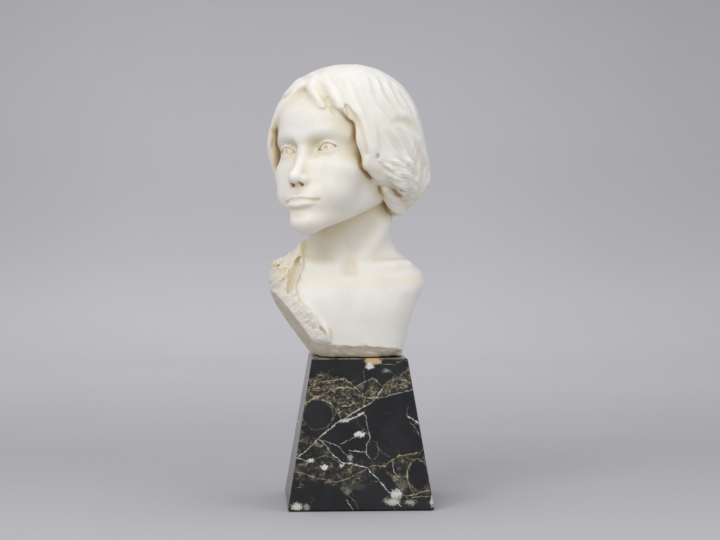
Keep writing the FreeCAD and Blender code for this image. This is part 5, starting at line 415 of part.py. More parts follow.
708,119,6600 699,225,6600 678,329,6600 644,428,6600 599,522,6600 542,609,6600 475,687,6600 399,755,6600 316,813,6600 226,860,6600 132,894,6600 34,916,6600 -65,925,6600 -164,922,6600 -262,906,6600 -357,878,6600 -447,839,6600 -531,789,6600 -609,729,6600 -679,659,6600 -740,582,6600 -791,498,6600 -832,407,6600 -862,312,6600 -881,213,6600 -888,111,6600 -876,10,6600 -847,-88,6600 -802,-180,6600 -743,-262,6600 -674,-334,6600 -598,-396,6600 -515,-448,6600 -429,-489,6600 -339,-521,6600 -247,-542,6600 -153,-555,6600 -59,-558,6600 37,-552,6600 132,-535,6600 227,-508,6600 320,-470,6600 409,-419,6600 492,-356,6600 566,-280,6600 628,-192,6600 674,-94,6600 702,10,6600
"""
BASE_Z = 151.0          # underside level the nets were drawn at
NET_HEIGHT = 298.0      # crown above the underside in the nets


def read_net(text, k, lift):
    rows = []
    for line in text.strip().splitlines():
        row = []
        for item in line.split():
            x, y, z = (int(n) / 20.0 for n in item.split(","))
            row.append(V(x * k, y * k, (z - BASE_Z) * k + lift))
        rows.append(row)
    return rows


def closed_surface(rows):
    """Cubic surface, periodic round the figure and clamped at both ends."""
    nv = len(rows)
    nu = len(rows[0])
    poles = [[rows[j][(i - 1) % nu] for j in range(nv)] for i in range(nu)]
    surface = Part.BSplineSurface()
    surface.buildFromPolesMultsKnots(
        poles,
        [1] * (nu + 1), [4] + [1] * (nv - 4) + [4],
        [float(i) for i in range(nu + 1)], [float(j) for j in range(nv - 2)],
        True, False, 3, 3)
    return surface


scale = dim("bust_height") / NET_HEIGHT
lift = dim("felt_thick") + dim("plinth_height") + dim("disc_thick")


def solid_of(faces):
    shell = Part.Shell(faces)
    if not shell.isClosed():
        sewn = Part.makeCompound(faces).copy()
        sewn.sewShape(1e-4)
        shell = sewn.Shells[0]
    solid = Part.Solid(shell)
    if solid.Volume < 0:
        solid.reverse()
    if not solid.isValid():
        solid.fix(1e-4, 1e-4, 1e-3)
    return solid


head_face = closed_surface(read_net(HEAD_NET, scale, lift)).toShape()
head_solid = solid_of([head_face])

torso_rows = read_net(TORSO_NET, scale, lift)
torso_surface = closed_surface(torso_rows)
torso_face = torso_surface.toShape()
caps = []
for level in (torso_rows[0][0].z, torso_rows[-1][0].z):
    rim_edges = [e for e in torso_face.Edges
                 if all(abs(e.valueAt(p).z - level) < 1e-3
                        for p in (e.FirstParameter, 0.5 * (e.FirstParameter + e.LastParameter), e.LastParameter))]
    caps.append(Part.Face(Part.Wire(rim_edges[:1])))
torso_solid = solid_of([torso_face] + caps)

block = torso_solid.fuse(head_solid)
socket = Part.makeCylinder(dim("socket_diameter") / 2.0, dim("socket_depth"), V(0, 0, lift))
block = block.cut(socket)
if len(block.Solids) != 1:
    raise RuntimeError("the carved block came out in %d pieces" % len(block.Solids))
bust = doc.addObject("Part::Feature", "bust")
bust.Label = "bust"
bust.Shape = block.Solids[0]
bust.Placement = FreeCAD.Placement()

doc.recompute()

# ------------------------------------------------------------------ checks and export
SUBPARTS = [bust, plinth, rod, grout, bedding, washer, nut, thin, felt]
for obj in doc.Objects:
    bad = [s for s in obj.State if s in ("Invalid", "Error")]
    if bad:
        raise RuntimeError("%s is %s" % (obj.Name, bad))
for part in SUBPARTS:
    shape = part.Shape
    if shape.isNull() or not shape.isValid() or len(shape.Solids) != 1:
        raise RuntimeError("%s has no single valid solid" % part.Label)
    print(part.Label, "volume %.1f" % shape.Volume, "box", shape.BoundBox)
for part in SUBPARTS:
    part.Shape.exportStep(os.path.join("parts", part.Label + ".step"))
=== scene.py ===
import bpy
import math
import numpy as np
from concurrent.futures import ThreadPoolExecutor
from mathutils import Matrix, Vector


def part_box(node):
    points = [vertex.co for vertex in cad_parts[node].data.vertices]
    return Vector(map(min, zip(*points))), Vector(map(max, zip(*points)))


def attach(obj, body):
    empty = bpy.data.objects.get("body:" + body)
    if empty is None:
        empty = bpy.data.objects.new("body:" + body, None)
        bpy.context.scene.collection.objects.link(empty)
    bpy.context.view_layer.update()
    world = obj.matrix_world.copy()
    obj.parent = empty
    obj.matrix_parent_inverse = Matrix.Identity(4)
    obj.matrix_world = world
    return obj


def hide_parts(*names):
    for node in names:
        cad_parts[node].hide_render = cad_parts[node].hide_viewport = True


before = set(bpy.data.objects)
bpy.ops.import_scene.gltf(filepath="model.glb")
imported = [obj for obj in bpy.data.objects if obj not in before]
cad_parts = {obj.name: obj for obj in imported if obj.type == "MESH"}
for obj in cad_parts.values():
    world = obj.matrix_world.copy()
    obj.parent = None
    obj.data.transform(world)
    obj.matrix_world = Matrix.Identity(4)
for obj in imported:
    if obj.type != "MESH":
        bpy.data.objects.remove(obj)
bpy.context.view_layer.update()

# The bust is one carved block, built as a solid field in millimetres and skinned as a mesh.

# ---------------------------------------------------------------- field helpers
def smin(a, b, k):
    h = np.maximum(k - np.abs(a - b), 0.0) / k
    return np.minimum(a, b) - h * h * k * 0.25

def smax(a, b, k):
    return -smin(-a, -b, k)

def ell(P, c, r, R=None):
    q = P - np.asarray(c, float)
    if R is not None:
        q = q @ R
    r = np.asarray(r, float)
    k0 = np.sqrt(((q / r) ** 2).sum(1)) + 1e-9
    k1 = np.sqrt(((q / (r * r)) ** 2).sum(1)) + 1e-9
    return k0 * (k0 - 1.0) / k1

def cone(P, a, b, ra, rb):
    a = np.asarray(a, float); b = np.asarray(b, float)
    d = b - a
    t = np.clip(((P - a) @ d) / (d @ d), 0, 1)
    return np.sqrt(((P - a - t[:, None] * d) ** 2).sum(1)) - (ra + (rb - ra) * t)

def chain(P, pts, rad, k=0.0):
    out = None
    for i in range(len(pts) - 1):
        d = cone(P, pts[i], pts[i + 1], rad[i], rad[i + 1])
        out = d if out is None else (np.minimum(out, d) if k == 0 else smin(out, d, k))
    return out

def smoothstep(a, b, x):
    t = np.clip((x - a) / (b - a), 0, 1)
    return t * t * (3 - 2 * t)

def pchip(xs, ys):
    """monotone cubic interpolant, vectorised over any number of columns"""
    xs = np.asarray(xs, float); ys = np.asarray(ys, float)
    if ys.ndim == 1:
        ys = ys[:, None]
    h = np.diff(xs)[:, None]; dl = np.diff(ys, axis=0) / h
    m = np.zeros_like(ys)
    w1 = 2 * h[1:] + h[:-1]; w2 = h[1:] + 2 * h[:-1]
    same = dl[:-1] * dl[1:] > 0
    with np.errstate(divide="ignore", invalid="ignore"):
        hm = (w1 + w2) / (w1 / dl[:-1] + w2 / dl[1:])
    m[1:-1] = np.where(same, hm, 0)
    m[0] = dl[0]; m[-1] = dl[-1]
    def f(x):
        x = np.clip(x, xs[0], xs[-1])
        i = np.clip(np.searchsorted(xs, x) - 1, 0, len(xs) - 2)
        t = ((x - xs[i]) / h[i, 0])[:, None]
        hh = h[i]
        return ((2 * t**3 - 3 * t**2 + 1) * ys[i] + (t**3 - 2 * t**2 + t) * hh * m[i]
                + (-2 * t**3 + 3 * t**2) * ys[i + 1] + (t**3 - t**2) * hh * m[i + 1])
    return f

def catmull(pts, n):
    pts = np.asarray(pts, float)
    P = np.vstack([2 * pts[0] - pts[1], pts, 2 * pts[-1] - pts[-2]])
    out = []
    for i in range(1, len(P) - 2):
        for t in np.linspace(0, 1, n, endpoint=False):
            out.append(0.5 * ((2 * P[i]) + (-P[i-1] + P[i+1]) * t + (2*P[i-1] - 5*P[i] + 4*P[i+1] - P[i+2]) * t*t
                              + (-P[i-1] + 3*P[i] - 3*P[i+1] + P[i+2]) * t**3))
    out.append(P[-2])
    return np.array(out)

def rz(a):
    c, s = math.cos(math.radians(a)), math.sin(math.radians(a))
    return np.array([[c, -s, 0], [s, c, 0], [0, 0, 1.0]])
def rx(a):
    c, s = math.cos(math.radians(a)), math.sin(math.radians(a))
    return np.array([[1.0, 0, 0], [0, c, -s], [0, s, c]])
def ry(a):
    c, s = math.cos(math.radians(a)), math.sin(math.radians(a))
    return np.array([[c, 0, s], [0, 1.0, 0], [-s, 0, c]])

# ---------------------------------------------------------------- placing (view frame V: camera along +Y)
HEAD_C = np.array([-11.5, -6.0, 355.5])
HEAD_S = 1.03
HEAD_R = rz(-36.0) @ ry(-4.0) @ rx(-5.0)     # turned to its right, a little raised and tilted
def to_head(P):
    return ((P - HEAD_C) @ HEAD_R) / HEAD_S
def from_head(q):
    return HEAD_C + HEAD_S * (np.asarray(q, float) @ HEAD_R.T)

def dense(tab, sigma, lo=None, hi=None):
    lo = tab[0, 0] if lo is None else lo; hi = tab[-1, 0] if hi is None else hi
    zz = np.arange(lo, hi + 0.5, 1.0)
    T = pchip(tab[:, 0], tab[:, 1:])(zz)
    w = np.arange(-int(3 * sigma), int(3 * sigma) + 1); g = np.exp(-0.5 * (w / sigma) ** 2); g /= g.sum()
    pad = len(w) // 2
    T = np.stack([np.convolve(np.pad(c, pad, mode="edge"), g, mode="valid") for c in T.T], 1)
    n = len(zz)
    def f(z):
        t = np.clip(z - lo, 0, n - 1.001); i = t.astype(int); t = (t - i)[:, None]
        return T[i] * (1 - t) + T[i + 1] * t
    return f

# ---------------------------------------------------------------- head, in head frame (face to -Y, its left is +X)
LEV = np.array([
 # z     a     yf     yb    n
 (-100, 24.0, -58.0, 20.0, 2.00),
 (-86,  28.0, -70.0, 26.0, 2.00),
 (-76,  33.5, -75.0, 32.0, 2.02),
 (-68,  37.5, -74.0, 37.0, 2.05),
 (-58,  41.5, -74.8, 43.0, 2.08),
 (-46,  45.5, -75.2, 50.0, 2.15),
 (-34,  49.0, -74.5, 58.0, 2.22),
 (-22,  52.0, -72.6, 64.0, 2.30),
 (-10,  54.0, -70.8, 69.0, 2.32),
 (0,    55.0, -70.8, 72.0, 2.32),
 (10,   56.0, -73.0, 74.0, 2.34),
 (22,   57.0, -73.6, 75.0, 2.32),
 (35,   57.0, -71.0, 75.0, 2.30),
 (48,   54.0, -64.0, 72.0, 2.25),
 (60,   47.0, -52.0, 63.0, 2.20),
 (72,   33.0, -33.0, 47.0, 2.10),
])
_lev = dense(LEV, 2.5)
def block(q):
    def F(x, y, z):
        L = _lev(z)
        a, yf, yb, n = L.T
        yc = 4.0
        b = np.where(y < yc, yc - yf, yb - yc)
        u = np.abs(x) / a; v = np.abs(y - yc) / b
        return ((u**n + v**n + 1e-12) ** (1 / n) - 1.0)
    x, y, z = q.T
    f = F(x, y, z)
    e = 0.25
    gx = (F(x + e, y, z) - F(x - e, y, z)) / (2 * e)
    gy = (F(x, y + e, z) - F(x, y - e, z)) / (2 * e)
    gz = (F(x, y, z + e) - F(x, y, z - e)) / (2 * e)
    return f / np.sqrt(gx * gx + gy * gy + gz * gz + 1e-6)

EYE = np.array([23.0, -54.6, -3.5]); RB = 10.4

def mir(q):
    m = q.copy(); m[:, 0] = np.abs(m[:, 0]); return m

def head(q):
    """skin of the head without the hair"""
    x, y, z = q.T
    m = mir(q)
    d = smax(block(q), ell(q, (0, 1.0, 0), (64.5, 81.5, 84)) - 40.0 * smoothstep(48, -5, z), 10)
    # jaw: lower limit that rises from the chin to the ear
    jaw = (-(z + 83.5 - 0.40 * np.maximum(y + 62, 0) - 0.0025 * np.maximum(y + 62, 0) ** 2 * 0.3)) / 1.08
    d = smax(d, jaw, 14.0)
    # chin
    d = smin(d, ell(q, (0, -64.5, -72.5), (14, 11.5, 10.5)), 9)
    # cheeks and cheekbones
    d = smin(d, ell(m, (31, -46, -24), (16, 17, 14)), 12)
    d = smin(d, ell(m, (26, -50, -44), (15, 16, 15)), 12)
    # eye sockets
    d = smax(d, -ell(m, (22.5, -75.5, -1.5), (15.5, 13.5, 9.5), rz(-14)), 9)
    d = smax(d, -ell(m, (12.5, -74.0, -3.0), (5.5, 10.5, 8.0)), 7)
    # brow
    d = smin(d, chain(m, [(5, -66.5, 9.5), (16, -65.5, 12.5), (29, -59.5, 13), (39, -50, 9)], [5, 5.2, 4.8, 4.2]), 7)
    # nose
    d = smin(d, chain(q, [(0, -66.0, 6), (0, -66.2, 0), (0, -69.8, -12), (0, -76.0, -24), (0, -79.6, -30.5)],
                      [5.6, 4.6, 4.7, 5.3, 6.2]), 6.5)
    d = smin(d, ell(q, (0, -80.6, -31.6), (6.6, 6.0, 5.6)), 3.0)
    d = smin(d, ell(m, (7.8, -74.6, -34.0), (4.3, 6.6, 4.9), rz(-12)), 3.2)
    d = smin(d, chain(q, [(0, -80.5, -34.2), (0, -75.5, -38.2)], [3.0, 2.6]), 2.5)
    d = smax(d, -ell(m, (4.9, -77.4, -38.6), (2.3, 4.2, 2.6), rz(-18)), 1.6)
    # muzzle and philtrum
    d = smin(d, ell(q, (0, -62, -50), (21, 16.2, 13.5)), 8)
    d = smax(d, -chain(q, [(0, -80.7, -41.5), (0, -81.6, -47.0)], [2.2, 2.8]), 3.0)
    # lips
    up = catmull([(-18.6, -68.6, -53.4), (-11.5, -74.6, -51.8), (-4.2, -77.7, -49.9), (0, -77.9, -50.9),
                  (4.2, -77.7, -49.9), (11.5, -74.6, -51.8), (18.6, -68.6, -53.4)], 4)
    t = np.linspace(-1, 1, len(up)); ru = 0.9 + 1.9 * (1 - t * t) ** 0.75
    lo = catmull([(-17.6, -69.0, -54.4), (-10, -74.2, -56.6), (0, -76.2, -57.9), (10, -74.2, -56.6), (17.6, -69.0, -54.4)], 5)
    t2 = np.linspace(-1, 1, len(lo)); rl = 0.8 + 2.8 * (1 - t2 * t2) ** 0.7
    near = np.flatnonzero((np.abs(x) < 30) & (y < -55) & (z < -38) & (z > -72))
    if len(near):
        qn = q[near]
        dn = d[near]
        dn = smin(dn, chain(qn, up, ru), 2.2)
        dn = smin(dn, chain(qn, lo, rl), 2.6)
        gr = catmull([(-19.0, -70.6, -54.3), (-12.0, -77.4, -53.8), (-4.5, -80.9, -53.1), (0, -81.4, -53.8), (4.5, -80.9, -53.1),
                      (12.0, -77.4, -53.8), (19.0, -70.6, -54.3)], 4)
        tg = np.linspace(-1, 1, len(gr))
        dn = smax(dn, -chain(qn, gr, 1.0 + 1.2 * (1 - tg * tg)), 1.2)
        # fold under the lower lip
        dn = smax(dn, -chain(qn, catmull([(-11, -77.0, -64.4), (0, -79.6, -65.4), (11, -77.0, -64.4)], 5), np.full(11, 3.4)), 4.5)
        # mouth corners
        dn = smax(dn, -ell(mir(qn), (19.8, -71.6, -54.6), (1.5, 2.2, 1.8)), 3.0)
        d[near] = dn
    # eyes
    near = np.flatnonzero((m[:, 0] > 6) & (m[:, 0] < 42) & (y < -38) & (np.abs(z + 3) < 20))
    if len(near):
        qn = m[near]
        d[near] = eye(qn, d[near])
    return d

def lid_curves(u):
    """upper and lower edge of the eye opening over u, from the inner corner -11.3 to the outer 11.3"""
    s = np.clip((u + 9.8) / 19.6, 0, 1)
    base = -1.3 + 2.4 * s
    up = base + 5.2 * (np.sin(np.pi * s ** 0.82)) ** 0.85
    lo = base - 3.2 * (np.sin(np.pi * s ** 1.15)) ** 0.9
    return up, lo

def eye(qn, d):
    c = EYE
    v = qn - c
    rr = np.sqrt((v ** 2).sum(1))
    ball = rr - RB
    # coordinates over the ball, turned a little outward
    w = v @ rz(12.0)   # local: x across, y depth, z up
    u, hgt = w[:, 0] * 1.0 + 0.4, w[:, 2]
    up, lo = lid_curves(u)
    front = w[:, 1] < 0
    gap = np.maximum(hgt - up, lo - hgt)
    gap = np.maximum(gap, np.abs(u) - 9.8)
    gap = np.where(front, gap, 5.0)
    lids = rr - (RB + 1.35)
    # the lids are a shell over the ball, open along the gap
    lids = smax(lids, -gap, 0.7)
    # fuller fold above the upper lid
    d = smin(d, lids, 2.4)
    # open the socket skin where the gap is
    d = smax(d, -np.maximum(gap + 0.15, -(rr - RB + 0.3)) , 0.7)
    # iris and pupil
    gz = np.array([0.10, -1.0, -0.02]); gz = gz / np.linalg.norm(gz)
    g = c + gz * RB
    e = qn - g
    rad = np.sqrt(np.maximum((e ** 2).sum(1) - (e @ gz) ** 2, 0))
    iris = np.abs(rad - 4.6)
    ballc = ball + 0.28 * np.exp(-(iris / 0.45) ** 2)
    ballc = smax(ballc, -(np.sqrt(((qn - (c + gz * (RB - 0.2) + np.array([0, 0, 0.3]))) ** 2).sum(1)) - 2.0), 0.5)
    d = np.minimum(d, ballc)
    return d

# ---------------------------------------------------------------- hair masses
HLEV = np.array([
 # z     a     yf     yb    n
 (-75,  36.0, -20.0, 44.0, 2.2),
 (-62,  52.0, -34.0, 60.0, 2.25),
 (-50,  66.0, -42.0, 72.0, 2.25),
 (-35,  75.0, -50.0, 81.0, 2.25),
 (-15,  77.0, -60.0, 85.0, 2.2),
 (10,   75.5, -74.0, 85.5, 2.2),
 (30,   74.5, -77.0, 84.0, 2.15),
 (50,   68.0, -72.0, 85.0, 2.1),
 (66,   57.0, -59.0, 73.0, 2.05),
 (80,   40.0, -41.0, 55.0, 2.0),
 (88,   25.0, -23.0, 37.0, 2.0),
 (94,   6.0,  -3.0,  17.0, 2.0),
])
_hl = dense(HLEV, 5.0)
def opening(q):
    """negative where the face shows"""
    x, y, z = q.T
    xx = x + 2.0
    side = np.where(xx > 0, 53.0, 51.0)
    zz = np.where(z > -10, (z + 10) / 71.0, 0.0)
    n = 2.2
    e = ((np.abs(xx) / side) ** n + np.abs(zz) ** n + 1e-12) ** (1 / n) - 1.0
    e = e * 50.0
    return np.maximum(e, y + 31.0 - 8.0 * smoothstep(2, -22, z) * smoothstep(10, 40, x))

TL = np.array([
 # z    xl     xr    yf     yb    n
 (138, -46.0, 43.0, -33.0, 42.0, 3.0),
 (150, -49.5, 45.5, -52.0, 44.0, 3.0),
 (155, -53.0, 46.8, -53.0, 45.0, 3.0),
 (165, -61.0, 49.0, -54.6, 48.0, 3.0),
 (181, -72.8, 52.3, -57.6, 51.0, 2.9),
 (199, -82.0, 58.2, -60.0, 54.0, 2.8),
 (212, -84.6, 63.6, -59.0, 56.0, 2.75),
 (220, -84.6, 67.8, -57.0, 57.0, 2.7),
 (230, -86.0, 68.6, -53.0, 57.0, 2.65),
 (237, -86.2, 66.0, -46.0, 55.0, 2.5),
 (243, -85.0, 58.0, -40.0, 52.5, 2.25),
 (249, -72.0, 50.0, -36.0, 50.5, 2.1),
 (258, -58.0, 41.0, -32.5, 48.0, 2.05),
 (267, -50.5, 35.6, -31.5, 46.5, 2.05),
 (278, -48.5, 34.4, -31.0, 44.5, 2.0),
 (292, -47.5, 34.6, -31.5, 44.0, 2.0),
 (320, -46.0, 36.0, -30.0, 46.0, 2.0),
 (345, -40.0, 30.0, -22.0, 44.0, 2.0),
])
_tl = dense(TL, 4.0)
def lev_field(P, tab, ycr=0.45):
    def F(x, y, z):
        L = tab(z); xl, xr, yf, yb, n = L.T
        xc = 0.5 * (xl + xr); yc = yf + ycr * (yb - yf)
        a = xr - xc
        b = np.where(y < yc, yc - yf, yb - yc)
        return ((np.abs(x - xc) / a) ** n + (np.abs(y - yc) / b) ** n + 1e-12) ** (1 / n) - 1.0
    x, y, z = P.T
    f = F(x, y, z); e = 0.4
    gx = (F(x + e, y, z) - F(x - e, y, z)) / (2 * e); gy = (F(x, y + e, z) - F(x, y - e, z)) / (2 * e); gz = (F(x, y, z + e) - F(x, y, z - e)) / (2 * e)
    # far in, the gradient of the level function grows small; keep it bounded
    g = np.sqrt(gx * gx + gy * gy + gz * gz + 1e-6)
    return f / np.maximum(g, 0.006)

Z0 = 151.0     # underside of the bust
DR_R = np.array([(306, 262.5), (302.5, 275), (298.8, 285), (302.5, 300), (310, 303.8), (316, 311), (320, 321), (327.5, 328.8), (330, 335), (328.8, 342.5)])
def px2v(p):
    p = np.asarray(p, float)
    return np.stack([(p[:, 0] - 357.1) * 1.024, 237.3 + 1.024 * (270 - p[:, 1])], 1)

def torso(P):
    x, y, z = P.T
    d = lev_field(P, _tl)
    m = None
    # sterno-mastoid cords and the hollow between them
    d = smin(d, chain(P, [(31, 4, 312), (19.0, -17.0, 276.0), (2.0, -33.5, 245.0)], [7, 8.5, 4.6]), 12)
    d = smin(d, chain(P, [(-42, -4, 300), (-30.0, -19.0, 272.0), (-15.0, -33.5, 245.0)], [7, 8.0, 4.6]), 12)
    d = smax(d, -ell(P, (-7, -48.0, 245), (9, 8, 9)), 9)
    # collar bones
    d = smin(d, chain(P, [(3, -37.0, 239.0), (19, -38.0, 241.0), (37, -32.0, 244.0), (52, -18, 244.0)], [2.8, 3.0, 2.2, 0.8]), 12)
    d = smin(d, chain(P, [(-17, -37.0, 239.0), (-32, -37.5, 241.0), (-50, -32.0, 244.0)], [2.8, 3.2, 2.6]), 12)
    # shallow breast bone
    d = smax(d, -cone(P, (-8, -68.0, 222), (-8, -68.5, 184), 5.5, 4.5), 12)
    return d

def drape_mask(x, z):
    """>0 to the image left of the drapery edge"""
    e = px2v([(303, 239.4), (304.5, 250)] + list(map(tuple, DR_R)) + [(322, 350), (318, 358)])
    e = e[np.argsort(e[:, 1])]
    xe = np.interp(z, e[:, 1], e[:, 0])
    return xe - x

def drape(P, d0):
    x, y, z = P.T
    xe = drape_mask(x, z)
    # thickness grows away from the edge; only on the front and the left flank
    th = 3.6 * smoothstep(-1.0, 3.0, xe) * smoothstep(262, 246, z)
    fr = smoothstep(34, 18, y)
    return d0 - th * fr

def cuts(P, d):
    x, y, z = P.T
    # sawn underside
    d = smax(d, Z0 - z, 0.6)
    # rough facet along the lower front edge
    f = (((np.abs(x + 5.75)) / 58.0) ** 3 + (np.maximum(-10.0 - y, 0) / 44.0) ** 3 + 1e-9) ** (1 / 3) - 1.0
    d = smax(d, (f * 44.0 + (163.0 - 0.03 * x - z) * 0.95) * 0.72 - 30.0 * smoothstep(-30, -8, y), 0.8)
    # facet under the left flank
    n = np.array([-0.80, -0.17, -0.585]); n /= np.linalg.norm(n)
    d = smax(d, (P - np.array([-83.4, 15.0, 201.0])) @ n, 1.2)
    return d

def bottom_edge(q):
    x, y, z = q.T
    return -40.0 - 0.42 * np.maximum(y - 2.0, 0) + 10.0 * smoothstep(5, -50, y)

def hair0(q):
    """the whole mass of the hair before the locks are cut"""
    x, y, z = q.T
    cap = ell(q, (0, 4.5, 14.5), (75.5, 81.5, 76.0))
    def F(x, y, z):
        L = _hl(np.minimum(z, 30)); a, yf, yb, n = L.T
        yc = 8.0
        b = np.where(y < yc, yc - yf, yb - yc)
        return ((np.abs(x) / a) ** n + (np.abs(y - yc) / b) ** n + 1e-12) ** (1 / n) - 1.0
    f = F(x, y, z); e = 0.3
    gx = (F(x + e, y, z) - F(x - e, y, z)) / (2 * e); gy = (F(x, y + e, z) - F(x, y - e, z)) / (2 * e); gz = (F(x, y, z + e) - F(x, y, z - e)) / (2 * e)
    sk = f / np.maximum(np.sqrt(gx * gx + gy * gy + gz * gz + 1e-6), 0.006)
    sk = smax(sk, z - 22, 26)
    d = smin(cap, sk, 12)
    return smax(d, bottom_edge(q) - z, 12)

def waves(P, seed, wl, n=7):
    """smooth noise, about -1..1, from a few plane waves"""
    r = np.random.RandomState(seed)
    out = np.zeros(len(P))
    for _ in range(n):
        k = r.normal(size=3); k *= (2 * math.pi / wl) * r.uniform(0.6, 1.6) / np.linalg.norm(k)
        out += np.sin(P @ k + r.uniform(0, 6.28) + 0.6 * np.sin(P @ (k[[1, 2, 0]] * 0.7) + r.uniform(0, 6.28)))
    return out / (0.5 * n) ** 0.5 / 2.0

HP = np.array([-0.10, 0.22, 0.97]); HP /= np.linalg.norm(HP)
HE1 = np.array([1.0, 0, 0]); HE1 -= HP * (HE1 @ HP); HE1 /= np.linalg.norm(HE1)
HE2 = np.cross(HP, HE1)
def lock_profile(t, w=0.22):
    t = t - np.floor(t)
    up = smoothstep(0, w, t)
    return up * (1 - 0.85 * smoothstep(w, 1.0, t) ** 1.3)

def hair_relief(q):
    """depth to take off the hair mass, mm, and the lock phase"""
    v = q - np.array([0, 4.0, 12.0])
    v = v / (np.sqrt((v ** 2).sum(1))[:, None] + 1e-9)
    c = v @ HP; rho = np.arccos(np.clip(c, -1, 1))
    psi = np.arctan2(v @ HE2, v @ HE1)
    x, y, z = q.T
    ph = psi - 0.52 * rho * np.cos(psi) + 0.10 * np.sin(3.1 * rho + 2 * psi) * smoothstep(0.3, 1.2, rho)
    w1 = waves(q, 3, 95) * 0.17 * smoothstep(0.15, 0.9, rho)
    ph = ph + w1
    low = smoothstep(0.45, 1.9, rho)
    f1 = ph * 16 / (2 * math.pi) + 0.35 * waves(q, 5, 60)
    f2 = ph * 34 / (2 * math.pi) + 0.45 * waves(q, 7, 45)
    f3 = ph * 104 / (2 * math.pi) + 0.5 * waves(q, 9, 30)
    p1 = lock_profile(f1, 0.38); p2 = lock_profile(f2, 0.42)
    p3 = 0.5 + 0.5 * np.sin(2 * math.pi * f3)
    m = 0.5 + 0.5 * np.tanh(2.0 * waves(q, 11, 50))
    A1 = (0.7 + 2.3 * low); A2 = (0.30 + 0.75 * low) * (0.4 + 0.7 * m); A3 = 0.05 + 0.12 * low
    near = smoothstep(0.02, 0.30, rho)
    dep = near * (A1 * (1 - p1) + A2 * (1 - p2) + A3 * (1 - p3) * smoothstep(0.1, 0.5, rho))
    # waves along the length towards the tips
    dep = dep + 1.0 * low * (0.5 + 0.5 * np.sin(7.0 * rho + 1.5 * np.sin(f1 * 1.3) + 3 * m))
    return dep, p1, low

def boxed(P, pts, rad):
    pts = np.asarray(pts); lo = pts.min(0) - rad; hi = pts.max(0) + rad
    return np.flatnonzero(((P > lo) & (P < hi)).all(1))

def roll(P, d, pts, rad, k, twist=None, amp=0.0):
    """a rounded lock along a curve, with a few turned flutes; joined to d"""
    cv = catmull(pts, 5)
    rr = np.interp(np.linspace(0, 1, len(cv)), np.linspace(0, 1, len(rad)), rad)
    ii = boxed(P, cv, max(rad) + 9)
    if not len(ii): return d
    X = P[ii]
    best = np.full(len(ii), 1e9); s = np.zeros(len(ii)); C = np.zeros((len(ii), 3)); T = np.zeros((len(ii), 3))
    for i in range(len(cv) - 1):
        a, b = cv[i], cv[i + 1]; e = b - a; L2 = e @ e
        t = np.clip(((X - a) @ e) / L2, 0, 1)
        c = a + t[:, None] * e
        dd = np.sqrt(((X - c) ** 2).sum(1)) - (rr[i] + (rr[i + 1] - rr[i]) * t)
        m = dd < best
        best = np.where(m, dd, best); s = np.where(m, i + t, s); C[m] = c[m]; T[m] = e / math.sqrt(L2)
    if amp:
        up = np.array([0.3, 0.2, 1.0]); n1 = np.cross(T, up); n1 /= np.linalg.norm(n1, axis=1)[:, None] + 1e-9
        n2 = np.cross(T, n1); v = X - C
        an = np.arctan2((v * n2).sum(1), (v * n1).sum(1))
        best = best + amp * (0.5 + 0.5 * np.cos(an * twist[0] + s * twist[1]))
        best = best + 0.35 * amp * (0.5 + 0.5 * np.cos(an * twist[0] * 3 + s * twist[1] * 3 + 1.0))
    out = d.copy()
    out[ii] = smin(d[ii], best, k)
    return out

def carve(P, d, pts, r, k):
    cv = catmull(pts, 4) if len(pts) > 2 else np.asarray(pts, float)
    ii = boxed(P, cv, r + 8)
    if not len(ii): return d
    rr = r * (0.35 + 0.65 * np.sin(np.linspace(0.12, math.pi - 0.12, len(cv))))
    g = chain(P[ii], cv, rr)
    out = d.copy(); out[ii] = smax(d[ii], -g, k)
    return out

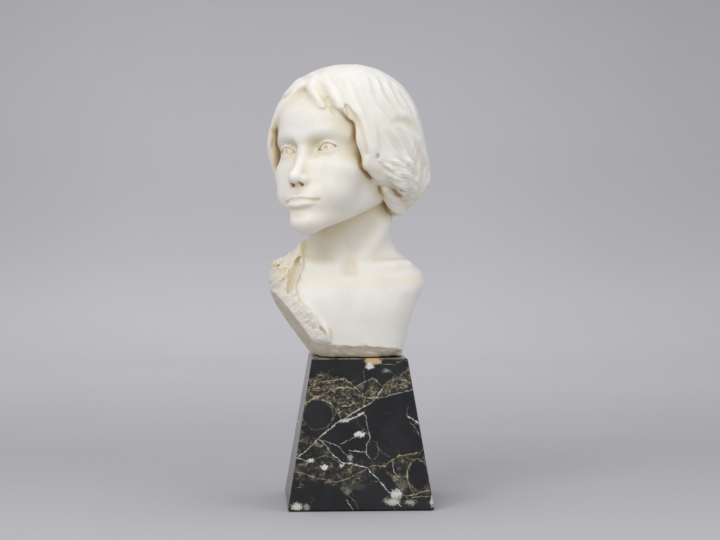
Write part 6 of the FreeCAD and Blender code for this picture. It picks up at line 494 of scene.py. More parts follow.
STROKES = {"groove": [[[[51.8, -11.8, 67.6], [61.1, -15.0, 55.3], [66.7, -13.0, 46.2], [71.0, -7.5, 37.7]], 1.6], [[[55.1, 2.0, 66.4], [63.6, -1.8, 55.0], [70.0, 0.9, 42.9], [72.1, 7.9, 36.7]], 1.6], [[[48.3, -21.9, 67.5], [57.2, -27.8, 53.9], [62.6, -28.9, 43.4], [69.3, -21.8, 32.0], [72.5, -16.4, 25.6]], 1.5], [[[72.8, -16.9, 23.5], [74.7, -4.4, 25.0], [75.6, 4.5, 23.2], [76.2, 13.8, 18.4]], 2.8], [[[44.0, -42.4, 58.1], [53.2, -45.2, 42.1], [59.0, -43.6, 30.1], [63.5, -43.5, 14.2], [64.1, -42.8, 0.8]], 1.3], [[[67.6, -36.1, 14.8], [70.3, -31.9, 1.5], [71.7, -25.6, -8.4]], 1.6], [[[71.5, -28.5, 11.5], [74.8, -19.9, 2.6], [76.3, -12.2, -4.4], [76.6, -7.6, -11.6]], 1.8], [[[75.3, -13.8, 14.9], [77.7, -4.0, 4.3], [78.1, 3.9, -4.6], [77.5, 9.8, -15.5], [76.2, 9.7, -27.2]], 1.9], [[[78.0, 7.6, 7.6], [77.6, 18.4, -2.8], [76.1, 25.5, -12.6], [74.8, 27.4, -25.1]], 1.6], [[[13.9, -43.8, 74.1], [31.9, -51.8, 59.1], [42.7, -53.6, 45.9]], 1.2], [[[-4.1, -50.7, 70.3], [-20.9, -46.6, 69.9], [-25.6, -53.3, 61.5]], 1.5], [[[-22.4, -57.3, 58.6], [-30.8, -57.7, 52.5], [-44.4, -47.0, 53.6]], 1.8], [[[5.8, -55.7, 65.4], [18.5, -62.8, 53.1], [25.5, -65.7, 43.2]], 1.2], [[[46.1, -35.4, 61.8], [56.1, -37.8, 46.7], [61.6, -37.4, 34.6], [66.9, -35.0, 20.8]], 1.2], [[[60.3, 4.8, 60.3], [67.1, 11.9, 48.7], [71.4, 15.9, 36.9]], 1.2], [[[37.0, -53.8, 52.4], [45.7, -54.5, 39.7], [52.6, -52.6, 27.6]], 1.2]], "deep": [[[[44.4, -57.5, 35.6], [48.3, -56.5, 28.5], [53.1, -55.0, 19.6], [56.5, -53.3, 9.8], [58.0, -50.6, 0.4], [58.0, -45.9, -10.5]], 3.0], [[[67.2, -30.9, -16.4], [69.1, -25.4, -20.7], [71.5, -18.9, -24.1]], 2.2], [[[69.4, -17.6, -30.5], [71.9, -9.5, -32.8], [73.8, -5.6, -31.5]], 1.8]], "hole": [[[[65.0, -36.9, -10.6], [65.1, -35.7, -12.9]], 2.0]]}

def sunk(pts, rads, lift):
    """control points moved so that the lock stands lift mm proud of the hair mass"""
    p = np.asarray(pts, float).copy(); r = np.interp(np.linspace(0, 1, len(p)), np.linspace(0, 1, len(rads)), rads)
    lf = np.broadcast_to(np.asarray(lift, float), (len(p),)) if np.ndim(lift) == 0 else np.interp(np.linspace(0, 1, len(p)), np.linspace(0, 1, len(lift)), lift)
    for _ in range(12):
        e = 0.5
        g = np.stack([(hair0(p + np.eye(3)[k] * e) - hair0(p - np.eye(3)[k] * e)) / (2 * e) for k in range(3)], 1)
        g /= np.sqrt((g ** 2).sum(1))[:, None] + 1e-9
        p = p - g * ((hair0(p) + r - lf) * 0.8)[:, None]
    return p

_ROLLS = [
 # points, radii, lift, blend, flutes, flute depth
 ([(22, -46, 66), (31, -54, 57), (38, -57, 47), (43, -56, 35), (45.5, -53, 26)], [7, 7.5, 7, 5, 2.5], [0.5, 1.2, 1.5, 1.5, 0.5], 4.0, (3, 0.5), 0.9),
 ([(10, -46, 70), (20, -57, 60), (29, -61, 50), (35, -61, 41), (37, -60, 35)], [7, 7, 6, 4.2, 2.0], [0.5, 1.2, 1.5, 1.0, 0.0], 4.0, (3, 0.4), 0.8),
 ([(-4, -48, 70), (4, -61, 60), (13, -67, 50), (20, -69, 41), (24, -68, 36)], [6.5, 7, 5.5, 3.8, 1.6], [0.4, 1.0, 1.2, 0.6, -0.5], 4.0, (3, 0.4), 0.8),
 ([(-10, -44, 72), (-18, -57, 62), (-28, -62, 50), (-38, -59, 38), (-46, -53, 25)], [6.5, 7, 6.5, 5.0, 3.0], [0.4, 1.0, 1.3, 1.0, 0.2], 4.0, (3, 0.4), 0.9),
 ([(-28, -38, 66), (-40, -46, 52), (-51, -46, 34), (-58, -42, 14), (-61, -37, -6), (-60, -36, -24), (-56, -40, -37)], [7, 7.5, 7.5, 7, 6.5, 4.6, 1.5],
  [0.3, 0.6, 0.8, 0.6, 0.4, 0.2, -1.0], 5.0, (3, 0.4), 1.0),
 ([(37, -47, 58), (49, -49, 42), (58.5, -46.5, 25), (63, -43.5, 8), (62.5, -41, -6), (57, -41, -16), (53, -42, -23)], [6.5, 7, 7, 6.5, 5.2, 3.2, 1.0],
  [0.6, 1.0, 1.3, 1.3, 1.0, -1.0, -4.0], 3.5, (3, 0.4), 0.9),
]
_RS = [(sunk(p, r, [0.35 * v if v > 0 else v for v in l]), r, k, tw, am) for p, r, l, k, tw, am in _ROLLS]
_CURLS = [
 ([(64, -26.5, -18), (67, -20.5, -23), (69, -12, -29.0), (69, -3, -35), (65, 8, -41)], [4.0, 6.0, 7.0, 7.2, 5.2], 1.4, (3, 0.9), 1.5),
 ([(67, -24, -11), (71, -15, -17), (72.5, -6, -24.0), (72, 3, -31), (68, 15, -39), (64, 25, -43)], [4.6, 6.2, 7.0, 7.0, 6.4, 4.5], 1.4, (3, 0.8), 1.4),
 ([(72, -12, -6), (73.5, 2, -15), (72.5, 13, -27), (67, 19, -38)], [5.5, 7, 7.0, 5.5], 1.8, (3, 0.7), 1.3),
 ([(72, 17, 8), (69, 30, -4), (64.5, 40, -17), (63.5, 40, -30), (62, 32, -40)], [6, 8, 8.5, 8, 6], 2.5, (3, 0.6), 1.3),
 ([(62, 44, 2), (56, 53, -14), (51, 57, -28), (46, 55, -40), (41, 50, -50)], [6, 8, 8, 7, 5.0], 3.0, (3, 0.5), 1.2),
 ([(53, -6, -38), (49, 8, -45), (44, 24, -51), (39, 38, -55)], [6.5, 8.5, 9.5, 7.5], 2.0, (3, 0.6), 1.2),
]

# broad shallow flutes: the tool is held off the surface so that only its edge cuts
_CUTS = []
for _p, _r in STROKES['groove']:
    _f = 0.30 if _p[0][1] < -34 else 1.0
    _CUTS.append((sunk(_p, [4.5, 4.5], 9.0 - (0.8 + 1.2 * _r) * _f), 4.5, 4.5))
_CUTS.append((sunk(STROKES['deep'][0][0], [4.0, 4.0], 8.0 - 4.6), 4.0, 3.0))

def hair(q):
    x, y, z = q.T
    d0 = hair0(q)
    dep, p1, low = hair_relief(q)
    # the side that shows has its own cut strokes, so the general relief is calmer there
    seen = smoothstep(20, 48, x) * smoothstep(66, 44, y)
    top = smoothstep(40, 66, z)
    calm = 1 - 0.55 * seen * (1 - 0.2 * low) - 0.25 * top * (1 - seen)
    d = d0 + dep * calm
    # fold edge at the face
    op = opening(q) + 1.0 * (p1 - 0.5) * smoothstep(-58, -30, y) + 1.2 * waves(q, 21, 24) * smoothstep(30, 55, z)
    d = smax(d, -op, 6.0)
    for pts, rad, k, tw, am in _RS:
        d = roll(q, d, pts, rad, k + 2.5, tw, am * 0.6)
    for pts, rad, k, tw, am in _CURLS:
        d = roll(q, d, pts, rad, k + 0.8, tw, am * 0.9)
    for pts, r, k in _CUTS:
        d = carve(q, d, pts, r, k)
    # drilled hollow between the tips of the fringe
    d = carve(q, d, [(28, -67.5, 37.5), (32.5, -65.5, 33.0), (34.5, -64, 28.5)], 3.6, 1.5)
    return d

def drapery_detail(P, d):
    x, y, z = P.T
    xe = drape_mask(x, z)
    on = smoothstep(-0.5, 2.5, xe) * smoothstep(266, 250, z) * smoothstep(36, 20, y) * smoothstep(152, 156, z)
    facet = smoothstep(0, 5, (P - np.array([-83.4, 15.0, 201.0])) @ (np.array([-0.80, -0.17, -0.585]) / 1.0056) + 4.0)
    d = d + on * (2.1 * np.abs(waves(P, 31, 17)) + 1.1 * np.abs(waves(P, 33, 8)) + 0.25 * waves(P, 35, 3.2) - 0.9) * (1 - 0.6 * facet)
    # gathered edge rising to the strap on the shoulder
    d = roll(P, d, [(-47, 22, 262), (-51, 10, 263), (-54.5, -2, 261.5), (-58, -15, 255), (-60, -27, 246), (-59, -36, 236), (-57, -44, 226), (-56, -49, 212)], [4.5, 6, 6.4, 6, 5.2, 4.6, 4.2, 3.0], 4.0, (3, 0.5), 1.0)
    d = roll(P, d, [(-58, 22, 254), (-62, 6, 254.5), (-65.5, -8, 252), (-69, -20, 247), (-72, -28, 240), (-73, -34, 231)], [4.5, 5.6, 5.2, 4.6, 4.0, 2.6], 4.0, (3, 0.4), 0.8)
    d = roll(P, d, [(-56, -48, 214), (-48, -54, 204), (-40, -57, 193), (-30, -58, 180), (-28.5, -55, 168)], [3.0, 3.6, 3.8, 3.4, 2.5], 2.5, (2, 0.5), 0.8)
    d = carve(P, d, [(-57.5, -28, 250), (-60.5, -37, 243), (-63.5, -43, 234), (-66, -47, 225), (-67.5, -49, 217)], 5.2, 2.0)
    d = carve(P, d, [(-67, -28, 252), (-66.5, -36, 244), (-66, -42, 234)], 2.4, 1.6)
    return d

def torso_full(P):
    t = drape(P, torso(P))
    t = drapery_detail(P, t)
    t = cuts(P, t)
    x, y, z = P.T
    # rough breaks on the lower facets
    low = smoothstep(172, 160, z) * smoothstep(10, -20, y)
    t = t + low * (0.35 * waves(P, 41, 9) + 0.18 * waves(P, 43, 3.6))
    return np.maximum(t, Z0 - z)

HAIR_EDGE = np.array([(-76, 140), (-66, 100), (-60, 80), (-56, 77.5), (-51, 81.5), (-46, 84.0), (-42, 82.7), (-38, 80.0), (-34, 81.5), (-30, 86.5), (-26, 88.4), (-22, 89.6), (-18, 89.6), (-14, 88.0), (-10, 86.6), (-6, 83.8), (-2, 80.7), (2, 79.0), (6, 77.6), (10, 77.4), (14, 78.3), (18, 79.0), (22, 79.2), (26, 79.9), (30, 81.6), (34, 83.2), (38, 84.6), (42, 86.4), (46, 88.6), (50, 90.5), (54, 92.2), (58, 93.7), (62, 94.7), (66, 95.3), (70, 95.8), (74, 96.1), (78, 95.9), (82, 95.0), (86, 94.2), (90, 93.8), (94, 93.5), (98, 93.7), (102, 94.1), (106, 94.7), (110, 95.4), (114, 95.9), (118, 96.2), (122, 96.7), (126, 97.2), (130, 96.8), (134, 95.6), (138, 94.0), (142, 92.3), (146, 90.9), (150, 90.0), (154, 89.5), (158, 88.9), (162, 88.2), (166, 87.6), (170, 87.2), (174, 87.2), (180, 92), (188, 120)])
_ht = np.arange(-76.0, 188.5, 1.0)
_hw = np.interp(_ht, HAIR_EDGE[:, 0], HAIR_EDGE[:, 1])
_hk = np.exp(-0.5 * (np.arange(-10, 11) / 3.4) ** 2)
_hw = np.convolve(np.pad(_hw, 10, mode="edge"), _hk / _hk.sum(), mode="valid") + 1.7
def hair_outline(P):
    k = 1935.4 / (1935.4 + P[:, 1])
    u = 3.0 + (P[:, 0] - 3.0) * k + 8.0; w = 283.6 + (P[:, 2] - 283.6) * k - 355.0
    th = np.degrees(np.arctan2(w, u)); th = np.where(th < -90, th + 360, th)
    lim = np.interp(th, _ht, _hw, left=200.0, right=200.0)
    return (np.sqrt(u * u + w * w) - lim) * 0.93

# last touches of a fine round chisel: points, radius, softness
_FINE = [
 ([(29.2, -63.6, 35.8), (31.6, -63.4, 32.2), (34.6, -62.0, 27.2)], 2.4, 1.3),
 ([(64.6, -36.0, -11.2), (64.9, -35.0, -13.0)], 2.2, 0.9),
 ([(-38.6, -51.2, 54.3), (-38.0, -50.9, 52.6)], 2.4, 1.4),
 ([(-23.0, -56.4, 61.5), (-21.6, -56.6, 60.4)], 2.2, 1.4),
 ([(65, -32.8, -18.3), (67.5, -26.5, -23.6), (70.7, -21.1, -28.1), (74.8, -15.3, -30.7), (75.8, -5.9, -31.7)], 1.9, 2.2),
 ([(60.2, -13, -35.1), (65.4, -5.3, -39.1), (68.5, 3.7, -42.8)], 2.0, 2.2),
]
def fine_cuts(q, h):
    for pts, r, k in _FINE:
        h = carve(q, h, pts if len(pts) > 2 else [pts[0], tuple(0.5 * (np.array(pts[0]) + np.array(pts[1]))), pts[1]], r, k)
    return h

def full(P):
    out = np.empty(len(P))
    zz = P[:, 2]
    q = to_head(P)
    hi = zz > 258
    out[:] = 50.0
    h = np.full(len(P), 50.0)
    i = np.flatnonzero(hi)
    if len(i):
        qi = q[i]
        hd = head(qi)
        r = np.sqrt(((qi - np.array([0, 4, 0])) ** 2).sum(1))
        hr = hair0(qi)
        j = np.flatnonzero(np.abs(hr) < 22)
        if len(j): hr[j] = hair(qi[j])
        # the locks melt into the forehead, and stand off the cheek
        x_, y_, z_ = qi.T
        kk = 1.2 + 4.5 * smoothstep(22, 42, z_) + 2.5 * smoothstep(-20, -45, x_) * smoothstep(-20, 0, z_)
        hr = smax(hr, hair_outline(P[i]) / HEAD_S, 6.0)
        a = np.clip(0.5 + 0.5 * (hd - hr) / kk, 0, 1)
        h[i] = fine_cuts(qi, hd + (hr - hd) * a - kk * a * (1 - a)) * HEAD_S
    t = np.full(len(P), 50.0)
    i = np.flatnonzero(zz < 335)
    if len(i): t[i] = torso_full(P[i])
    return smin(h, t, 3.5)

# ---------------------------------------------------------------- skinning
_pool = ThreadPoolExecutor(4)
def field_at(f, P, n=16000):
    parts = [P[i:i + n] for i in range(0, len(P), n)]
    if not parts: return np.zeros(0)
    return np.concatenate(list(_pool.map(f, parts)))

def rect_mesh(f, xs, ys, zs, steps=(8, 4, 2, 1), slack=1.35):
    """surface net on a rectilinear grid, evaluated only near the surface"""
    s0 = steps[0]
    X = [xs, ys, zs]
    def pad(a):
        n = (-(len(a) - 1)) % s0
        st = a[-1] - a[-2]
        return np.r_[a, a[-1] + st * np.arange(1, n + 1)]
    X = [pad(a) for a in X]
    N = [len(a) for a in X]
    V = np.full(N, 5.0, np.float32)
    done = np.zeros(N, bool)
    g = np.stack(np.meshgrid(*[np.arange(0, n, s0) for n in N], indexing="ij"), -1).reshape(-1, 3)
    cells = np.stack(np.meshgrid(*[np.arange(0, n - 1, s0) for n in N], indexing="ij"), -1).reshape(-1, 3)
    off = np.array([(a, b, c) for a in (0, 1) for b in (0, 1) for c in (0, 1)])
    nev = 0
    for li, s in enumerate(steps):
        if li:
            # children of the active cells
            cells = (cells[:, None, :] + off[None] * s).reshape(-1, 3)
            g = (cells[:, None, :] + off[None] * s).reshape(-1, 3)
            key = (g[:, 0] * N[1] + g[:, 1]) * N[2] + g[:, 2]
            g = g[np.unique(key, return_index=True)[1]]
        todo = g[~done[g[:, 0], g[:, 1], g[:, 2]]]
        P = np.stack([X[k][todo[:, k]] for k in range(3)], 1)
        v = field_at(f, P); nev += len(P)
        V[todo[:, 0], todo[:, 1], todo[:, 2]] = v
        done[todo[:, 0], todo[:, 1], todo[:, 2]] = True
        if s > 1:
            gv = V[g[:, 0], g[:, 1], g[:, 2]]
            sg = np.where(gv < 0, -5.0, 5.0).astype(np.float32)
            for a in range(s):
                for b in range(s):
                    for c in range(s):
                        if a == b == c == 0: continue
                        i, j, k = g[:, 0] + a, g[:, 1] + b, g[:, 2] + c
                        ok = (i < N[0]) & (j < N[1]) & (k < N[2])
                        i, j, k, w = i[ok], j[ok], k[ok], sg[ok]
                        fr = ~done[i, j, k]
                        V[i[fr], j[fr], k[fr]] = w[fr]
        mn = np.full(len(cells), np.inf); mx = np.full(len(cells), -np.inf)
        for o in off:
            q = cells + o * s
            vv = V[q[:, 0], q[:, 1], q[:, 2]]
            mn = np.minimum(mn, vv); mx = np.maximum(mx, vv)
        dg = np.zeros(len(cells))
        for k in range(3):
            dg += (X[k][cells[:, k] + s] - X[k][cells[:, k]]) ** 2
        dg = np.sqrt(dg) * 0.5 * slack
        act = ((mn < 0) & (mx >= 0)) | (np.minimum(np.abs(mn), np.abs(mx)) < dg)
        cells = cells[act]
    S = V < 0
    S[0] = S[-1] = False; S[:, 0] = S[:, -1] = False; S[:, :, 0] = S[:, :, -1] = False
    V = np.where(S, V, np.abs(V))
    cnt = np.zeros(len(cells), int)
    for o in off:
        q = cells + o
        cnt += S[q[:, 0], q[:, 1], q[:, 2]]
    cells = cells[(cnt > 0) & (cnt < 8)]
    idx = np.full([n - 1 for n in N], -1, np.int64); idx[cells[:, 0], cells[:, 1], cells[:, 2]] = np.arange(len(cells))
    acc = np.zeros((len(cells), 3)); m = np.zeros(len(cells))
    for o in off:
        for ax in range(3):
            if o[ax] == 1: continue
            o1 = o.copy(); o1[ax] = 1
            i0 = cells + o; i1 = cells + o1
            v0 = V[i0[:, 0], i0[:, 1], i0[:, 2]].astype(float); v1 = V[i1[:, 0], i1[:, 1], i1[:, 2]].astype(float)
            cr = (v0 < 0) != (v1 < 0)
            t = np.where(cr, v0 / np.where(cr, v0 - v1, 1), 0)
            p = np.stack([X[k][i0[:, k]] + (t * (X[k][i1[:, k]] - X[k][i0[:, k]]) if k == ax else 0) for k in range(3)], 1)
            acc[cr] += p[cr]; m[cr] += 1
    verts = acc / m[:, None]
    quads = []
    for ax in range(3):
        a, b = [(1, 2), (2, 0), (0, 1)][ax]
        sl0 = [slice(None)] * 3; sl1 = [slice(None)] * 3
        sl0[ax] = slice(0, -1); sl1[ax] = slice(1, None)
        E = np.argwhere(S[tuple(sl0)] != S[tuple(sl1)])
        E = E[(E[:, a] > 0) & (E[:, b] > 0)]
        s0_ = S[E[:, 0], E[:, 1], E[:, 2]]
        def at(da, db):
            q = E.copy(); q[:, a] -= da; q[:, b] -= db
            return idx[q[:, 0], q[:, 1], q[:, 2]]
        q = np.stack([at(1, 1), at(0, 1), at(0, 0), at(1, 0)], 1)
        q[~s0_] = q[~s0_][:, ::-1]
        quads.append(q)
    Q = np.concatenate(quads)
    bad = (Q < 0).any(1)
    Q = Q[~bad]
    return verts, Q, nev

def grad(f, V, d, e=0.12):
    return np.stack([(field_at(f, V + np.eye(3)[k] * e) - d) / e for k in range(3)], 1)

def project(f, V, it=1, cap=0.6):
    for _ in range(it):
        d = field_at(f, V)
        G = grad(f, V, d)
        g2 = (G ** 2).sum(1) + 1e-3
        sv = -(d / g2)[:, None] * G
        L = np.sqrt((sv ** 2).sum(1)); V = V + sv * np.minimum(1, cap / np.maximum(L, 1e-9))[:, None]
    return V

def normals(V, Q):
    n = np.cross(V[Q[:, 2]] - V[Q[:, 0]], V[Q[:, 3]] - V[Q[:, 1]])
    N = np.stack([np.bincount(Q.ravel(), weights=np.repeat(n[:, k], 4), minlength=len(V)) for k in range(3)], 1)
    return N / np.maximum(np.linalg.norm(N, axis=1), 1e-12)[:, None]

def relax(V, Q, lam=0.5, it=2, f=None):
    E = np.concatenate([Q[:, [0, 1]], Q[:, [1, 2]], Q[:, [2, 3]], Q[:, [3, 0]]])
    E = np.concatenate([E, E[:, ::-1]])
    deg = np.maximum(np.bincount(E[:, 0], minlength=len(V)).astype(float), 1)
    for _ in range(it):
        M = np.stack([np.bincount(E[:, 0], weights=V[E[:, 1], k], minlength=len(V)) for k in range(3)], 1) / deg[:, None]
        Nn = normals(V, Q)
        dl = M - V
        dl -= (dl * Nn).sum(1)[:, None] * Nn
        V = V + lam * dl
    return V

# ================================================================ the sculpted block
HS = 1.15
YAW = math.radians(-3.41)
TO_ROW = np.array([[math.cos(YAW), -math.sin(YAW), 0], [math.sin(YAW), math.cos(YAW), 0], [0, 0, 1.0]])


def axis(lo, hi, h, a, b, hf):
    out = [lo]
    while out[-1] < hi:
        x = out[-1]
        w = min(max((x - (a - 10)) / 10, 0), 1) * min(max(((b + 10) - x) / 10, 0), 1)
        out.append(x + h + (hf - h) * w)
    return np.array(out)


def mesh_object(name, V, faces, mat, smooth=True):
    me = bpy.data.meshes.new(name)
    me.vertices.add(len(V)); me.vertices.foreach_set("co", np.asarray(V, np.float32).ravel())
    F = np.asarray(faces, np.int32)
    me.loops.add(F.size); me.loops.foreach_set("vertex_index", F.ravel())
    me.polygons.add(len(F)); me.polygons.foreach_set("loop_start", np.arange(0, F.size, F.shape[1], dtype=np.int32))
    me.update(calc_edges=True); me.validate()
    me.polygons.foreach_set("use_smooth", np.full(len(me.polygons), smooth, bool))
    me.materials.append(mat)
    ob = bpy.data.objects.new(name, me)
    bpy.context.scene.collection.objects.link(ob)
    return ob


def build_bust(mat):
    hf = HS * 0.70
    xs = axis(-104, 88, HS, -90, 12, hf); ys = axis(-100, 98, HS, -92, -30, hf); zs = axis(147, 458, HS, 280, 400, hf)
    V, Q, n = rect_mesh(full, xs, ys, zs)
    V = relax(V, Q, it=2)
    V = project(full, V, it=1)
    V[:, 2] = np.maximum(V[:, 2], Z0)
    V = V @ TO_ROW.T
    # stay inside the solid's own box: the outermost 14 mm is eased in where it would pass it
    lo, hi = [np.array(v) * 1000.0 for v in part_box("bust")]
    for a in range(3):
        for sgn, lim in ((1, hi[a] - 0.15), (-1, -lo[a] - 0.15)):
            if a == 2 and sgn < 0: continue
            c = V[:, a] * sgn
            if c.max() > lim:
                s = 14.0 / (c.max() - lim + 14.0)
                V[:, a] = np.where(c > lim - 14.0, lim - 14.0 + (c - (lim - 14.0)) * s, c) * sgn
    ob = mesh_object("bust_carving", V * 0.001, Q, mat)
    tris = 2 * len(Q)
    want = 186000
    if tris > want:
        m = ob.modifiers.new("thin", "DECIMATE"); m.ratio = want / tris
        dg = bpy.context.evaluated_depsgraph_get()
        me = bpy.data.meshes.new_from_object(ob.evaluated_get(dg))
        ob.modifiers.clear(); old = ob.data; ob.data = me; me.name = "bust_carving"; bpy.data.meshes.remove(old)
        if not len(me.materials): me.materials.append(mat)
    me = ob.data
    me.polygons.foreach_set("use_smooth", np.ones(len(me.polygons), bool))
    co = np.empty(len(me.vertices) * 3, np.float32); me.vertices.foreach_get("co", co)
    no = np.empty(len(me.vertices) * 3, np.float32); me.vertex_normals.foreach_get("vector", no)
    P = (co.reshape(-1, 3).astype(float) * 1000) @ TO_ROW
    N = no.reshape(-1, 3).astype(float) @ TO_ROW
    # how closed in each point is, near and far: the near value sets dust in the hollows together with painted shade,
    # the wide one sets painted warm shade
    near = np.clip((2.2 - field_at(full, P + N * 2.2)) / 2.2, 0, 1)
    far = np.zeros(len(P))
    for t in (5.0, 9.0):
        far += 0.5 * np.clip((t - field_at(full, P + N * t)) / t, 0, 1)
    cav = np.clip(0.45 * near + 0.75 * far, 0, 1)
    wide_painted_shade = np.zeros(len(P))
    for t in (14.0, 26.0):
        wide_painted_shade += 0.5 * np.clip((t - field_at(full, P + N * t)) / t, 0, 1)
    # left from the point: drapery edge and lower facets
    x, y, z = P.T
    t = np.zeros(len(P))
    dr = smoothstep(-1.0, 2.0, drape_mask(x, z)) * smoothstep(268, 250, z) * smoothstep(36, 20, y)
    # lower facets facing downward; the marble gives them stain on the rough cut together with painted shade
    fac = smoothstep(-0.42, -0.58, N[:, 2]) * smoothstep(168, 165, z) * smoothstep(-0.15, -0.35, N[:, 1])
    n2 = np.array([-0.80, -0.17, -0.585]); n2 /= np.linalg.norm(n2)
    fac2 = smoothstep(0.86, 0.95, N @ n2) * smoothstep(225, 210, z)
    for nm, val in (("cav", cav), ("wide_painted_shade", wide_painted_shade), ("drape", dr), ("facet", np.clip(fac + fac2, 0, 1))):
        at = me.attributes.new(nm, "FLOAT", "POINT"); at.data.foreach_set("value", val.astype(np.float32))
    return ob


# ================================================================ node helpers
class Net:
    def __init__(self, name):
        self.mat = bpy.data.materials.new(name); self.mat.use_nodes = True
        self.t = self.mat.node_tree
        self.b = self.t.nodes["Principled BSDF"]
    def add(self, kind, **kw):
        n = self.t.nodes.new(kind)
        for k, v in kw.items(): setattr(n, k, v)
        return n
    def link(self, a, b): self.t.links.new(a, b)
    def put(self, sock, v):
        if hasattr(v, "is_linked") or hasattr(v, "links"): self.link(v, sock)
        else: sock.default_value = v
    def math(self, op, a, b=None, c=None, clamp=False):
        n = self.add("ShaderNodeMath", operation=op, use_clamp=clamp)
        self.put(n.inputs[0], a)
        if b is not None: self.put(n.inputs[1], b)
        if c is not None: self.put(n.inputs[2], c)
        return n.outputs[0]
    def vmath(self, op, a, b=None, scale=None):
        n = self.add("ShaderNodeVectorMath", operation=op)
        self.put(n.inputs[0], a)
        if b is not None: self.put(n.inputs[1], b)
        if scale is not None: self.put(n.inputs["Scale"], scale)
        return n.outputs["Value"] if op in ("DOT_PRODUCT", "LENGTH", "DISTANCE") else n.outputs[0]
    def ramp(self, v, lo, hi, a=0.0, b=1.0, kind="SMOOTHSTEP"):
        n = self.add("ShaderNodeMapRange", interpolation_type=kind); n.clamp = True if kind == "LINEAR" else n.clamp
        self.put(n.inputs["Value"], v)
        n.inputs["From Min"].default_value = lo; n.inputs["From Max"].default_value = hi
        n.inputs["To Min"].default_value = a; n.inputs["To Max"].default_value = b
        return n.outputs["Result"]
    def noise(self, vec, scale, detail=3.0, rough=0.5, dist=0.0, color=False, w=None):
        n = self.add("ShaderNodeTexNoise")
        if w is not None: n.noise_dimensions = "4D"; n.inputs["W"].default_value = w
        self.put(n.inputs["Vector"], vec)
        n.inputs["Scale"].default_value = scale; n.inputs["Detail"].default_value = detail
        n.inputs["Roughness"].default_value = rough; n.inputs["Distortion"].default_value = dist
        return n.outputs["Color"] if color else n.outputs["Fac"]
    def voro(self, vec, scale, feature="DISTANCE_TO_EDGE", rnd=1.0):
        n = self.add("ShaderNodeTexVoronoi", feature=feature)
        self.put(n.inputs["Vector"], vec); n.inputs["Scale"].default_value = scale
        n.inputs["Randomness"].default_value = rnd
        return n.outputs["Distance"]
    def mix(self, f, a, b, mode="MIX"):
        n = self.add("ShaderNodeMix", data_type="RGBA", blend_type=mode)
        self.put(n.inputs[0], f)
        self.put(n.inputs[6], a if not isinstance(a, tuple) else (*a, 1)); self.put(n.inputs[7], b if not isinstance(b, tuple) else (*b, 1))
        return n.outputs[2]
    def coord(self):
        return self.vmath("SCALE", self.add("ShaderNodeTexCoord").outputs["Object"], scale=1000.0)
    def bump(self, h, strength, dist_mm, normal=None):
        n = self.add("ShaderNodeBump"); n.inputs["Strength"].default_value = strength; n.inputs["Distance"].default_value = dist_mm * 0.001
        self.put(n.inputs["Height"], h)
        if normal is not None: self.link(normal, n.inputs["Normal"])
        return n.outputs["Normal"]
    def attr(self, name):
        n = self.add("ShaderNodeAttribute", attribute_name=name); return n.outputs["Fac"]
    def curve(self, v, pts, straight=True):
        """y of a polyline through pts; v and pts both in millimetres"""
        xs_ = [p[0] for p in pts]; ys_ = [p[1] for p in pts]
        x0, x1 = min(xs_), max(xs_); y0, y1 = min(ys_) - 1e-3, max(ys_) + 1e-3
        n = self.add("ShaderNodeFloatCurve")
        self.put(n.inputs["Value"], self.ramp(v, x0, x1, kind="LINEAR"))
        c = n.mapping.curves[0]
        P = sorted(((p[0] - x0) / (x1 - x0), (p[1] - y0) / (y1 - y0)) for p in pts)
        c.points[0].location = P[0]; c.points[1].location = P[-1]
        for p in P[1:-1]: c.points.new(*p)
        for p in c.points: p.handle_type = "VECTOR" if straight else "AUTO"
        n.mapping.update()
        return self.math("MULTIPLY_ADD", n.outputs[0], y1 - y0, y0)
    def out(self, color=None, rough=None, normal=None, **fixed):
        if color is not None: self.put(self.b.inputs["Base Color"], color if not isinstance(color, tuple) else (*color, 1))
        if rough is not None: self.put(self.b.inputs["Roughness"], rough)
        if normal is not None: self.link(normal, self.b.inputs["Normal"])
        for k, v in fixed.items(): self.b.inputs[k.replace("_", " ")].default_value = v
        return self.mat


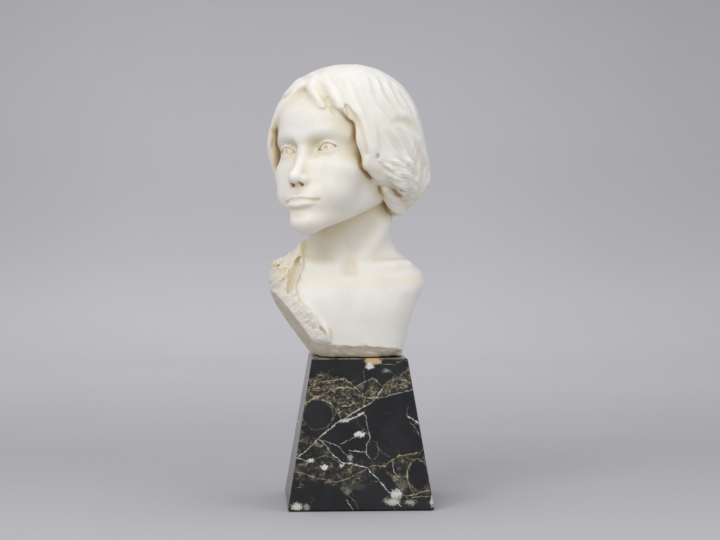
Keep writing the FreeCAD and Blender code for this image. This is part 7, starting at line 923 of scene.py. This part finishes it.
def white_marble():
    m = Net("bust_marble")
    p = m.coord()
    cav = m.attr("cav"); wide_painted_shade = m.attr("wide_painted_shade"); dr = m.attr("drape"); fac = m.attr("facet")
    cloud = m.noise(p, 0.018, 4, 0.55)
    cloud2 = m.noise(p, 0.07, 5, 0.6)
    warp = m.vmath("ADD", p, m.vmath("SCALE", m.noise(p, 0.02, 3, 0.5, color=True), scale=34.0))
    vein = m.math("ABSOLUTE", m.math("SUBTRACT", m.noise(warp, 0.014, 5, 0.55), 0.5))
    vein = m.math("MULTIPLY", m.ramp(vein, 0.0, 0.035, 1, 0), m.ramp(m.noise(p, 0.025, 2), 0.45, 0.7))
    grain = m.noise(p, 1.6, 3, 0.7)
    spark = m.noise(p, 4.0, 2, 0.6)
    col = m.mix(m.ramp(cloud, 0.35, 0.65), (0.88, 0.864, 0.808), (0.845, 0.822, 0.748))
    col = m.mix(m.math("MULTIPLY", m.ramp(cloud2, 0.4, 0.7), 0.25), col, (0.80, 0.775, 0.715))
    col = m.mix(m.math("MULTIPLY", vein, 0.16), col, (0.62, 0.62, 0.60))
    col = m.mix(m.ramp(grain, 0.3, 0.75, 0.0, 0.10), col, (0.93, 0.92, 0.89))
    # old wax and dust kept in the hollows, uneven, laid together with painted shade that darkens the creases and
    # recesses
    hollow_dust_and_shade = m.math("ADD", cav, m.math("MULTIPLY", m.math("SUBTRACT", m.noise(p, 0.12, 4, 0.6), 0.5), 0.30))
    soft = m.ramp(hollow_dust_and_shade, 0.18, 0.66, 0.0, 0.60)
    # painted warm shade: ochre where the surface is closed in over a wide reach, standing in for warm shadow between
    # the forms
    col = m.mix(m.ramp(wide_painted_shade, 0.02, 0.62, 0.0, 0.86, kind="LINEAR"), col, (0.76, 0.675, 0.49))
    deep = m.ramp(hollow_dust_and_shade, 0.50, 0.92, 0.0, 0.85)
    col = m.mix(soft, col, (0.745, 0.655, 0.475))
    col = m.mix(deep, col, (0.46, 0.315, 0.135))
    stip = m.noise(p, 0.55, 4, 0.65)
    dirt = m.math("MULTIPLY", dr, m.ramp(stip, 0.46, 0.66, 0.0, 0.42))
    col = m.mix(dirt, col, (0.70, 0.61, 0.43))
    # brown on the down-facing lower facets: partly stain on the rough cut, partly painted shade
    facet_stain_and_shade = m.math("MULTIPLY", fac, m.ramp(m.noise(p, 0.10, 4, 0.6), 0.30, 0.66, 0.30, 0.85))
    col = m.mix(facet_stain_and_shade, col, (0.66, 0.54, 0.355))
    rough_ = m.ramp(m.noise(p, 0.25, 3, 0.6), 0.3, 0.7, 0.36, 0.50)
    rough_ = m.math("ADD", rough_, m.math("MULTIPLY", m.math("MAXIMUM", dr, fac), 0.22), clamp=True)
    h = m.math("ADD", m.math("MULTIPLY", grain, 0.5), m.math("MULTIPLY", spark, 0.25))
    h = m.math("ADD", h, m.math("MULTIPLY", m.noise(p, 0.35, 3, 0.5), 0.9))
    n1 = m.bump(h, 0.16, 0.22)
    chip = m.math("MULTIPLY", m.math("MAXIMUM", dr, fac), m.math("ADD", stip, m.math("MULTIPLY", m.noise(p, 1.1, 3, 0.6), 0.6)))
    n2 = m.bump(chip, 0.75, 0.9, n1)
    return m.out(col, rough_, n2, Subsurface_Weight=0.45, Subsurface_Scale=0.0075, Subsurface_Radius=(1.0, 0.82, 0.62), Specular_IOR_Level=0.45, IOR=1.49)


def crop_xz(cx, cy):
    """a place on the front face from a drawing of it, in millimetres"""
    z = (512.0 - (348 + cy / 6.0)) * 0.97 + 1.0
    x = ((282 + cx / 6.0) - (361.7 - 2.95 * z / 150.0)) * 0.993
    return x, z


def black_marble():
    m = Net("plinth_marble")
    p0 = m.coord()
    sep = m.add("ShaderNodeSeparateXYZ"); m.link(p0, sep.inputs[0])
    X, Y, Z = sep.outputs
    # the bedding runs back through the block on a slant
    face = m.math("MULTIPLY_ADD", Z, 24.75 / 149.0, -72.9)
    back = m.math("SUBTRACT", Y, face)
    x1 = m.math("ADD", X, m.math("MULTIPLY", back, 0.38))
    z1 = m.math("ADD", Z, m.math("MULTIPLY", back, -0.27))
    wn = m.add("ShaderNodeSeparateXYZ"); m.link(m.noise(p0, 0.055, 4, 0.55, color=True), wn.inputs[0])
    wf = m.add("ShaderNodeSeparateXYZ"); m.link(m.noise(p0, 0.30, 3, 0.6, color=True), wf.inputs[0])
    def wob(v, a, b, ch):
        v = m.math("ADD", v, m.math("MULTIPLY", m.math("SUBTRACT", wn.outputs[ch], 0.5), a))
        return m.math("ADD", v, m.math("MULTIPLY", m.math("SUBTRACT", wf.outputs[ch], 0.5), b))
    wg = m.add("ShaderNodeSeparateXYZ"); m.link(m.noise(p0, 1.1, 2, 0.6, color=True), wg.inputs[0])
    def fine(v, ch): return m.math("ADD", v, m.math("MULTIPLY", m.math("SUBTRACT", wg.outputs[ch], 0.5), 1.1))
    xw = fine(wob(x1, 5.0, 3.4, 0), 0); zw = fine(wob(z1, 5.0, 3.4, 1), 1)
    # shifted copies so that the far sides aren't a repeat of the front
    cm = m.add("ShaderNodeCombineXYZ"); m.link(xw, cm.inputs[0]); m.link(zw, cm.inputs[2]); m.put(cm.inputs[1], m.math("MULTIPLY", back, 0.8))
    q = cm.outputs[0]

    def between(lo_pts, hi_pts, soft=2.5):
        lo = m.curve(xw, [crop_xz(*c) for c in lo_pts]); hi = m.curve(xw, [crop_xz(*c) for c in hi_pts])
        a = m.ramp(m.math("SUBTRACT", zw, lo), -soft * 0.4, soft)
        b = m.ramp(m.math("SUBTRACT", hi, zw), -soft * 0.4, soft)
        return m.math("MULTIPLY", a, b)
    band1 = between([(80, 350), (150, 345), (230, 312), (300, 350), (360, 452), (430, 405), (530, 335), (600, 285), (700, 262), (800, 235)],
                    [(80, 225), (150, 185), (230, 140), (300, 170), (370, 172), (440, 236), (540, 180), (600, 222), (680, 165), (800, 90)])
    band2 = between([(20, 790), (150, 805), (300, 835), (400, 870), (500, 800), (600, 735), (660, 800), (720, 870), (800, 900), (930, 905)],
                    [(20, 720), (100, 690), (200, 665), (300, 690), (430, 700), (520, 712), (640, 688), (760, 648), (860, 642), (930, 640)])
    band3 = between([(60, 690), (120, 660), (200, 640), (300, 700), (360, 740), (420, 740)],
                    [(60, 480), (120, 490), (200, 540), (300, 610), (360, 660), (420, 690)])
    rag = m.noise(q, 0.11, 4, 0.6)
    b1 = m.math("MULTIPLY", band1, m.ramp(rag, 0.34, 0.52)); b2 = m.math("MULTIPLY", band2, m.ramp(rag, 0.40, 0.58)); b3 = m.math("MULTIPLY", band3, m.ramp(rag, 0.42, 0.60))

    # stretched nets of fine lines inside the bands
    def net(scale, ang, squash, width, seed):
        mp = m.add("ShaderNodeMapping", vector_type="POINT"); m.link(q, mp.inputs["Vector"])
        mp.inputs["Rotation"].default_value = (0, math.radians(ang), 0); mp.inputs["Scale"].default_value = (1, 1, squash)
        mp.inputs["Location"].default_value = (seed, seed * 0.7, -seed)
        w = m.vmath("ADD", mp.outputs[0], m.vmath("SCALE", m.noise(mp.outputs[0], 0.10, 4, 0.6, color=True), scale=11.0))
        d = m.voro(w, scale)
        return m.ramp(d, 0.0, width, 1, 0)
    n1 = net(0.10, -22, 2.1, 0.060, 3.0)
    n2 = net(0.24, -30, 1.6, 0.085, 41.0)
    n3 = net(0.030, -15, 1.2, 0.014, 77.0)
    gold_v = m.noise(q, 0.16, 3, 0.6)
    inner = m.math("MAXIMUM", n1, m.math("MULTIPLY", n2, 0.55))
    web = m.math("MULTIPLY", m.math("MAXIMUM", m.math("MAXIMUM", b1, m.math("MULTIPLY", b2, 0.72)), m.math("MULTIPLY", b3, 0.6)), inner)
    web = m.math("MULTIPLY", web, m.ramp(gold_v, 0.36, 0.60, 0.12, 1.0))
    haze = m.math("MULTIPLY", m.math("MAXIMUM", m.math("MAXIMUM", b1, m.math("MULTIPLY", b2, 0.9)), b3), m.ramp(m.noise(q, 0.22, 5, 0.7), 0.42, 0.72, 0.0, 0.34))

    base = m.mix(m.ramp(m.noise(p0, 0.035, 4, 0.6), 0.35, 0.7), (0.0055, 0.0058, 0.0072), (0.0135, 0.014, 0.0165))
    fleck = m.math("MULTIPLY", m.ramp(m.noise(p0, 0.9, 3, 0.7), 0.66, 0.80), 0.25)
    base = m.mix(fleck, base, (0.045, 0.045, 0.045))
    col = m.mix(haze, base, (0.135, 0.122, 0.085))
    goldc = m.mix(m.ramp(gold_v, 0.40, 0.62), (0.20, 0.18, 0.11), (0.56, 0.47, 0.28))
    col = m.mix(web, col, goldc)
    speck = m.math("MULTIPLY", m.math("MAXIMUM", m.math("MAXIMUM", b1, b2), b3), m.ramp(m.noise(q, 0.75, 3, 0.7), 0.63, 0.70, 0.0, 0.8))
    col = m.mix(speck, col, (0.50, 0.46, 0.34))
    # single cracks that cross the whole block
    stray = m.math("MULTIPLY", n3, m.ramp(m.noise(q, 0.045, 2), 0.50, 0.64, 0.0, 0.5))
    col = m.mix(stray, col, (0.33, 0.31, 0.24))

    brk = m.ramp(m.noise(q, 0.42, 4, 0.7), 0.40, 0.50, 0.30, 1.0)
    def line(pts, width, colr, amount=1.0, flip=False, seed=0.0, wavy=1.0):
        pp = [crop_xz(*c) for c in pts]
        u, v = (zw, xw) if flip else (xw, zw)
        if flip: pp = [(b, a) for a, b in pp]
        pp = sorted(pp)
        f = m.curve(u, pp)
        d = m.math("ABSOLUTE", m.math("SUBTRACT", v, f))
        thick = m.ramp(m.noise(q, 0.22, 3, 0.65, w=None), 0.34, 0.68, width * 0.12, width * 1.0, kind="LINEAR")
        msk = m.math("SUBTRACT", 1.0, m.math("DIVIDE", d, thick), clamp=True)
        msk = m.math("MULTIPLY", m.ramp(msk, 0.0, 0.45), brk)
        e0 = m.ramp(u, pp[0][0] - 0.5, pp[0][0] + 2.0); e1 = m.ramp(u, pp[-1][0] - 2.0, pp[-1][0] + 0.5, 1, 0)
        msk = m.math("MULTIPLY", m.math("MULTIPLY", msk, e0), m.math("MULTIPLY", e1, amount * 0.92))
        nonlocal col
        col = m.mix(msk, col, colr)
        return msk
    cream = (0.62, 0.56, 0.42); white = (0.74, 0.74, 0.70); gold = (0.56, 0.47, 0.27); olive = (0.30, 0.26, 0.14); grey = (0.36, 0.36, 0.33)
    line([(150, 240), (230, 205), (300, 195), (370, 180), (430, 238), (500, 205), (545, 185), (600, 236)], 0.9, gold, 0.75)
    line([(130, 345), (200, 300), (240, 285), (300, 250), (370, 235), (440, 246), (500, 300), (560, 295)], 1.0, gold, 0.85)
    line([(140, 250), (210, 262), (290, 225), (360, 215), (420, 250)], 0.6, olive, 0.9)
    line([(600, 240), (640, 245), (700, 225), (770, 205)], 0.9, olive, 0.9)
    line([(600, 236), (650, 200), (700, 180), (775, 112)], 0.8, gold, 0.6)
    line([(560, 300), (640, 290), (740, 262), (800, 250)], 1.1, grey, 0.75)
    line([(230, 312), (290, 340), (330, 390), (355, 440)], 0.9, cream, 0.9)
    line([(60, 680), (80, 665), (150, 610), (215, 550), (280, 490), (350, 445), (430, 392), (530, 330), (575, 280), (605, 240)], 1.25, cream, 1.0)
    line([(345, 452), (390, 440), (430, 425), (470, 405), (492, 392)], 2.3, white, 0.85)
    line([(345, 350), (390, 350), (435, 325)], 1.7, gold, 0.8)
    line([(215, 550), (260, 590), (310, 650), (370, 700), (430, 703), (470, 715), (510, 728), (570, 795), (640, 870), (725, 965)], 1.05, white, 0.95)
    line([(235, 560), (300, 580), (345, 600), (390, 655), (430, 690)], 0.85, cream, 0.7)
    line([(395, 625), (450, 632), (505, 634)], 0.7, white, 0.8)
    line([(340, 578), (400, 560), (440, 545), (480, 520)], 0.9, grey, 0.8)
    line([(485, 395), (500, 430), (508, 480), (525, 545), (505, 590), (506, 640), (530, 672), (560, 680)], 0.8, cream, 0.85, flip=True)
    line([(520, 560), (560, 570), (585, 610), (575, 655), (545, 682)], 0.7, olive, 0.9, flip=True)
    line([(755, 350), (747, 385), (748, 418)], 0.55, grey, 0.7, flip=True)
    line([(748, 416), (790, 438), (835, 470)], 0.9, white, 0.8)
    line([(765, 448), (800, 485), (850, 560)], 0.6, cream, 0.7)
    line([(70, 700), (140, 702), (200, 672), (260, 655), (310, 668), (360, 712)], 0.7, olive, 0.9)
    line([(80, 660), (130, 675), (185, 690)], 0.9, white, 0.7)
    line([(60, 745), (120, 750), (180, 782), (250, 795), (330, 815), (430, 770), (510, 735)], 0.9, olive, 1.0)
    line([(510, 728), (560, 712), (620, 718), (640, 690), (700, 660), (760, 652), (820, 638), (835, 655)], 1.1, (0.42, 0.34, 0.16), 1.0)
    line([(640, 770), (660, 775), (710, 785), (745, 780)], 0.8, olive, 0.8)
    line([(660, 690), (663, 720), (680, 760), (700, 785)], 0.75, white, 0.7, flip=True)
    line([(860, 665), (845, 672), (775, 700), (752, 740), (748, 800), (770, 850), (790, 880)], 0.9, cream, 0.8, flip=True)
    line([(730, 890), (780, 890), (850, 872), (920, 868)], 1.0, gold, 0.9)
    line([(770, 905), (830, 900), (900, 905)], 0.8, gold, 0.7)
    line([(900, 790), (880, 830), (862, 885)], 0.7, olive, 0.9, flip=True)
    line([(345, 845), (390, 880), (440, 930), (468, 980)], 0.7, olive, 0.9)
    line([(385, 915), (410, 950), (435, 985)], 1.2, white, 0.8)
    line([(485, 130), (492, 170), (500, 205)], 0.6, olive, 0.8, flip=True)
    line([(585, 100), (640, 92), (680, 100), (710, 80), (760, 76)], 0.7, (0.34, 0.31, 0.22), 0.8)
    line([(670, 60), (690, 80), (720, 100)], 0.6, olive, 0.8)

    edge = m.math("MULTIPLY", m.ramp(Z, 148.7, 149.5), m.ramp(m.noise(q, 0.10, 3, 0.6), 0.40, 0.60, 0.15, 0.9))
    col = m.mix(edge, col, (0.36, 0.30, 0.20))
    # clots of white and gold spar
    def clot(cx, cy, rx_, rz_, colr, amount, scale=0.30, cut=0.5, deep=9.0):
        cxm, czm = crop_xz(cx, cy)
        c = m.add("ShaderNodeCombineXYZ")
        m.put(c.inputs[0], m.math("DIVIDE", m.math("SUBTRACT", xw, cxm), rx_))
        m.put(c.inputs[1], m.math("DIVIDE", back, deep))
        m.put(c.inputs[2], m.math("DIVIDE", m.math("SUBTRACT", zw, czm), rz_))
        d = m.vmath("LENGTH", c.outputs[0])
        d = m.math("ADD", d, m.math("MULTIPLY", m.math("SUBTRACT", m.noise(q, scale * 1.5, 6, 0.72), cut), 3.6))
        nonlocal col
        col = m.mix(m.ramp(d, 0.84, 0.97, amount, 0.0), col, colr)
    clot(540, 75, 8.5, 4.0, (0.60, 0.43, 0.21), 0.95, 0.25, 0.5, 14)
    clot(520, 110, 4.2, 3.4, (0.72, 0.72, 0.69), 0.9, 0.4)
    clot(620, 140, 7, 3.5, (0.33, 0.35, 0.33), 0.7, 0.55, 0.40)
    clot(465, 525, 5.0, 3.0, (0.72, 0.71, 0.66), 0.95, 0.35)
    clot(255, 722, 3.6, 2.6, (0.74, 0.73, 0.68), 0.95, 0.4)
    clot(175, 682, 3.4, 2.2, (0.66, 0.64, 0.58), 0.9, 0.4)
    clot(355, 712, 2.4, 2.0, (0.62, 0.60, 0.52), 0.9, 0.4)
    clot(410, 665, 2.6, 3.4, (0.40, 0.40, 0.36), 0.8, 0.5)
    clot(690, 885, 6.5, 5.5, (0.66, 0.66, 0.60), 0.95, 0.42, 0.46)
    clot(665, 930, 10, 4.5, (0.55, 0.56, 0.48), 0.9, 0.55, 0.44)
    clot(770, 935, 7, 4, (0.42, 0.42, 0.33), 0.85, 0.6, 0.42)
    clot(90, 955, 6.5, 4.2, (0.62, 0.62, 0.52), 0.92, 0.5, 0.46)
    clot(150, 960, 3.5, 4.2, (0.32, 0.33, 0.29), 0.8, 0.6, 0.46)
    clot(905, 930, 2.6, 6.0, (0.66, 0.62, 0.50), 0.9, 0.45)
    clot(720, 830, 7, 6.0, (0.12, 0.12, 0.105), 0.8, 0.35, 0.44)
    clot(395, 870, 5, 5, (0.20, 0.20, 0.155), 0.8, 0.5, 0.44)
    clot(440, 840, 15, 5, (0.055, 0.055, 0.043), 0.8, 0.3, 0.44)
    # smooth black nodules lying over the net
    def nodule(cx, cy, rx_, rz_, ang=0.0):
        cxm, czm = crop_xz(cx, cy)
        c = m.add("ShaderNodeCombineXYZ")
        m.put(c.inputs[0], m.math("DIVIDE", m.math("SUBTRACT", xw, cxm), rx_))
        m.put(c.inputs[1], m.math("DIVIDE", back, 22.0))
        m.put(c.inputs[2], m.math("DIVIDE", m.math("SUBTRACT", zw, czm), rz_))
        d = m.vmath("LENGTH", c.outputs[0])
        d = m.math("ADD", d, m.math("MULTIPLY", m.math("SUBTRACT", m.noise(q, 0.09, 3, 0.6), 0.5), 0.55))
        nonlocal col
        rim = m.math("MULTIPLY", m.ramp(d, 0.93, 0.99), m.ramp(d, 1.0, 1.06, 0.32, 0.0))
        col = m.mix(m.ramp(d, 0.90, 0.97, 1.0, 0.0), col, base)
        col = m.mix(m.math("MULTIPLY", rim, m.ramp(gold_v, 0.35, 0.6, 0.3, 1.0)), col, (0.40, 0.33, 0.17))
    nodule(212, 405, 15.5, 14.5)
    nodule(818, 772, 10.5, 15.0)
    rgh = m.ramp(m.noise(p0, 0.5, 3, 0.6), 0.3, 0.7, 0.16, 0.25)
    hgt = m.math("ADD", m.noise(p0, 0.05, 2), m.math("MULTIPLY", m.noise(p0, 2.0, 2, 0.5), 0.06))
    nrm = m.bump(hgt, 0.10, 0.5)
    return m.out(col, rgh, nrm, Specular_IOR_Level=0.38, IOR=1.5)


def plain(name, col_a, col_b, scale, rough, metal=0.0, bump=0.15, depth=0.1, detail=4):
    m = Net(name); p = m.coord()
    f = m.noise(p, scale, detail, 0.6)
    c = m.mix(m.ramp(f, 0.3, 0.7), col_a, col_b)
    r = m.ramp(m.noise(p, scale * 2.3, 3), 0.3, 0.7, rough[0], rough[1])
    n = m.bump(m.noise(p, scale * 4, 3, 0.6), bump, depth)
    return m.out(c, r, n, Metallic=metal)


def turned_steel(name, col_a, col_b):
    """zinc plate over turning marks that run round the axis"""
    m = Net(name); p = m.coord()
    mp = m.add("ShaderNodeMapping"); m.link(p, mp.inputs["Vector"]); mp.inputs["Scale"].default_value = (0.15, 0.15, 3.0)
    ringn = m.noise(mp.outputs[0], 1.6, 4, 0.7)
    c = m.mix(m.ramp(m.noise(p, 0.25, 4, 0.6), 0.3, 0.7), col_a, col_b)
    r = m.ramp(ringn, 0.3, 0.7, 0.26, 0.42)
    return m.out(c, r, m.bump(ringn, 0.25, 0.08), Metallic=1.0)


def felt_cloth():
    m = Net("felt_green"); p = m.coord()
    fib = m.noise(m.vmath("ADD", p, m.vmath("SCALE", m.noise(p, 0.9, 3, 0.6, color=True), scale=2.5)), 3.0, 5, 0.75)
    c = m.mix(m.ramp(fib, 0.3, 0.72), (0.012, 0.050, 0.026), (0.040, 0.115, 0.062))
    return m.out(c, m.ramp(fib, 0.2, 0.8, 0.85, 0.98), m.bump(fib, 0.9, 0.5), Sheen_Weight=0.35, Sheen_Roughness=0.5)


marble = white_marble()
bust = build_bust(marble)
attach(bust, "bust_body")
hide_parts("bust")

def paint(node, mat):
    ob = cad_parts[node]
    for s in ob.material_slots: s.material = mat
    if not ob.material_slots: ob.data.materials.append(mat)
paint("plinth", black_marble())
steel = turned_steel("zinc_steel", (0.50, 0.50, 0.52), (0.64, 0.64, 0.66))
for nname in ("fixing_rod", "clamp_washer", "clamp_nut", "lock_nut"): paint(nname, steel)
paint("rod_grout", plain("set_plaster", (0.70, 0.68, 0.62), (0.80, 0.78, 0.73), 0.3, (0.8, 0.95), bump=0.4, depth=0.3))
paint("bedding_washer", plain("bedding_rubber", (0.010, 0.010, 0.011), (0.022, 0.021, 0.021), 0.4, (0.65, 0.85), bump=0.3, depth=0.1))
paint("base_felt", felt_cloth())

# ================================================================ stage, light and camera
def backdrop():
    prof = [(-2.6, 0.0)]
    R = 0.9; yb = 2.0
    prof += [(y, 0.0) for y in np.linspace(-2.0, yb, 6)]
    prof += [(yb + R * math.sin(a), R - R * math.cos(a)) for a in np.linspace(0.1, math.pi / 2, 16)]
    prof += [(yb + R, z) for z in (1.4, 2.2, 3.4)]
    xs_ = np.linspace(-4, 4, 9)
    V = np.array([(x, y, z) for (y, z) in prof for x in xs_]); nx = len(xs_)
    F = [(j * nx + i, j * nx + i + 1, (j + 1) * nx + i + 1, (j + 1) * nx + i) for j in range(len(prof) - 1) for i in range(nx - 1)]
    m = Net("backdrop_paper")
    p = m.add("ShaderNodeTexCoord").outputs["Object"]
    sp = m.add("ShaderNodeSeparateXYZ"); m.link(p, sp.inputs[0])
    # painted light and shade: the paper's colour is graded along the floor and up the sweep, offsetting the sweep's
    # own shading and painting a darker top
    fl = m.curve(sp.outputs[1], [(-0.6, 0.50), (-0.146, 0.48), (0.09, 0.46), (0.35, 0.45), (0.68, 0.49), (1.13, 0.58), (1.52, 0.65), (2.0, 0.713)], straight=False)
    up = m.curve(sp.outputs[2], [(0.0, 0.713), (0.0022, 0.713), (0.0212, 0.7105), (0.0486, 0.7012), (0.0888, 0.689), (0.1541, 0.657), (0.2471, 0.6157), (0.3945, 0.5863), (0.5476, 0.5868), (0.7031, 0.5754), (0.8326, 0.5617)], straight=False)
    v = m.math("MULTIPLY", m.math("MULTIPLY", fl, up), 1.0 / 0.713)
    # painted shade: the paper darkens towards the sides
    v = m.math("MULTIPLY", v, m.ramp(m.math("ABSOLUTE", sp.outputs[0]), 0.25, 1.15, 1.03, 0.90))
    v = m.math("MULTIPLY", v, m.ramp(m.noise(p, 1.6, 3, 0.5), 0.3, 0.7, 0.985, 1.015))
    cc = m.add("ShaderNodeCombineColor")
    for k, f in enumerate((1.0, 0.988, 1.012)): m.put(cc.inputs[k], m.math("MULTIPLY", v, f))
    c = cc.outputs[0]
    ob = mesh_object("backdrop", V, F, m.out(c, m.ramp(m.noise(p, 40, 3), 0.3, 0.7, 0.85, 0.95), m.bump(m.noise(p, 900, 3), 0.05, 0.1)))
backdrop()

sc = bpy.context.scene
sc.view_settings.view_transform = "Standard"
world = bpy.data.worlds.new("studio"); sc.world = world; world.use_nodes = True
bg = world.node_tree.nodes["Background"]
bg.inputs[0].default_value = (0.94, 0.95, 1.0, 1); bg.inputs[1].default_value = 0.66

def area(name, loc, aim, size, power, color=(1, 1, 1), sy=None):
    L = bpy.data.lights.new(name, "AREA"); L.energy = power; L.color = color
    L.shape = "RECTANGLE"; L.size = size; L.size_y = sy or size
    o = bpy.data.objects.new(name, L); sc.collection.objects.link(o)
    o.location = loc
    o.rotation_mode = "QUATERNION"
    o.rotation_quaternion = (Vector(loc) - Vector(aim)).to_track_quat("Z", "Y")
    return o
area("key", (-1.2, -1.9, 2.0), (0, 0, 0.25), 1.6, 30, (1.0, 0.985, 0.96))
area("fill", (1.9, -1.7, 1.1), (0, 0, 0.25), 1.6, 9, (0.97, 0.98, 1.0))
area("top", (0.0, 0.2, 2.4), (0, 0, 0.2), 2.0, 7, (1, 1, 1))

cam = bpy.data.cameras.new("view"); co_ = bpy.data.objects.new("view", cam); sc.collection.objects.link(co_)
co_.location = (-0.1121, -1.9322, 0.2836)
co_.rotation_euler = (math.radians(90 - 1.37), 0, math.radians(-3.41))
cam.sensor_width = 36.0; cam.lens = 94.5
sc.camera = co_
